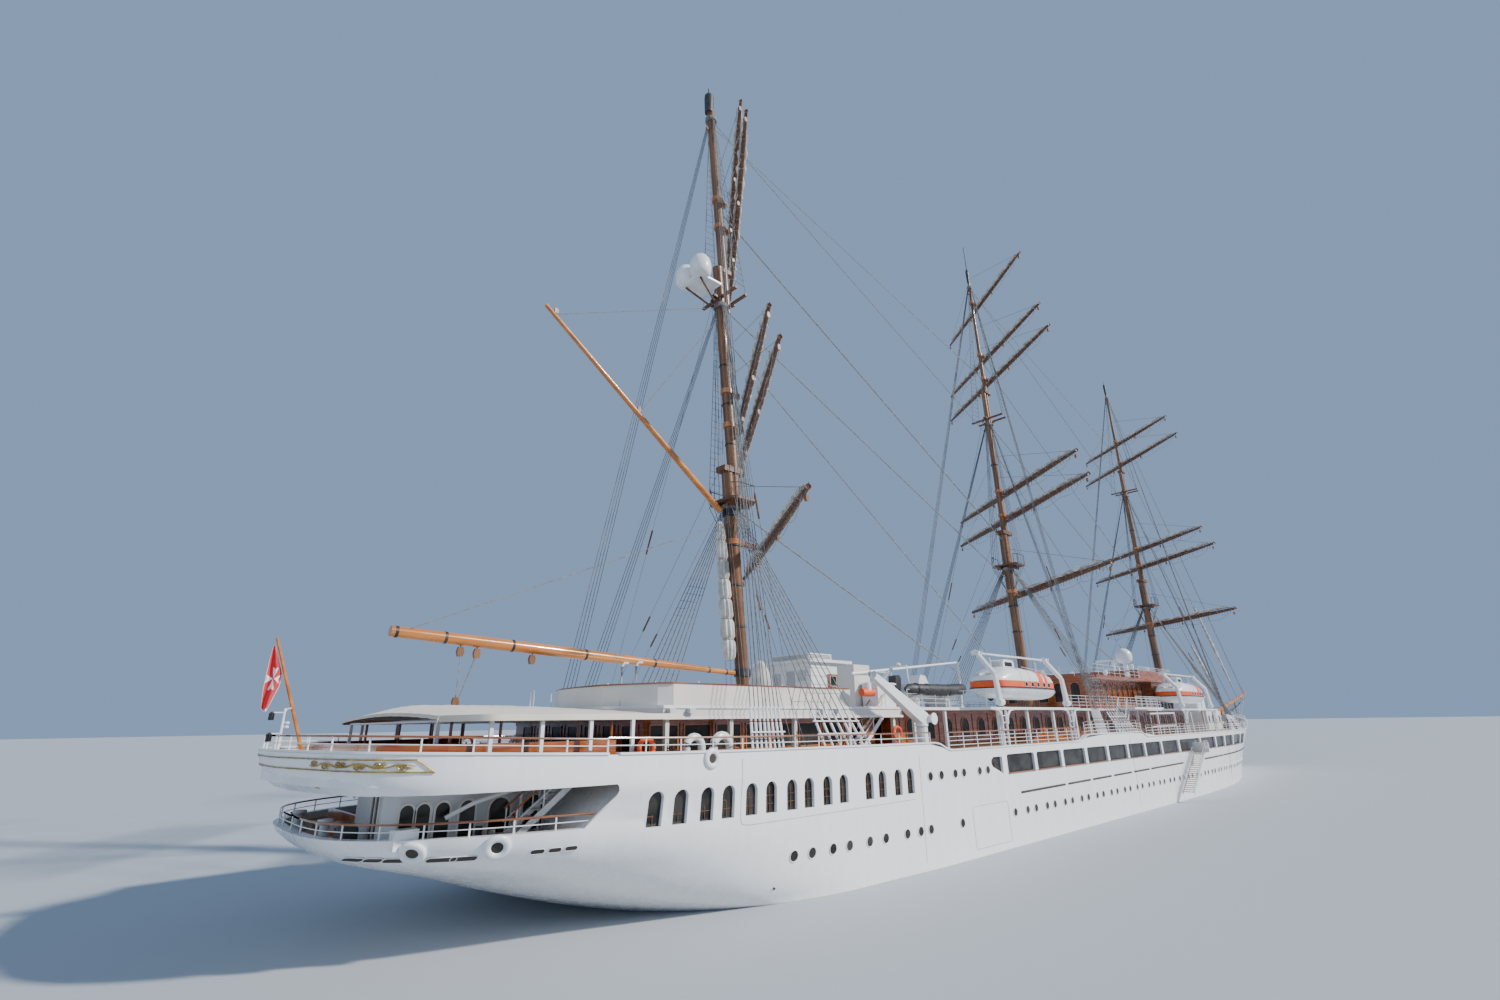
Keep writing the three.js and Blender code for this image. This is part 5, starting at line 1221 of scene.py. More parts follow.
def build_rigging(name):
    """A mast's shrouds, backstays, ratlines and rigging screws."""
    mast = MASTS[name]
    wire = Piece("rigging_%s_shrouds" % name, "rope", replaces=("rigging_" + name,), slot="rope")
    thin = Piece("rigging_%s_ratlines" % name, "rope")
    screws = Piece("rigging_%s_turnbuckles" % name, "white")
    hounds = {"top": (mast["top"] - 0.25, 0.0, 0.47),
              "trees": (mast["trees"] - 0.55, STEP1, mast["radii"][1][1] + 0.1),
              "truck": (mast["truck"] - 2.2, STEP1 + STEP2, mast["radii"][2][1] + 0.08)}

    def head(hound, sign, along=0.0):
        z, step, radius = hounds[hound]
        return Vector((mast_x(mast, z, step) + along, sign * radius * 0.8, z))

    for hound, (z, step, radius) in hounds.items():
        wire.lathe((mast_x(mast, z, step), 0, z), [(radius, -0.16), (radius + 0.07, -0.12),
                                                   (radius + 0.07, 0.12), (radius, 0.16)], sides=14)

    def foot(x, sign, lift=0.08):
        return Vector((x, sign * (half_at(x, 5.3) - 0.1), top_at(x) + lift))

    def rungs(a0, a1, b0, b1, spacing, from_z, to_z):
        z = from_z
        while z < to_z:
            ta = (z - a0.z) / (a1.z - a0.z)
            tb = (z - b0.z) / (b1.z - b0.z)
            thin.bar(a0.lerp(a1, ta), b0.lerp(b1, tb), 0.013, sides=3)
            z += spacing

    def screw(base, tip, parts):
        span = tip.z - base.z
        for z0, z1, r in parts:
            screws.bar(base.lerp(tip, z0 / span), base.lerp(tip, z1 / span), r, sides=6)

    first, last = FEET[name]
    for sign in SIDES:
        lower = []
        for k in range(7):
            x = mast["x"] + first + (last - first) * k / 6
            base = foot(x, sign)
            tip = head("top", sign, 0.24 - 0.08 * k)
            wire.bar(base, tip, 0.026, sides=5)
            lower.append((base, tip))
            screw(base, tip, ((0.0, 0.25, 0.05), (0.3, 0.95, 0.062), (1.0, 1.5, 0.05)))
        rungs(lower[0][0], lower[0][1], lower[6][0], lower[6][1], 0.42, 8.2, mast["top"] - 1.2)
        for lift in (0.5, 1.05):
            screws.bar(lower[0][0].lerp(lower[0][1], lift / 13.5) + Vector((0.15, 0, 0)),
                       lower[6][0].lerp(lower[6][1], lift / 13.5) - Vector((0.15, 0, 0)), 0.035, sides=5)
        back = []
        for k in range(8):
            x = mast["x"] - 5.9 - 0.25 * k
            base = foot(x, sign)
            hound = "trees" if k < 4 else "truck"
            tip = head(hound, sign, 0.1 - 0.06 * (k % 4))
            wire.bar(base, tip, 0.022, sides=4)
            back.append((base, tip))
            screw(base, tip, ((0.0, 0.3, 0.05), (0.35, 1.0, 0.06), (1.05, 1.6, 0.048)))
        screws.bar(back[0][0] + Vector((0.1, 0, 0.62)), back[7][0] + Vector((-0.1, 0, 0.62)), 0.035, sides=5)
        x, z = mast_x(mast, mast["top"]), mast["top"] + 0.16
        upper = []
        for k in range(4):
            base = Vector((x + 0.7 - 0.42 * k, sign * 1.3, z))
            tip = head("trees", sign, 0.12 - 0.08 * k)
            wire.bar(base, tip, 0.02, sides=4)
            upper.append((base, tip))
            wire.bar(base - Vector((0, 0, 0.16)), Vector((x, sign * 0.45, mast["top"] - 2.2)), 0.02, sides=4)
        rungs(upper[0][0], upper[0][1], upper[3][0], upper[3][1], 0.42, z + 0.5, mast["trees"] - 1.6)
        x, z = mast_x(mast, mast["trees"]), mast["trees"] + 0.16
        high = []
        for k in range(2):
            base = Vector((x + (0.45, 1.5)[k], sign * (1.65, 1.45)[k], z))
            tip = head("truck", sign, 0.05 - 0.05 * k)
            wire.bar(base, tip, 0.02, sides=4)
            high.append((base, tip))
        rungs(high[0][0], high[0][1], high[1][0], high[1][1], 0.45, z + 0.5, mast["truck"] - 6)


def build_stays():
    """The nine main fore-and-aft stays."""
    wire = Piece("stays", "wire")
    mizzen, main, fore = MASTS["mizzen"], MASTS["main"], MASTS["fore"]

    def hound(mast, key):
        z, step = {"top": (mast["top"] - 0.25, 0.0), "trees": (mast["trees"] - 0.55, STEP1),
                   "truck": (mast["truck"] - 2.2, STEP1 + STEP2)}[key]
        radius = {"top": 0.5, "trees": 0.38, "truck": 0.26}[key]
        return Vector((mast_x(mast, z, step) + radius, 0, z))

    def behind(mast, z):
        return Vector((mast_x(mast, z) - 0.75, 0, z))

    lines = [
        (hound(mizzen, "top"), Vector((-5.5, 0, 7.7)), 0.05),
(hound(mizzen, "trees"), behind(main, 19.6), 0.04), (hound(mizzen, "truck"), behind(main, 34.6), 0.03),
        (hound(main, "top"), Vector((mast_x(fore, 8.2) - 0.55, 0, 8.2)), 0.05),
        (hound(main, "trees"), behind(fore, 19.6), 0.04), (hound(main, "truck"), behind(fore, 35.2), 0.03),
        (hound(fore, "top"), Vector((58.6, 0, 7.86)), 0.05),
(hound(fore, "trees"), Vector((68.5, 0, 9.22)), 0.04), (hound(fore, "truck"), Vector((77.6, 0, 10.45)), 0.03),
    ]
    for a, b, r in lines:
        wire.bar(a, b, r, sides=6)


# Deckhouses
def on_wall(axis, place, out, u, v, lift):
    return (u, place + out * lift, v) if axis == "y" else (place + out * lift, u, v)


def pane(glass, trim, axis, place, out, centre, half, low, high, arch=True, rim=0.06):
    """A window and its raised frame on a flat wall that faces along y or x."""
    if arch:
        inner, outer = (arch_outline(centre, half + r, low - r, high + r, 6) for r in (0, rim))
    else:
        inner, outer = (round_outline(centre - half - r, centre + half + r, low - r, high + r, 0.05, 2)
                        for r in (0, rim))
    glass.add([on_wall(axis, place, out, u, v, 0.015) for u, v in inner], [tuple(range(len(inner)))])
    trim.sheet([[on_wall(axis, place, out, u, v, d) for u, v in ring]
                for ring, d in ((inner, 0.01), (inner, 0.045), (outer, 0.045), (outer, -0.01))], closed=True)


# x0, x1, half width, foot, head, first window, pitch, half, sill, top, arched, last window
HOUSES = [
    (-47.2, -32.2, 5.7, DECK_Z, 7.1, -46.2, 1.75, 0.68, 5.85, 6.85, False, -33.0),
    (-30.2, 24.0, 5.4, DECK_Z, 7.45, -28.32, 2.03, 0.42, 5.85, 7.02, True, 23.2),
    (1.0, 15.5, 4.4, UPPER_DECK_Z, 10.3, 2.41, 1.38, 0.3, 8.3, 9.95, True, 14.9),
]


def build_houses():
    """Panelling, plinths, cornices and windows on the wooden deckhouses."""
    boards = Piece("house_panelling", "varnish", slot="varnish")
    glass = Piece("house_window_glass", "glass")
    trim = Piece("house_window_frames", "spar")
    for x0, x1, half, foot, head, first, pitch, wide, sill, top, arch, last in HOUSES:
        for sign in SIDES:
            def strip(u0, u1, v0, v1, proud):
                boards.box(u0, u1, sign * (half - 0.01), sign * (half + proud), v0, v1)
            strip(x0, x1, foot, foot + 0.25, 0.05)
            strip(x0, x1, head - 0.18, head, 0.06)
            x = first
            while x <= last:
                pane(glass, trim, "y", sign * half, sign, x, wide, sill, top, arch)
                strip(x - pitch / 2 - 0.06, x - pitch / 2 + 0.06, foot + 0.25, head - 0.18, 0.04)
                strip(x - wide - 0.06, x + wide + 0.06, sill - 0.13, sill - 0.07, 0.07)
                x += pitch
            strip(x - pitch / 2 - 0.06, x - pitch / 2 + 0.06, foot + 0.25, head - 0.18, 0.04)
        for x, out in ((x0, -1), (x1, 1)):
            y = -half + 0.9
            while y < half - 0.5:
                boards.box(x - out * 0.01, x + out * 0.04, y - 0.6, y - 0.5, foot + 0.1, head - 0.1)
                pane(glass, trim, "x", x, out, y + 0.15, 0.4, sill, top, arch)
                y += 1.5
            for low, high in ((foot, foot + 0.25), (head - 0.18, head)):
                boards.box(x - out * 0.01, x + out * 0.05, -half, half, low, high)
    for sign in SIDES:
        for k in range(5):
            pane(glass, trim, "y", sign * 5.2, sign, 16.3 + 1.05 * k, 0.36, 9.0, 9.95, False)
        boards.box(15.5, 21.4, sign * 5.19, sign * 5.26, 8.6, 8.7)
        for k in range(6):
            boards.box(15.6 + 1.05 * k, 15.7 + 1.05 * k, sign * 5.19, sign * 5.26, UPPER_DECK_Z, 8.6)
    for x0, x1, y0, y1 in ((12, 22.1, -5.245, -5.19), (12, 22.1, 5.19, 5.245), (11.955, 12.01, -5.245, 5.245),
                           (22.09, 22.145, -5.245, 5.245)):
        boards.box(x0, x1, y0, y1, 10.5, 11.38)
    for sign in SIDES:
        boards.box(0.6, 22.4, sign * 5.49, sign * 5.53, 10.27, 10.52)
    for x in (0.57, 22.39):
        boards.box(x, x + 0.04, -5.53, 5.53, 10.27, 10.52)
    for k in range(9):
        y = -4.4 + 1.1 * k
        quad = [(21.9 + 0.02 - (z - 9.2) * 0.5455, yy, z) for yy, z in
                ((y - 0.42, 9.3), (y + 0.42, 9.3), (y + 0.42, 10.1), (y - 0.42, 10.1))]
        glass.add(quad, [(0, 1, 2, 3)])
        trim.path(quad + [quad[0]], 0.035, 4)
    steel = Piece("service_house_fittings", "grey")
    doors = Piece("service_house_doors", "varnish", slot="varnish")
    for sign in SIDES:
        y = sign * 2.2
        for x, wide, low, high in ((-31.3, 0.45, 8.6, 9.6), (-30.3, 0.35, 7.7, 9.6)):
            doors.box(x - wide, x + wide, y, y + sign * 0.05, low, high)
            pane(glass, steel, "y", y + sign * 0.045, sign, x, wide * 0.6, max(low, 8.8) + 0.12,
                 high - 0.12, False, 0.03)
        for k in range(5):
            steel.box(-32.55, -30.65, sign * 1.58, sign * 1.68, 10.44 + 0.08 * k, 10.48 + 0.08 * k)
    for k in range(5):
        steel.box(-32.68, -32.58, -1.55, 1.55, 10.44 + 0.08 * k, 10.48 + 0.08 * k)
    for y, low, high in ((-1.5, 9.2, 9.8), (-0.6, 8.9, 9.8), (0.6, 7.75, 9.7), (1.6, 9.0, 9.8)):
        steel.box(-33.25, -33.19, y - 0.32, y + 0.32, low, high)
        for k in range(int((high - low) / 0.14)):
            steel.box(-33.28, -33.24, y - 0.28, y + 0.28, low + 0.08 + 0.14 * k, low + 0.12 + 0.14 * k)
    white = Piece("fore_house_fittings", "white")
    for sign in SIDES:
        for k in range(4):
            pane(glass, white, "y", sign * 3.6, sign, 40.0 + 1.55 * k, 0.28, 6.2, 7.0, True, 0.05)
        for x0, x1 in ((41.7, 43.0), (43.4, 44.9)):
            white.box(x0, x1, sign * 2.2, sign * 2.26, 7.7, 9.1)
    white.prism([(41.3, -2.35), (45.4, -2.35), (45.4, 2.35), (41.3, 2.35)], "z", 9.28, 9.4)


def lamp(metal, glow, x, y, z, size=0.16):
    """A small deck lantern: a cage with a cap round a lens."""
    glow.lathe((x, y, z), [(size * 0.62, -size), (size * 0.75, -size * 0.3), (size * 0.75, size * 0.4),
                           (size * 0.55, size)], sides=10)
    metal.lathe((x, y, z), [(size, size), (size * 1.05, size * 1.15), (size * 0.3, size * 1.9)], sides=10)
    metal.lathe((x, y, z), [(size * 0.9, -size * 1.3), (size, -size)], sides=10)
    for k in range(4):
        a = math.pi * (0.25 + 0.5 * k)
        metal.bar((x + size * math.cos(a), y + size * math.sin(a), z - size * 1.1),
                  (x + size * math.cos(a), y + size * math.sin(a), z + size * 1.1), 0.014, sides=4)


def stair(treads, strings, rails, low, high, width, steps):
    """A straight stair between two points of its middle line, with side strings and handrails."""
    low, high = Vector(low), Vector(high)
    flat = Vector((high.x - low.x, high.y - low.y, 0)).normalized()
    side = Vector((-flat.y, flat.x, 0)) * (width / 2)
    for sign in SIDES:
        a, b = low + side * sign, high + side * sign
        strings.loft([[p + v for v in (Vector((0, 0, -0.16)), Vector((0, 0, 0.1)),
                                       side.normalized() * 0.05 * sign + Vector((0, 0, 0.1)),
                                       side.normalized() * 0.05 * sign + Vector((0, 0, -0.16)))]
                      for p in (a, b)])
        for t in (0.04, 0.5, 0.96):
            p = a.lerp(b, t)
            strings.bar(p, p + Vector((0, 0, 0.85)), 0.025, sides=5)
        for lift, piece, radius in ((0.45, strings, 0.016), (0.85, rails, 0.035)):
            piece.bar(a + Vector((0, 0, lift)), b + Vector((0, 0, lift)), radius, sides=6)
    for k in range(steps):
        p = low.lerp(high, (k + 0.5) / steps)
        treads.loft([[p + side * s + flat * f + Vector((0, 0, z)) for f, z in
                      ((-0.12, -0.015), (0.12, -0.015), (0.12, 0.02), (-0.12, 0.02))] for s in (-1, 1)])


def build_aft_deck():
    """Awning frame timbers, chairs and tables, vents, lifebuoys, lamps and the mooring gear below."""
    wood = Piece("deck_furniture", "varnish", slot="varnish")
    white = Piece("aft_deck_fittings", "white")
    black = Piece("aft_deck_black_fittings", "black")
    orange = Piece("lifebuoys", "orange")
    grey = Piece("aft_deck_grey_fittings", "grey")
    lens = Piece("lantern_lenses", "glass")
    for sign in SIDES:
        for x, y in ((-54.4, 4.9), (-52.9, 5.4), (-51.5, 5.5), (-50.0, 5.6), (-48.6, 5.6)):
            wood.bar((x, sign * y, 5.3), (x, sign * y, 7.15), 0.055, sides=8)
        wood.path([(-54.9, sign * 5.4, 7.16), (-54.0, sign * 7.1, 7.16), (-51.0, sign * 7.5, 7.16),
                   (-48.2, sign * 7.75, 7.16), (-46.95, sign * 7.8, 7.16)], 0.05, 6)
        for k in range(8):
            x = -54.2 + 0.95 * k
            wood.box(x - 0.04, x + 0.04, 0, sign * 7.0, 7.14, 7.2)
        for cx, cy, turn in ((-52.6, 4.3, 0.0), (-50.9, 4.0, 0.5), (-50.2, 6.2, 0.2), (-49.2, 6.4, -0.3),
                             (-48.6, 6.1, 1.2),
                             (-51.8, 6.1, 0.1), (-52.9, 6.0, -0.2), (-46.6, 7.0, 0.1), (-43.4, 7.0, 0.2)):
            chair(wood, cx, sign * cy, 5.3, turn * sign)
        for cx, cy in ((-50.4, 5.0), (-53.0, 5.1), (-48.9, 4.9)):
            wood.lathe((cx, sign * cy, 5.3), [(0.3, 0), (0.1, 0.08), (0.07, 0.7), (0.12, 0.72), (0.5, 0.74),
                                              (0.5, 0.79)],
                       sides=18)
        for x0, x1, top, r in ((-46.5, -45.75, 6.42, 0.15), (-45.15, -44.3, 6.44, 0.17)):
            reach, mid = (x1 - x0) / 2, (x0 + x1) / 2
            curve = [(x0, sign * 7.6, 5.3), (x0, sign * 7.6, top - reach)]
            curve += [(mid - reach * math.cos(a), sign * 7.6, top - reach + reach * math.sin(a))
                      for a in (math.pi * k / 8 for k in range(1, 9))]
            curve += [(x1, sign * 7.6, top - reach - 0.25)]
            white.path(curve, r, 14)
            white.lathe((x1, sign * 7.6, top - reach - 0.42),
                        [(r * 0.6, 0), (r + 0.07, 0.02), (r + 0.07, 0.17), (r, 0.2)], sides=14)
            white.lathe((x0, sign * 7.6, DECK_Z), [(r + 0.1, 0), (r + 0.1, 0.05), (r, 0.07)], sides=14)
        for x, y, z in ((-48.7, 8.12, 6.12), (-33.2, 7.9, 6.3)):
            orange.hoop((x, sign * y, z), 0.29, 0.085, (0.1, 1, 0), sides=24, section=10)
        orange.hoop((-52.15, sign * 4.94, 3.82), 0.27, 0.08, (0, 1, 0), sides=24, section=10)
        for x in (-46.6, -45.6, -37.5, -36.4):
            grey.box(x - 0.14, x + 0.14, sign * 6.6, sign * 6.85, 7.3, 7.5)
    white.bar((-58.6, -1.2, 6.2), (-58.6, -1.2, 7.6), 0.05, 0.035, sides=8)
    white.path([(-58.6, -1.2, 7.45), (-58.54, -1.2, 7.58), (-58.42, -1.2, 7.6)], 0.025, 6)
    for z in (7.13, 7.0):
        white.bar((-58.6, -1.2, z), (-58.5, -1.2, z + 0.02), 0.02, sides=6)
        white.lathe((-58.46, -1.2, z), [(0.03, -0.05), (0.06, -0.03), (0.06, 0.03), (0.02, 0.05)], sides=10)
    lamp(black, lens, -58.95, -1.2, 7.33, 0.085)
    lamp(black, lens, -58.91, -1.2, 6.66, 0.09)
    for z in (7.36, 6.69):
        white.bar((-58.6, -1.2, z + 0.1), (-58.93, -1.2, z + 0.1), 0.022, sides=6)
    black.prism([(-57.0, MOORING_Z), (-56.5, MOORING_Z), (-56.5, 3.95), (-56.6, 4.1), (-56.9, 4.1),
                 (-57.0, 3.95)], "y", -3.9, -3.3)
    for y in (-1.9, 1.9):
        grey.lathe((-57.0, y, MOORING_Z), [(0.3, 0), (0.3, 0.08), (0.16, 0.16), (0.14, 0.5), (0.24, 0.6),
                                           (0.22, 0.68)],
                   sides=14)
        black.lathe((-56.8, y * 1.7, MOORING_Z), [(0.22, 0), (0.14, 0.1), (0.14, 0.4), (0.25, 0.5),
                                                  (0.1, 0.56)], sides=12)
    white.box(-56.0, -55.3, -5.75, -5.25, MOORING_Z, 3.98)
    wood.box(-56.4, -55.9, -1.5, 2.4, MOORING_Z, 3.55)
    wood.box(-55.95, -55.85, -1.5, 2.4, 3.55, 4.05)
    for sign in SIDES:
        stair(grey, white, wood, (-52.6, sign * 6.0, 3.45), (-50.6, sign * 6.0, 5.0), 0.8, 7)
        white.path([(-54.4, sign * 5.3, 4.15), (-53.6, sign * 5.5, 4.55), (-52.4, sign * 5.6, 4.85),
                    (-51.0, sign * 5.7, 5.0)],
                   0.07, 8)
        for x in (-51.9, -51.2):
            white.bar((x, sign * 5.3, MOORING_Z), (x, sign * 5.3, 5.02), 0.05, sides=8)
        for y in (5.6, 6.6):
            black.bar((-53.4, sign * y, MOORING_Z), (-53.4, sign * y, 3.85), 0.11, sides=10)
        black.box(-53.7, -53.1, sign * 5.4, sign * 6.8, MOORING_Z, 3.5)


def chair(wood, x, y, z, turn):
    """A slatted deck chair of bars."""
    c, s = math.cos(turn), math.sin(turn)

    def at(u, v, w):
        return (x + u * c - v * s, y + u * s + v * c, z + w)
    for u, v in ((-0.22, -0.22), (-0.22, 0.22), (0.22, -0.22), (0.22, 0.22)):
        wood.bar(at(u, v, 0), at(u * 0.9, v, 0.9 if u < 0 else 0.62), 0.028, sides=5)
    for k in range(5):
        wood.bar(at(-0.2 + 0.1 * k, -0.23, 0.43), at(-0.2 + 0.1 * k, 0.23, 0.43), 0.035, sides=4)
    for w in (0.6, 0.72, 0.84):
        wood.bar(at(-0.215, -0.22, w), at(-0.215, 0.22, w), 0.03, sides=4)
    for v in (-0.23, 0.23):
        wood.bar(at(-0.22, v, 0.63), at(0.24, v, 0.63), 0.03, sides=5)


def build_sun_deck():
    """Cap rail, deck edge, stairs, and the gear that stands on the sun deck."""
    cap = Piece("sun_deck_cap", "rail", slot="varnish")
    fascia = Piece("sun_deck_edge", "white")
    line = [(-35.2, -6.55), (-46.4, -6.55), (-46.9, -6.15), (-47.98, -3.8), (-48.05, -2), (-47.85, 0),
            (-47.25, 1.6), (-44.3, 6.55), (-35.2, 6.55)]
    cap.loft([[(x + dx * 0.7, y + dx * 0.7, z) for dx, z in
               ((-0.1, 8.45), (0.1, 8.45), (0.1, 8.51), (-0.1, 8.51))] for x, y in line])
    edge = [(-30.75, -6.62), (-46.9, -6.62), (-48.12, -4.4), (-48.12, 4.4), (-46.9, 6.62), (-30.75, 6.62)]
    for z0, z1 in ((7.08, 7.2), (7.5, 7.62)):
        fascia.sheet([[(x * 1.0005, y * 1.006, z) for x, y in edge] for z in (z0, z1)])
    white = Piece("sun_deck_fittings", "white")
    treads = Piece("stair_treads", "teak")
    rails = Piece("stair_handrails", "spar")
    for sign in SIDES:
        stair(treads, white, rails, (-34.6, sign * 6.15, 5.4), (-32.0, sign * 6.15, 7.55), 0.75, 9)
        for x, y in ((-47.5, 3.4), (-46.6, 5.6), (-45.0, 6.45), (-40.0, 6.45), (-36.0, 6.45)):
            white.bar((x, sign * y, UPPER_DECK_Z), (x, sign * y, 8.6), 0.03, sides=6)
    white.lathe((-33.3, -6.3, 8.2), [(0.05, 0.0), (0.2, 0.05), (0.2, 0.65), (0.05, 0.7)], sides=12)
    white.prism([(-32.5, -6.35), (-30.9, -6.35), (-30.9, -5.3), (-32.5, -5.3)], "z", 7.62, 8.9)
    white.prism([(-32.56, -6.41), (-30.84, -6.41), (-30.84, -5.24), (-32.56, -5.24)], "z", 8.8, 8.88)
    drum = Piece("flare_canister", "orange")
    drum.lathe((-33.9, -6.3, 8.35), [(0.06, 0.0), (0.2, 0.04), (0.22, 0.4), (0.22, 0.75), (0.2, 1.05),
                                     (0.06, 1.1)],
               "x", sides=14)
    rng = random.Random(5)
    cover = Piece("covered_gear", "canvas", sharp=80)
    rings = []
    for k in range(9):
        z = 7.62 + 0.27 * k
        r = (0.62, 0.66, 0.6, 0.55, 0.58, 0.5, 0.4, 0.3, 0.12)[k]
        rings.append([(-39.9 + r * (1 + 0.12 * rng.random()) * math.cos(a),
                       -4.9 + r * (1 + 0.12 * rng.random()) * math.sin(a), z)
                      for a in (2 * math.pi * m / 12 for m in range(12))])
    cover.loft(rings)
    pipes = Piece("sun_deck_pipes", "grey")
    for x, y in ((-47.6, -4.6), (-47.3, -5.2)):
        pipes.path([(x, y, UPPER_DECK_Z), (x, y, 9.2), (x + 0.1, y, 9.35), (x + 0.3, y, 9.35)], 0.05, 8)


def awning_row(x, half, eave, ridge):
    ys = [half * (-1 + 2 * k / 24) for k in range(25)]
    row = [(x, -half - 0.015, eave - 0.2), (x, -half - 0.01, eave - 0.1)]
    for k, y in enumerate(ys):
        t = abs(y) / half
        seam = 0.012 * abs(math.sin(math.pi * 6 * y / half))
        row.append((x, y, eave + (ridge - eave) * (1 - t ** 1.9) - seam))
    return row + [(x, half + 0.01, eave - 0.1), (x, half + 0.015, eave - 0.2)]


def build_cloth():
    """The awning over the after deck, the ensign and the spanker gathered on its mast."""
    awning = Piece("awning_cloth", "awning", replaces=("awning",), sharp=60, slot="canvas")
    table = [(-55.15, 5.8, 7.27, 7.46), (-54.6, 6.8, 7.28, 7.66), (-54, 7.5, 7.28, 7.76),
             (-52, 7.7, 7.28, 7.76), (-50, 7.8, 7.28, 7.7), (-48.2, 7.9, 7.28, 7.6)]
    rows = []
    shapes = [smooth_table([(r[0], r[c]) for r in table]) for c in (1, 2, 3)]
    xs = [-55.15 + 0.1 * k for k in range(5)] + [-54.6 + 0.2 * k for k in range(1, 32)] + [-48.2]
    for x in xs:
        half, eave, ridge = (f(x) for f in shapes)
        sag = 0.035 * abs(math.sin(math.pi * (x + 54.2) / 0.95))
        rows.append(awning_row(x, half, eave, ridge - sag))
    awning.sheet(rows)
    first = rows[0][1:-1]
    awning.sheet([first, [(x - 0.05, y, z - 0.12) for x, y, z in first]])
    for sign in SIDES:
        side = [(-48.2 + 0.25 * k, sign * 7.9) for k in range(6)]
        awning.sheet([[(x, y - sign * 1.0, 7.3) for x, y in side], [(x, y, 7.28) for x, y in side],
                      [(x, y + sign * 0.015, 7.08) for x, y in side]])
    ensign = Piece("ensign_cloth", "red", replaces=("ensign",), sharp=80, slot="red_bunting")
    left = smooth_table([(7.5, -59.0), (7.6, -59.12), (8.4, -59.16), (9.2, -59.15), (9.74, -59.11)])
    right = smooth_table([(7.5, -58.94), (8.0, -58.8), (8.5, -58.68), (8.75, -58.68), (9.2, -58.84),
                          (9.74, -59.05)])
    rows, pale = [], []
    down, across = 88, 60
    for k in range(down + 1):
        z = 7.52 + (9.74 - 7.52) * k / down
        row = []
        for m in range(across + 1):
            u = m / across
            fold = math.sin(u * 2.6 * math.pi + 0.4 * math.sin(k * 0.05) - 0.4)
            spread_y = 0.1 * min(1, (9.95 - z) / 1.1)
            row.append((left(z) + (right(z) - left(z)) * u, spread_y * fold,
                        z + 0.04 * math.sin(u * 9 + 1) * (1 - k / down)))
        rows.append(row)
    for k in range(down):
        for m in range(across):
            x, z = rows[k][m][0], rows[k][m][2]
            reach, lift = (x + 58.94 - 0.05 * (z - 8.6)) / 0.22, (z - 8.6) / 0.42
            lean = abs(math.degrees(math.atan2(lift, reach + 1e-6))) % 90
            lean = min(lean, 90 - lean)
            cross = lean < 21 and math.hypot(reach, lift) < 1 - 0.25 * (1 - lean / 21)
            if cross or k < 3 or m < 2 or m > across - 3:
                pale.append(k * across + m)
    ensign.sheet(rows)
    ensign.second = ("bunting", pale)
    spanker = Piece("spanker_cloth", "canvas", replaces=("spanker_sail",), sharp=80, slot="canvas")
    girth = smooth_table([(10.3, 0.3), (11.2, 0.4), (13.0, 0.38), (15.2, 0.34), (17.2, 0.3), (18.3, 0.16)])
    mast = MASTS["mizzen"]
    rows = []
    for k in range(81):
        z = 10.3 + 8.0 * k / 80
        pinch = 1 - 0.3 * max(0.0, math.cos(2 * math.pi * (z - 10.3) / 1.15)) ** 6
        row = []
        for m in range(61):
            a = 2 * math.pi * m / 60 * 0.995
            rough = noise.noise(Vector((z * 1.1, 2 * math.cos(a), 2 * math.sin(a))))
            pleat = 1 + 0.13 * math.sin(9 * a + 0.8 * math.sin(z * 0.9)) + 0.12 * rough
            r = girth(z) * 0.93 * pinch * pleat
            row.append((mast_x(mast, z) - 0.9 + r * math.cos(a), r * math.sin(a), z))
        rows.append(row)
    spanker.sheet(rows)
    ties = Piece("spanker_gaskets", "manila")
    for k in range(7):
        z = 10.3 + 1.15 * k
        if 10.35 < z < 18.1:
            ties.hoop((mast_x(mast, z) - 0.9, 0, z), girth(z) * 0.76, 0.03, (0, 0, 1), sides=20, section=5)


# Boats and lifting gear
# way along the boat, share of the beam, share of the keel's rise
BOAT_SHAPE = [(-1, 0.42, 0.5), (-0.97, 0.66, 0.3), (-0.88, 0.84, 0.12), (-0.6, 0.97, 0.02), (-0.2, 1, 0),
              (0.25, 0.99, 0),
              (0.55, 0.9, 0.04), (0.75, 0.74, 0.12), (0.88, 0.54, 0.25), (0.95, 0.34, 0.42), (1, 0.1, 0.66)]
ROOF_SHAPE = smooth_table([(-1, 0.35), (-0.85, 0.5), (-0.7, 0.95), (-0.5, 1.0), (0.0, 0.9), (0.5, 0.68),
                           (0.8, 0.4), (1, 0.1)])
BOAT_REACH, BOAT_BEAM = 4.5, 1.46      # half length, half width


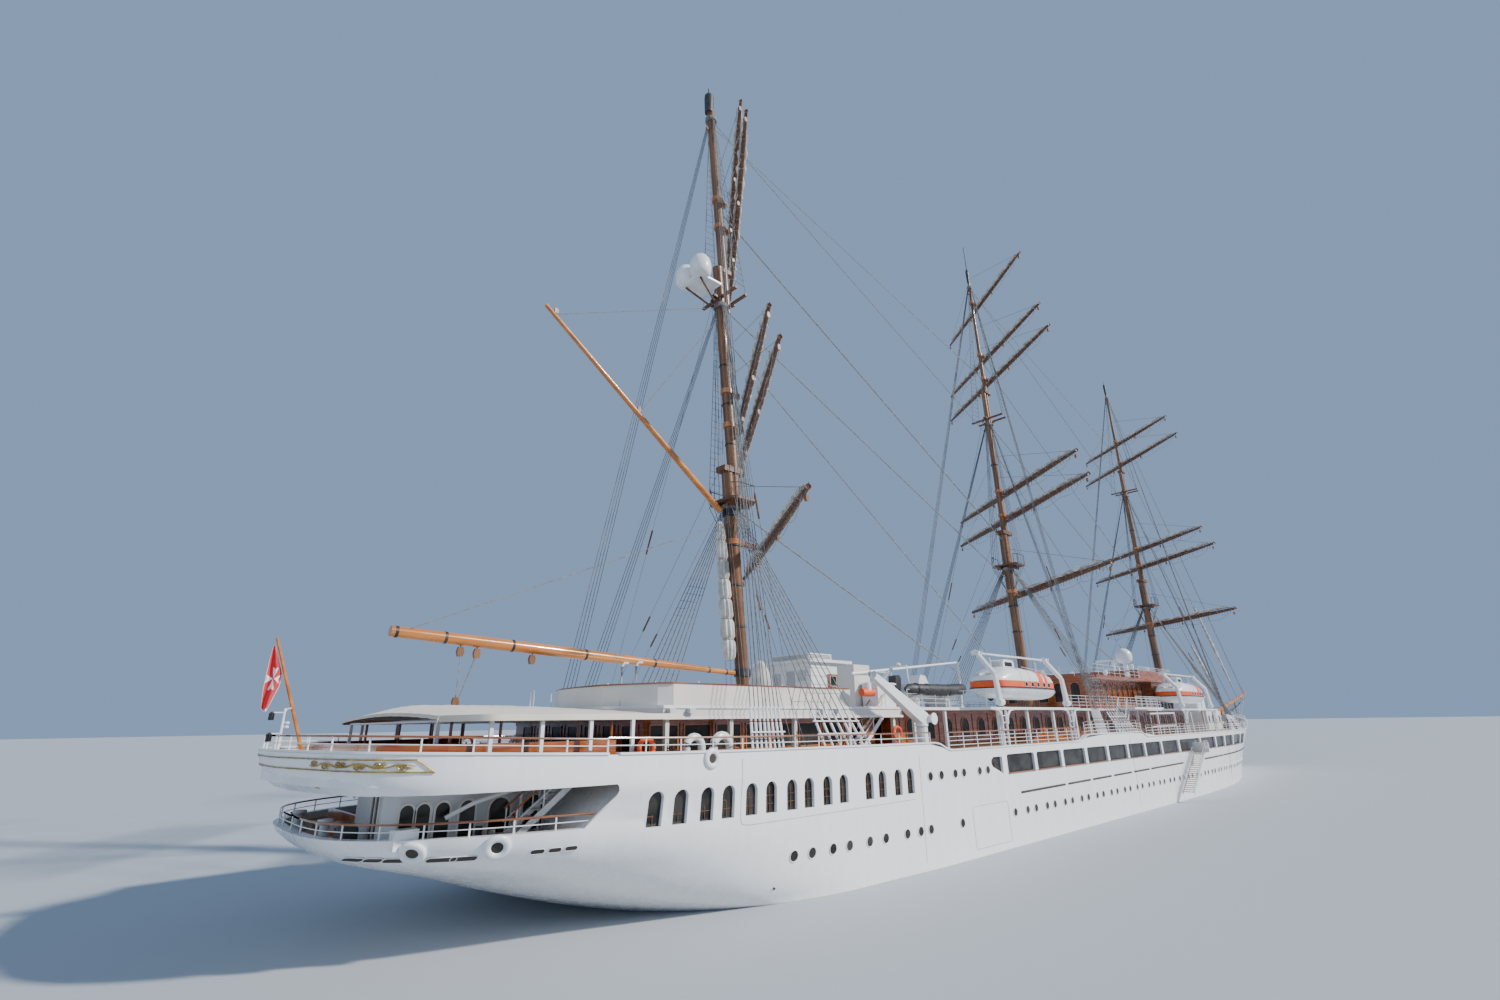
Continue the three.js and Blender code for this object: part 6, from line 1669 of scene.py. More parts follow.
def build_lifeboat(name, cx, sign):
    """An enclosed lifeboat: hull, orange band with windows, ribbed canopy and a steering cupola."""
    body = "lifeboat_%s_%s" % (name, "starboard" if sign < 0 else "port")
    cy = sign * 7.0
    hull = Piece(body + "_hull", "white", body, replaces=(body,), slot="boat_shell", sharp=50)
    band = Piece(body + "_band", "orange", body)
    black = Piece(body + "_black", "rubber", body)
    grey = Piece(body + "_grey", "grey", body)
    glass = Piece(body + "_glass", "glass", body)
    wide = smooth_table([(t, w) for t, w, _ in BOAT_SHAPE])
    rise = smooth_table([(t, r) for t, _, r in BOAT_SHAPE])
    ts = [-1, -0.985, -0.95, -0.88, -0.78, -0.66, -0.5, -0.3, -0.1, 0.1, 0.3, 0.45, 0.6, 0.7, 0.8, 0.87,
          0.93, 0.97, 1]

    def ring(t, profile):
        x, w = cx + BOAT_REACH * t, BOAT_BEAM * wide(t)
        half = [(w * u, z) for u, z in profile]
        return [(x, cy + y, z) for y, z in half] + [(x, cy - y, z) for y, z in reversed(half) if y > 0.001]

    def low(t):
        keel = 8.1 + 0.62 * rise(t)
        depth = 8.78 - keel
        return [(0.0, keel), (0.3, keel + 0.04 * depth), (0.62, keel + 0.16 * depth),
                (0.86, keel + 0.42 * depth), (0.97, keel + 0.75 * depth), (1.0, 8.78), (0.6, 8.8)]

    hull.loft([ring(t, low(t)) for t in ts])
    band.loft([ring(t, [(0.97, 8.84), (1.0, 8.86), (0.985, 9.24), (0.9, 9.26)]) for t in ts])
    black.loft([ring(t, [(0.9, 8.77), (1.035, 8.77), (1.035, 8.85), (0.9, 8.85)]) for t in ts])

    def canopy(t, grow=0.0):
        top = 9.25 + 0.95 * ROOF_SHAPE(t) + grow
        rise_up = top - 9.25
        return [(0.97 + grow, 9.23), (0.95 + grow, 9.25 + 0.3 * rise_up),
                (0.86 + grow, 9.25 + 0.68 * rise_up),
                (0.66 + grow, 9.25 + 0.88 * rise_up), (0.35, 9.25 + 0.98 * rise_up), (0.0, top)]

    hull.loft([ring(t, canopy(t)) for t in ts])
    for t0, t1 in ((0.1, 0.24), (0.3, 0.42)):
        band.loft([ring(t, canopy(t, 0.012)) for t in (t0, (t0 + t1) / 2, t1)])
    for t in (-0.45, -0.2, 0.5, 0.65):
        hull.loft([ring(u, canopy(u, 0.015)) for u in (t, t + 0.012)])
    hull.prism([(cx - 2.75, 9.9), (cx - 1.2, 9.9), (cx - 1.25, 10.45), (cx - 1.4, 10.62), (cx - 2.55, 10.62),
                (cx - 2.75, 10.45)], "y", cy - 0.62, cy + 0.62)
    for side in SIDES:
        y = cy + side * 0.63
        glass.prism([(cx - 2.5, 10.2), (cx - 1.5, 10.2), (cx - 1.55, 10.46), (cx - 2.5, 10.46)], "y",
                    y, y + side * 0.012)
        for k in range(5):
            t = -0.34 + 0.19 * k
            w = BOAT_BEAM * wide(t)
            x = cx + BOAT_REACH * t
            glass.box(x - 0.15, x + 0.15, cy + side * (w - 0.04), cy + side * (w + 0.015), 8.92, 9.16)
            grey.box(x - 0.19, x + 0.19, cy + side * (w - 0.04), cy + side * (w + 0.008), 8.89, 9.19)
        rope = []
        for k in range(81):
            t = -0.8 + 1.55 * k / 80
            rope.append((cx + BOAT_REACH * t, cy + side * (BOAT_BEAM * wide(t) + 0.03),
                         8.72 - 0.2 * abs(math.sin(math.pi * 9 * k / 80))))
        grey.path(rope, 0.014, 4)
        grey.path([(cx + BOAT_REACH * t, cy + side * BOAT_BEAM * 0.72 * wide(t),
                    9.28 + 0.92 * ROOF_SHAPE(t)) for t in
                   (-0.25, -0.1, 0.05, 0.2, 0.35, 0.5, 0.62)], 0.018, 5)
        grey.box(cx - 4.42, cx - 3.5, cy + side * 0.2, cy + side * 0.62, 9.3, 9.72)
    glass.box(cx - 1.21, cx - 1.19, cy - 0.5, cy + 0.5, 10.18, 10.5)
    grey.box(cx - 2.78, cx - 2.74, cy - 0.4, cy + 0.4, 9.95, 10.5)
    for t in (-0.72, 0.72):
        x = cx + BOAT_REACH * t
        grey.bar((x, cy, 9.5), (x, cy, 10.62), 0.07, sides=8)
        grey.hoop((x, cy, 10.64), 0.08, 0.028, (0, 1, 0), sides=12, section=6)
    black.lathe((cx - 3.75, cy, 8.2), [(0.03, -0.02), (0.2, 0.0), (0.2, 0.04), (0.03, 0.06)], "x", sides=12)
    hull.lathe((cx - 1.0, cy, 10.0), [(0.12, 0), (0.12, 0.22), (0.02, 0.28)], sides=10)


def build_davits(name, cx, sign):
    """Sheaves and rungs on a pair of davits, and the frames at their feet."""
    body = "davits_%s_%s" % (name, "starboard" if sign < 0 else "port")
    white = Piece(body + "_fittings", "white", body)
    steel = Piece(body + "_sheaves", "steel", body)
    fixed = Piece(body + "_foot_frames", "white")
    for x in (cx - 4.85, cx + 4.85):
        y, z = sign * 7.0, 10.95
        for off in (-0.2, 0.2):
            white.prism([(y - 0.22, z - 0.12), (y + 0.22, z - 0.16), (y + 0.3, z + 0.1), (y, z + 0.22),
                         (y - 0.3, z + 0.1)],
                        "x", x + off - 0.03, x + off + 0.03)
        steel.lathe((x - 0.12, y, z), [(0.05, 0), (0.2, 0.01), (0.15, 0.12), (0.2, 0.23), (0.05, 0.24)],
                    "x", sides=14)
        for k in range(4):
            t = 0.15 + 0.24 * k
            p = Vector((x, sign * 8.24, 7.95)).lerp(Vector((x, sign * 8.1, 9.6)), t)
            white.box(x - 0.2, x + 0.2, p.y, p.y + sign * 0.05, p.z - 0.03, p.z + 0.03)
        steel.lathe((x - 0.22, sign * 8.2, 7.95), [(0.02, 0), (0.15, 0.01), (0.15, 0.43), (0.02, 0.44)],
                    "x", sides=12)
        for px in (x - 0.28, x + 0.28):
            fixed.bar((px, sign * 8.3, 5.4), (px, sign * 8.3, UPPER_DECK_Z), 0.08, sides=8)
        for k in range(4):
            fixed.bar((x - 0.28, sign * 8.3, 5.9 + 0.4 * k), (x + 0.28, sign * 8.3, 5.9 + 0.4 * k), 0.03,
                      sides=6)
        for way in SIDES:
            fixed.path([(x + way * 1.3, sign * 8.38, 7.5), (x + way * 0.7, sign * 8.38, 7.42),
                        (x + way * 0.38, sign * 8.36, 7.1), (x + way * 0.3, sign * 8.34, 6.6)], 0.08, 8)

RESCUE_Y, CRANE_Y = -5.9, -7.9


def build_rescue_boat():
    """The inflatable boat with its console, engine and cradle."""
    tubes = Piece("rescue_boat_tubes", "rubber", replaces=("rescue_boat",), slot="black_rubber", sharp=50)
    for sign in SIDES:
        y = RESCUE_Y + sign * 0.8
        line = [(-30.4, y, 8.58), (-30.0, y, 8.58), (-28.0, y, 8.58), (-25.6, y, 8.6)]
        line += [(-25.6 + 2.0 * math.sin(a), RESCUE_Y + sign * 0.8 * math.cos(a) ** 0.8,
                  8.6 + 0.14 * math.sin(a))
                 for a in (math.pi / 2 * k / 8 for k in range(1, 9))]
        tubes.path(line, 0.33, 16, [0.1, 0.3] + [0.33] * (len(line) - 2))
        for x in (-29.4, -28.3, -27.2, -26.1):
            tubes.lathe((x, y, 8.59), [(0.332, -0.06), (0.346, -0.03), (0.346, 0.03), (0.332, 0.06)], "x",
                        sides=18)
        tubes.path([(-29.6 + 0.25 * k, y + sign * 0.33, 8.62 - 0.1 * abs(math.sin(math.pi * k / 3)))
                    for k in range(16)], 0.02, 5)
    grey = Piece("rescue_boat_floor", "grey")
    grey.loft([[(x, RESCUE_Y - w, 8.45), (x, RESCUE_Y - w * 0.6, 8.2), (x, RESCUE_Y, 8.06 + up),
                (x, RESCUE_Y + w * 0.6, 8.2), (x, RESCUE_Y + w, 8.45)]
               for x, w, up in ((-30.2, 0.66, 0.0), (-28, 0.7, 0.0), (-25.6, 0.64, 0.05),
                                (-24.0, 0.25, 0.25))])
    white = Piece("rescue_boat_console", "white")
    white.prism([(-28.3, 8.45), (-27.35, 8.45), (-27.3, 8.95), (-27.6, 9.4), (-28.1, 9.45), (-28.3, 9.1)],
                "y", -6.25, -5.55)
    white.box(-29.3, -28.6, -6.2, -5.6, 8.45, 8.9)
    white.path([(-29.7, -6.5, 8.7), (-29.75, -6.45, 9.9), (-29.75, -5.35, 9.9), (-29.7, -5.3, 8.7)], 0.045, 8)
    white.lathe((-29.75, RESCUE_Y, 9.9), [(0.05, 0), (0.14, 0.04), (0.14, 0.14), (0.04, 0.2)], sides=12)
    for x in (-29.3, -26.2):
        for y in (-6.6, -5.2):
            white.bar((x, y, UPPER_DECK_Z), (x, y * 0.98 - 0.1, 8.35), 0.06, sides=8)
        white.box(x - 0.08, x + 0.08, -6.7, -5.1, 8.0, 8.12)
    black = Piece("rescue_boat_engine", "black")
    black.prism([(-30.5, 8.6), (-30.0, 8.6), (-29.95, 9.2), (-30.1, 9.38), (-30.45, 9.32)], "y", -6.15, -5.65)
    black.bar((-30.3, RESCUE_Y, 8.6), (-30.35, RESCUE_Y, 8.05), 0.08, sides=8)


def build_crane():
    """The crane's arm, which slews, and the derrick beside the rescue boat."""
    arm = Piece("crane_arm_box", "white", "crane_arm", replaces=("crane_arm",), slot="white_paint", sharp=40)
    a, b = Vector((-30.8, CRANE_Y, 6.95)), Vector((-35.0, CRANE_Y, 9.15))
    along = (b - a).normalized()
    up = Vector((0, 1, 0)).cross(along)
    rings = []
    for t, w, h in ((-0.06, 0.2, 0.26), (0.0, 0.24, 0.34), (0.2, 0.22, 0.32), (0.9, 0.13, 0.18),
                    (1.0, 0.1, 0.13)):
        p = a.lerp(b, t)
        rings.append([p + Vector((0, s * w, 0)) + up * (v * h) for s,
                      v in ((-1, -1), (1, -1), (1, 1), (-1, 1))])
    arm.loft(rings)
    arm.lathe((-30.95, CRANE_Y, 6.58), [(0.3, 0), (0.34, 0.02), (0.34, 0.1), (0.27, 0.16), (0.27, 0.6),
                                        (0.2, 0.64)], sides=20)
    arm.lathe((-30.4, -8.4, 6.98), [(0.08, 0), (0.3, 0.02), (0.3, 0.07), (0.19, 0.09), (0.19, 0.75),
                                    (0.3, 0.77), (0.3, 0.83), (0.08, 0.85)], "y", sides=20)
    steel = Piece("crane_arm_steel", "steel", "crane_arm")
    for s in SIDES:
        steel.lathe((b.x + 0.05, CRANE_Y + s * 0.13 - 0.02, b.z),
                    [(0.03, 0), (0.16, 0.005), (0.16, 0.035), (0.03, 0.04)], "y", sides=14)
    steel.bar(b + Vector((0.02, 0, 0.12)), a + Vector((0.3, 0, 0.34)), 0.014, sides=5)
    steel.bar(a.lerp(b, 0.08) + up * 0.34, a.lerp(b, 0.55) + up * 0.3, 0.05, sides=8)
    spar = Piece("cargo_derrick", "white")
    spar.bar((-33.2, -5.2, 9.4), (-23.3, -6.0, 10.4), 0.09, 0.06, sides=10)
    spar.bar((-23.4, -6.0, UPPER_DECK_Z), (-23.3, -6.0, 10.42), 0.1, 0.07, sides=10)
    spar.lathe((-23.4, -6.0, 7.58), [(0.22, 0), (0.22, 0.05), (0.1, 0.12)], sides=12)


def build_upper_rails():
    """Open rails on the boat deck, the bridge wings and roofs, and the gangway's davit frame."""
    posts = Piece("upper_rail_posts", "grey")
    bars = Piece("upper_rail_bars", "grey")
    white = Piece("bridge_fittings", "white")
    dome = Piece("satellite_dome", "white", sharp=60)
    for sign in SIDES:
        for line in ([(-10.2, sign * 6.85, UPPER_DECK_Z), (10.9, sign * 6.85, UPPER_DECK_Z)],
                     [(25.2, sign * 6.85, UPPER_DECK_Z), (25.4, sign * 6.5, UPPER_DECK_Z),
                      (25.4, 0, UPPER_DECK_Z)],
                     [(-30.5, sign * 6.85, UPPER_DECK_Z), (-25.3, sign * 6.85, UPPER_DECK_Z),
                      (-24.5, sign * 8.3, UPPER_DECK_Z)]):
            rail_run(posts, bars, bars, line, spacing=1.4, height=0.95, mids=(0.24, 0.48, 0.72), wood=False)
        rail_run(posts, bars, bars, [(12.0, sign * 5.35, 10.5), (0.8, sign * 5.35, 10.5), (0.8, 0, 10.5)],
                 spacing=1.3, height=0.95, mids=(0.3, 0.62), wood=False)
        rail_run(posts, bars, bars, [(22.0, sign * 5.3, 11.4), (12.2, sign * 5.3, 11.4)], spacing=1.2,
                 height=0.3, mids=(0.15,), wood=False)
        frame_line = [(3.0, sign * 8.42, 5.45), (3.0, sign * 8.42, 7.15), (9.6, sign * 8.42, 7.2),
                      (9.6, sign * 8.42, 5.35)]
        white.path(frame_line, 0.07, 8)
        white.bar((3.2, sign * 8.42, 6.1), (9.4, sign * 8.42, 6.15), 0.05, sides=8)
        stair(posts, posts, posts, (-2.0, sign * 7.6, 5.35), (0.6, sign * 7.3, UPPER_DECK_Z), 0.7, 9)
        white.prism([(0.2, sign * 7.0), (7.4, sign * 7.0), (7.4, sign * 8.3), (0.2, sign * 8.3)], "z", 7.52,
                    7.68)
        rail_run(posts, bars, bars, [(1.0, sign * 8.2, 7.68), (7.3, sign * 8.2, 7.68),
                                     (7.3, sign * 7.0, 7.68)], spacing=1.2,
                 height=0.9, mids=(0.25, 0.5, 0.72), wood=False)
        for x, y, z in ((4.5, 4.9, 10.55), (9.8, 5.0, 10.55), (12.6, 4.6, 11.45), (19.0, 4.0, 11.45)):
            white.lathe((x, sign * y, z), [(0.12, 0), (0.09, 0.12), (0.2, 0.16), (0.22, 0.4), (0.14, 0.52),
                                           (0.03, 0.56)],
                        sides=12)
    profile = [(0.3, 12.42), (0.62, 12.5), (0.76, 12.75), (0.795, 13.1)]
    profile += [(0.795 * math.cos(a), 13.18 + 0.82 * math.sin(a))
                for a in (math.pi / 2 * k / 8 for k in range(8))]
    dome.lathe((17.0, -2.6, 0), profile + [(0.02, 14.0)], sides=28)
    white.lathe((17.0, -2.6, 0), [(0.45, 10.5), (0.45, 10.56), (0.31, 10.7), (0.23, 12.4), (0.4, 12.5),
                                  (0.4, 12.55)], sides=16)
    scanner = Piece("radar_scanner", "white")
    scanner.box(21.0, 21.3, -1.9, 1.9, 13.0, 13.2)
    scanner.lathe((21.15, 0, 11.4), [(0.2, 0), (0.12, 0.2), (0.12, 1.2), (0.24, 1.3), (0.24, 1.6)], sides=12)
    for y in (-0.9, 0.9):
        scanner.bar((20.6, y, 11.4), (20.9, y * 0.4, 12.9), 0.05, sides=6)


def build_gangway():
    """Accommodation ladder: treads between strings, with rope-like rails."""
    white = Piece("gangway_strings", "white", "gangway", replaces=("gangway",), slot="white_paint")
    treads = Piece("gangway_treads", "teak", "gangway")
    rope = Piece("gangway_rails", "grey", "gangway")
    top, foot = Vector((11.0, 0, 3.68)), Vector((5.8, 0, 0.75))
    for y in (-9.85, -8.95):
        white.loft([[p + Vector((0, y + d, h)) for d,
                     h in ((-0.03, -0.14), (0.03, -0.14), (0.03, 0.1), (-0.03, 0.1))]
                    for p in (top, foot)])
        for k in range(8):
            p = top.lerp(foot, k / 7) + Vector((0, y, 0))
            rope.bar(p, p + Vector((0, 0, 0.56)), 0.02, sides=5)
        for lift in (0.28, 0.55):
            rope.bar(top + Vector((0, y, lift)), foot + Vector((0, y, lift)), 0.018, sides=5)
    for k in range(20):
        p = top.lerp(foot, (k + 0.5) / 20)
        treads.box(p.x - 0.12, p.x + 0.12, -9.82, -8.98, p.z - 0.02, p.z + 0.02)
    fixed = Piece("gangway_head", "white")
    grate = Piece("gangway_head_grating", "teak")
    grate.box(11.12, 12.58, -9.88, -8.66, 3.76, 3.79)
    for x, y in ((12.5, -9.85), (11.5, -9.85), (12.5, -8.9)):
        fixed.bar((x, y, 3.76), (x, y, 4.75), 0.025, sides=6)
    for z in (4.2, 4.72):
        fixed.path([(11.5, -9.85, z), (12.5, -9.85, z), (12.5, -8.9, z)], 0.02, 6)


# foot of the spar under the bowsprit
MARTINGALE = (70.9, 0, 5.75)


def build_bow():
    """Bowsprit with its netting and stays, the windlass covers, and the deck gear forward."""
    spar = Piece("bowsprit_spar", "boom", replaces=("bowsprit",), slot="spar_paint")
    a, b = Vector((56.2, 0, 7.05)), Vector((79.0, 0, 10.4))
    spar.path([a.lerp(b, k / 12) for k in range(13)], 0.38, 18,
              [0.38 - 0.2 * (k / 12) ** 1.3 for k in range(13)])
    spar.box(60.4, 61.6, -0.4, 0.4, 7.0, 7.75)
    spar.box(56.0, 57.0, -0.55, 0.55, 5.95, 7.4)
    iron = Piece("bowsprit_iron", "black")
    for t in (0.0, 0.2, 0.42, 0.6, 0.78, 0.96):
        iron.bar(a.lerp(b, t), a.lerp(b, t + 0.006), 0.395 - 0.2 * t ** 1.3, sides=18)
    iron.bar((70.6, 0, 9.1), (70.9, 0, 5.7), 0.09, 0.06, sides=8)
    chain = Piece("bowsprit_stays", "wire")
    for end in (a.lerp(b, 0.62), a.lerp(b, 0.8), a.lerp(b, 0.985)):
        chain.bar(end + Vector((0, 0, -0.15)), MARTINGALE, 0.035, sides=6)
        for sign in SIDES:
            chain.bar(end + Vector((0, 0.12 * sign, -0.05)), (59.6, sign * 1.9, 6.7), 0.025, sides=5)
    for foot, thick in (((61.4, 0, 4.6), 0.05), ((60.3, 0, 3.4), 0.045)):
        chain.bar(MARTINGALE, foot, thick, sides=6)
    net = Piece("bowsprit_net", "rope")
    for sign in SIDES:
        outer = [(60.8 + 1.0 * k, sign * (1.5 * (1 - k / 17) + 0.25),
                  7.55 + 0.147 * k - 0.2 * math.sin(math.pi * k / 17))
                 for k in range(18)]
        inner = [(60.8 + 1.0 * k, sign * 0.12, 7.35 + 0.147 * k - 0.35) for k in range(18)]
        net.path(outer, 0.03, 5)
        for u in (0.25, 0.5, 0.75):
            net.path([tuple(p[i] * (1 - u) + q[i] * u - (0.12 if i == 2 else 0) for i in range(3)) for p,
                      q in zip(inner, outer)],
                     0.014, 4)
        for k in range(17):
            for p, q in ((inner[k], outer[k + 1]), (outer[k], inner[k + 1])):
                net.bar(p, q, 0.013, sides=3)
    flag = Piece("bow_pennant", "red", sharp=80)
    flag.sheet([[(77.9 - 0.5 * u, 0.05 * math.sin(6 * u + v), 10.5 + 0.75 * v - 0.3 * u)
                 for u in (0, 0.25, 0.5, 0.75, 1)]
                for v in (0, 0.25, 0.5, 0.75, 1)])
    iron.bar((77.9, 0, 10.3), (77.9, 0, 11.35), 0.025, sides=6)
    white = Piece("foredeck_fittings", "white")
    black = Piece("foredeck_black_fittings", "black")
    for sign in SIDES:
        for x, y in ((54.2, 2.6), (47.6, 4.6), (57.8, 1.6)):
            for dx in (-0.35, 0.35):
                black.lathe((x + dx, sign * y, 5.95), [(0.2, 0), (0.14, 0.1), (0.14, 0.42), (0.2, 0.5),
                                                       (0.08, 0.54)],
                            sides=12)
            black.box(x - 0.7, x + 0.7, sign * y - 0.22, sign * y + 0.22, FORE_DECK_Z, 5.98)
        white.lathe((49.8, sign * 1.7, 6.2), [(0.34, 0), (0.34, 0.08), (0.24, 0.2), (0.22, 0.6),
                                              (0.36, 0.74), (0.34, 0.88)],
                    sides=18)
        for x, y in ((54.6, 0.9), (47.4, 2.9)):
            white.path([(x, sign * y, 5.95), (x, sign * y, 7.0), (x + 0.08, sign * y, 7.18),
                        (x + 0.3, sign * y, 7.25)], 0.16, 12)
            white.lathe((x + 0.28, sign * y, 7.25), [(0.16, 0), (0.27, 0.08), (0.28, 0.16)], "x", sides=14)
        anchor(black, sign)
    for y in (-1.3, 1.3):
        black.lathe((51.0, y - 0.4, 6.67), [(0.2, 0), (0.57, 0.02), (0.57, 0.1), (0.4, 0.14), (0.4, 0.66),
                                            (0.57, 0.7), (0.57, 0.78), (0.2, 0.8)], "y", sides=20)


def anchor(iron, sign):
    """A stockless anchor housed against the bow."""
    x, z = 55.4, 3.9
    normal = hull_spot(x, z, sign)[1]
    iron.hoop(hull_spot(x, z + 0.7, sign, 0.02)[0], 0.3, 0.08, normal, sides=20, section=8)
    iron.bar(hull_spot(x, z + 0.75, sign, 0.1)[0], hull_spot(x, z - 0.35, sign, 0.13)[0], 0.09, sides=8)
    for dx in (-0.55, 0.55):
        iron.path([hull_spot(x, z - 0.35, sign, 0.14)[0], hull_spot(x + dx * 0.8, z - 0.25, sign, 0.13)[0],
                   hull_spot(x + dx, z + 0.25, sign, 0.08)[0]], 0.1, 8, [0.12, 0.1, 0.03])


# Running rigging
def block(shell, x, y, z, size=0.16):
    """A wooden block: an oval shell with a strap and a hook above."""
    shell.prism([(x - size * 0.45, z - size), (x + size * 0.45, z - size), (x + size * 0.7, z - size * 0.3),
                 (x + size * 0.7, z + size * 0.3), (x + size * 0.45, z + size), (x - size * 0.45, z + size),
                 (x - size * 0.7, z + size * 0.3), (x - size * 0.7, z - size * 0.3)], "y", y - size * 0.45,
                y + size * 0.45)
    shell.bar((x, y, z + size), (x, y, z + size * 1.5), size * 0.14, sides=5)


def build_yard_lines(mast_name, name, z, half, radius, forward, brace):
    """Lifts, footropes and clew blocks that turn with a yard."""
    node, axis, turn, at = yard_frame(mast_name, name, z, forward, brace)
    line = Piece(node + "_lines", "wire", node)
    blocks = Piece(node + "_blocks", "mast", node)
    reach = mast_radius(MASTS[mast_name], z) * 0.5
    top = axis + Vector((0, 0, 0.26 * half + 0.9)) + turn @ Vector((reach, 0, 0))
    for sign in SIDES:
        line.bar(at(0, sign * half * 0.97, 0.08), top, 0.017, sides=4)
        foot = []
        for k in range(13):
            t = k / 12
            y = sign * half * (0.08 + 0.88 * t)
            foot.append(at(-0.22, y, -0.75 - 0.22 * abs(math.sin(math.pi * 3 * t)) + 0.5 * max(0,
                                                                                               t - 0.85)
                           / 0.15))
        line.path(foot, 0.014, 4)
        for k in (0, 4, 8):
            line.bar(foot[k], at(-0.05, sign * half * (0.08 + 0.88 * k / 12), -radius * 0.6), 0.012, sides=3)
        for share in (0.98, 0.3):
            p = at(-0.05, sign * half * share, -radius - 0.24)
            block(blocks, p.x, p.y, p.z, 0.15)
        p = at(0, sign * half, 0)
        blocks.hoop(p, radius * 0.52, 0.03, turn @ Vector((0, 1, 0)), sides=12, section=5)


def build_running_rigging():
    """Halyards and sheets down the masts, tackles on the spanker's spars, and boards where lines chafe."""
    line = Piece("running_lines", "wire")
    wood = Piece("mast_blocks", "mast")
    boards = Piece("chafing_boards", "yard")
    for mast in MASTS.values():
        for k in range(9):
            y = -0.9 + 0.225 * k
            base = Vector((mast["x"] + (0.75 if k % 2 else -0.7), y, 6.3))
            z = (mast["top"], mast["trees"] - 0.4, mast["cap"], mast["trees"], mast["truck"] - 3)[k % 5]
            tip = Vector((mast_x(mast, z, mast_step(mast, z)) + (0.42 if k % 2 else -0.42), y * 0.35,
                          z - 0.3))
            line.bar(base, tip, 0.014, sides=4)
            block(wood, tip.x, tip.y, tip.z + 0.15, 0.14)
            block(wood, base.x, base.y, base.z, 0.12)
        for sign in SIDES:
            wood.box(mast["x"] - 0.95, mast["x"] + 0.95, sign * 1.05 - 0.06, sign * 1.05 + 0.06, 6.2, 6.3)
            for dx in (-0.9, 0.9):
                wood.bar((mast["x"] + dx, sign * 1.05, DECK_Z), (mast["x"] + dx, sign * 1.05, 6.25), 0.07,
                         sides=8)
            for k in range(7):
                x = mast["x"] - 0.8 + 0.27 * k
                wood.bar((x, sign * 1.05, 6.05), (x, sign * 1.05, 6.5), 0.025, sides=6)
            for k, (z, step) in enumerate(((mast["top"] + 0.1, 0.0), (mast["trees"], STEP1),
                                           (mast["cap"], 0.0))):
                tip = Vector((mast_x(mast, z, step) - 0.3, sign * 0.42, z - 0.2))
                x = mast["x"] - 4.3 - 0.42 * k
                base = Vector((x, sign * (half_at(x, 5.3) - 0.35), 5.95))
                line.bar(base, tip, 0.015, sides=4)
                middle = base.lerp(tip, 0.4)
                boards.bar(middle, middle + (tip - middle) * 0.09, 0.055, sides=5)
    gaff = Piece("gaff_lines", "wire", "spanker_gaff")
    for t, z in ((0.5, 32.6), (0.95, 33.2)):
        gaff.bar(GAFF_THROAT.lerp(GAFF_PEAK, t) + Vector((0, 0, 0.12)), (GAFF_X, 0, z), 0.022, sides=5)
    tackle = Piece("gaff_blocks", "mast", "spanker_gaff")
    for t in (0.5, 0.95):
        p = GAFF_THROAT.lerp(GAFF_PEAK, t)
        block(tackle, p.x, p.y, p.z + 0.32, 0.15)
    boom = Piece("boom_lines", "wire", "spanker_boom")
    for sign in SIDES:
        boom.bar(BOOM_HEEL.lerp(BOOM_END, 0.97) + Vector((0, sign * 0.18, 0.1)), (BOOM_X, sign * 0.1, 18.6),
                 0.02, sides=5)
    sheet_blocks = Piece("boom_blocks", "mast", "spanker_boom")
    for x in (-52.6, -51.9, -49.4):
        p = BOOM_HEEL.lerp(BOOM_END, (x - BOOM_HEEL.x) / (BOOM_END.x - BOOM_HEEL.x))
        block(sheet_blocks, x, 0, p.z - 0.5, 0.2)
    for x, y in ((-52.6, -0.9), (-51.9, 0.9)):
        line.bar((x - 0.3, y, 7.75), (x, y * 0.12, 9.75), 0.018, sides=5)
        block(wood, x - 0.3, y, 7.85, 0.18)
    domes = Piece("mizzen_radome_shells", "white", sharp=60)
    mast = MASTS["mizzen"]
    bracket = Piece("mizzen_radome_bracket", "yard")
    for sign in SIDES:
        x, y = mast_x(mast, 34.1) - 1.75, sign * 0.75
        domes.lathe((x, y, 34.1), [(r * 1.02, z) for r,
                                   z in ((0.02, 0), (0.5, 0.04), (0.66, 0.3), (0.69, 0.65), (0.67, 0.95),
                                         (0.6, 1.22), (0.46, 1.43), (0.26, 1.57), (0.03, 1.62))], sides=24)
        bracket.bar((x, y, 34.05), (mast_x(mast, 33.4), sign * 0.2, 33.1), 0.07, sides=6)


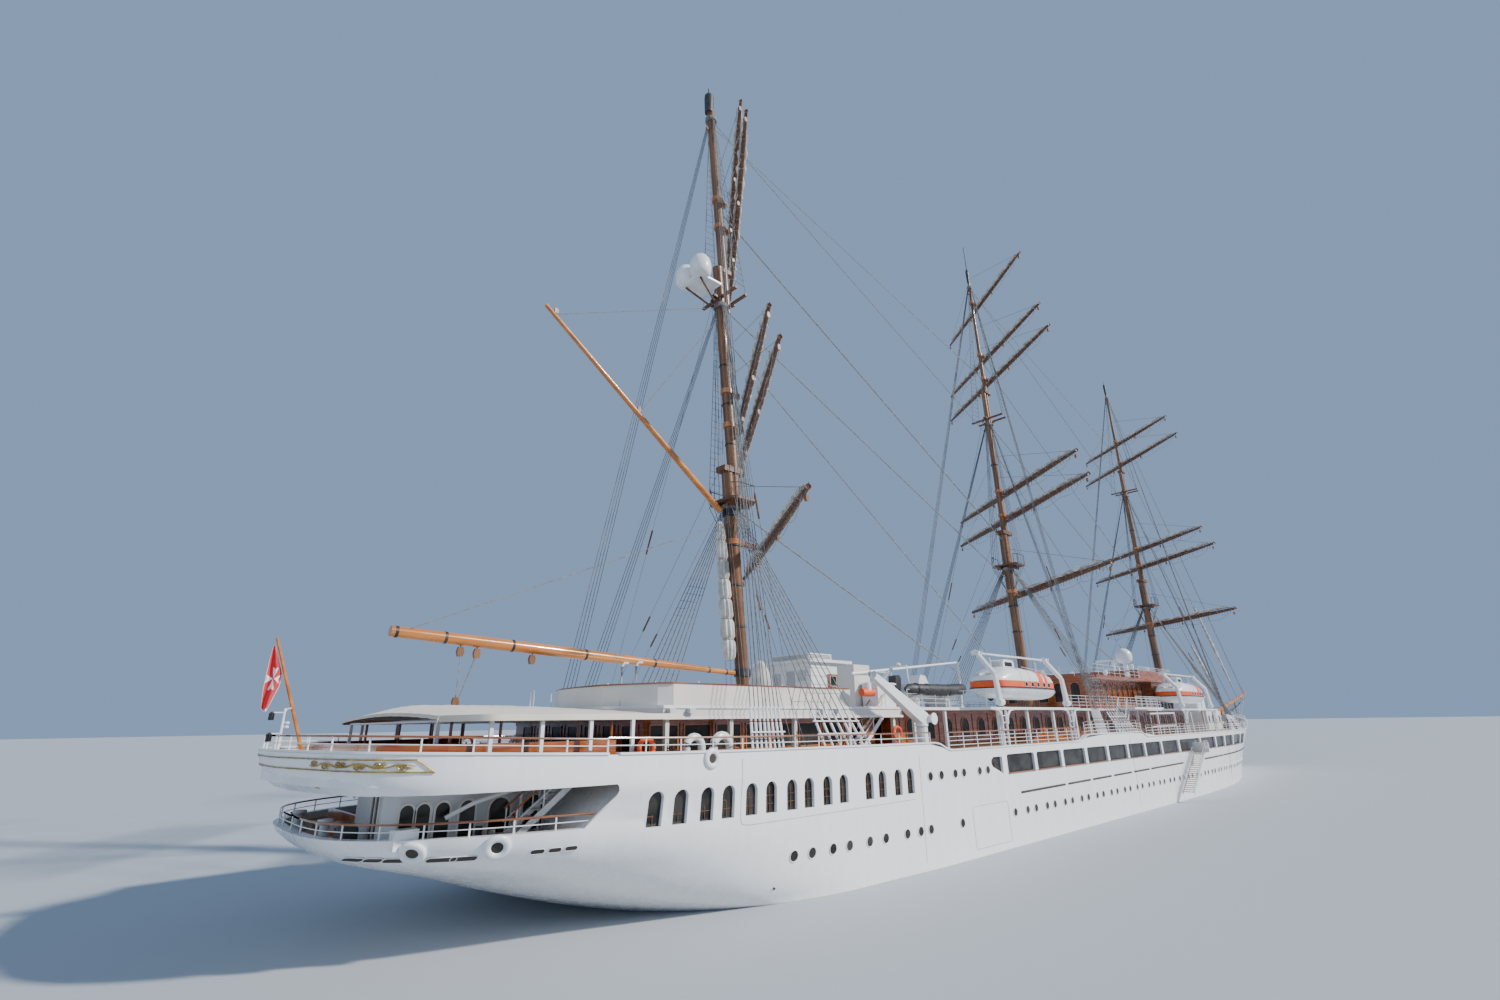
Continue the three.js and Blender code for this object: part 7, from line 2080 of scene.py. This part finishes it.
def build_extra_stays():
    """Further stays between the masts, each with hanks, and the staysails rolled on two of them."""
    wire = Piece("upper_stays", "wire")
    hanks = Piece("stay_hanks", "white")
    cloth = Piece("staysail_rolls", "canvas", sharp=80)
    mizzen, main, fore = MASTS["mizzen"], MASTS["main"], MASTS["fore"]

    def front(mast, z, way=1):
        return Vector((mast_x(mast, z, mast_step(mast, z)) + way * mast_radius(mast, z) * 0.7, 0, z))

    def back(mast, z):
        return front(mast, z, -1)

    runs = [(front(mizzen, 41.0), back(main, 23.4), 0.05, 0.0),
            (front(mizzen, 48.2), back(main, 41.0), 0.025, 0.0),
            (front(mizzen, 31.0), Vector((-5.2, 0, 10.6)), 0.035, 0.0),
            (front(main, 52.0), back(fore, 42.4), 0.025, 0.0),
            (front(main, 43.4), back(fore, 23.4), 0.035, 0.0),
            (front(main, 33.0), Vector((31.2, 0, 10.0)), 0.035, 0.0),
            (front(fore, 52.0), Vector((78.2, 0, 10.45)), 0.025, 0.0),
            (front(fore, 44.0), Vector((73.0, 0, 9.8)), 0.03, 0.24),
            (front(fore, 30.0), Vector((63.4, 0, 8.5)), 0.035, 0.26)]
    for a, b, radius, roll in runs:
        wire.bar(a, b, radius, sides=6)
        for k in range(14):
            p = a.lerp(b, 0.5 + 0.034 * k)
            hanks.hoop(p, radius + 0.04, 0.02, b - a, sides=8, section=4)
        if roll:
            points = [a.lerp(b, 0.62 + 0.34 * k / 30) + Vector((0, 0, 0.24)) for k in range(31)]
            radii = [roll * (0.3 + 0.7 * math.sin(math.pi * (0.1 + 0.85 * k / 30)) ** 0.7)
                     * (0.85 + 0.2 * math.sin(k * 1.9)) for k in range(31)]
            cloth.path(points, roll, 10, radii)


def cad_materials():
    """Looks of the CAD's own bodies, white where the table names no other."""
    finish = {
        "deck": "teak", "propeller": "bronze", "rudder": "hull", "aft_house": "varnish", "sun_deck": "cream",
        "main_house": "varnish", "bridge_house": "varnish", "awning": "awning", "stern_bench": "varnish",
        "bowsprit": "boom", "spanker_sail": "canvas", "rescue_boat": "rubber", "flagstaff": "boom",
"ensign": "red", }
    for name, obj in NODES.items():
        look = finish.get(name, "white")
        if name.endswith("_yard"):
            look = "yard"
        obj.data.materials.clear()
        obj.data.materials.append(M[look])


# Camera, light and floor
FOCAL_PX, PHOTO_WIDTH_PX, SENSOR_MM = 672.09, 1500, 36
FLOOR_REACH = 150


def build_stage():
    """The camera fitted to the photograph, the floor, the sky and two suns."""
    camera_data = bpy.data.cameras.new("camera")
    camera = bpy.data.objects.new("camera", camera_data)
    bpy.context.scene.collection.objects.link(camera)
    right = Vector((0.73027, -0.68300, -0.01464))
    up = Vector((-0.20501, -0.23954, 0.94899))
    forward = Vector((0.65167, 0.69002, 0.31495))
    place = Matrix((right, up, -forward)).transposed().to_4x4()
    place.translation = K * Vector((-63.364, -29.201, 6.895))
    camera.matrix_world = place
    camera_data.sensor_fit = "HORIZONTAL"
    camera_data.sensor_width = SENSOR_MM
    camera_data.lens = FOCAL_PX * SENSOR_MM / PHOTO_WIDTH_PX
    camera_data.clip_start = 0.05
    camera_data.clip_end = 400
    bpy.context.scene.camera = camera

    floor_mat, _, _, shader, _ = new_material("floor_pale")
    shader.inputs["Base Color"].default_value = (0.44, 0.47, 0.5, 1)
    shader.inputs["Roughness"].default_value = 0.75
    mesh = bpy.data.meshes.new("floor")
    corners = [(x * FLOOR_REACH, y * FLOOR_REACH, 0) for x, y in ((-1, -1), (1, -1), (1, 1), (-1, 1))]
    mesh.from_pydata(corners, [], [(0, 1, 2, 3)])
    mesh.materials.append(floor_mat)
    floor = bpy.data.objects.new("floor", mesh)
    bpy.context.scene.collection.objects.link(floor)

    world = bpy.data.worlds.new("studio")
    world.use_nodes = True
    sky = world.node_tree.nodes["Background"]
    sky.inputs["Color"].default_value = (0.36, 0.52, 0.8, 1)
    sky.inputs["Strength"].default_value = 0.7
    bpy.context.scene.world = world
    for name, energy, angle, aim, colour in (("key", 5.4, 3, (-0.5, 0.74, -0.56), (1, 0.97, 0.92)),
                                             ("fill", 0.45, 40, (0.9, 0.1, -0.3), (0.8, 0.9, 1))):
        data = bpy.data.lights.new(name, "SUN")
        data.energy = energy
        data.angle = math.radians(angle)
        data.color = colour
        sun = bpy.data.objects.new(name, data)
        sun.rotation_mode = "QUATERNION"
        sun.rotation_quaternion = Vector(aim).normalized().to_track_quat("-Z", "Y")
        bpy.context.scene.collection.objects.link(sun)


cad_materials()
build_underwater(build_hull())
build_windows()
build_ports()
build_bulwark()
build_deck()
build_rails()
build_mooring_deck()
build_stern_band()
build_hull_fittings()
build_spars()
for mast_name in MASTS:
    build_rigging(mast_name)
build_stays()
for yard_row in YARDS:
    build_yard_lines(*yard_row)
build_running_rigging()
build_extra_stays()
build_houses()
build_aft_deck()
build_sun_deck()
build_cloth()
for boats, boat_x in (("aft", -17.75), ("fore", 18.2)):
    for side in SIDES:
        build_lifeboat(boats, boat_x, side)
        build_davits(boats, boat_x, side)
build_rescue_boat()
build_crane()
build_upper_rails()
build_gangway()
build_bow()
OBJECTS = {item.name: make(item) for item in PIECES if item.faces}
build_stage()
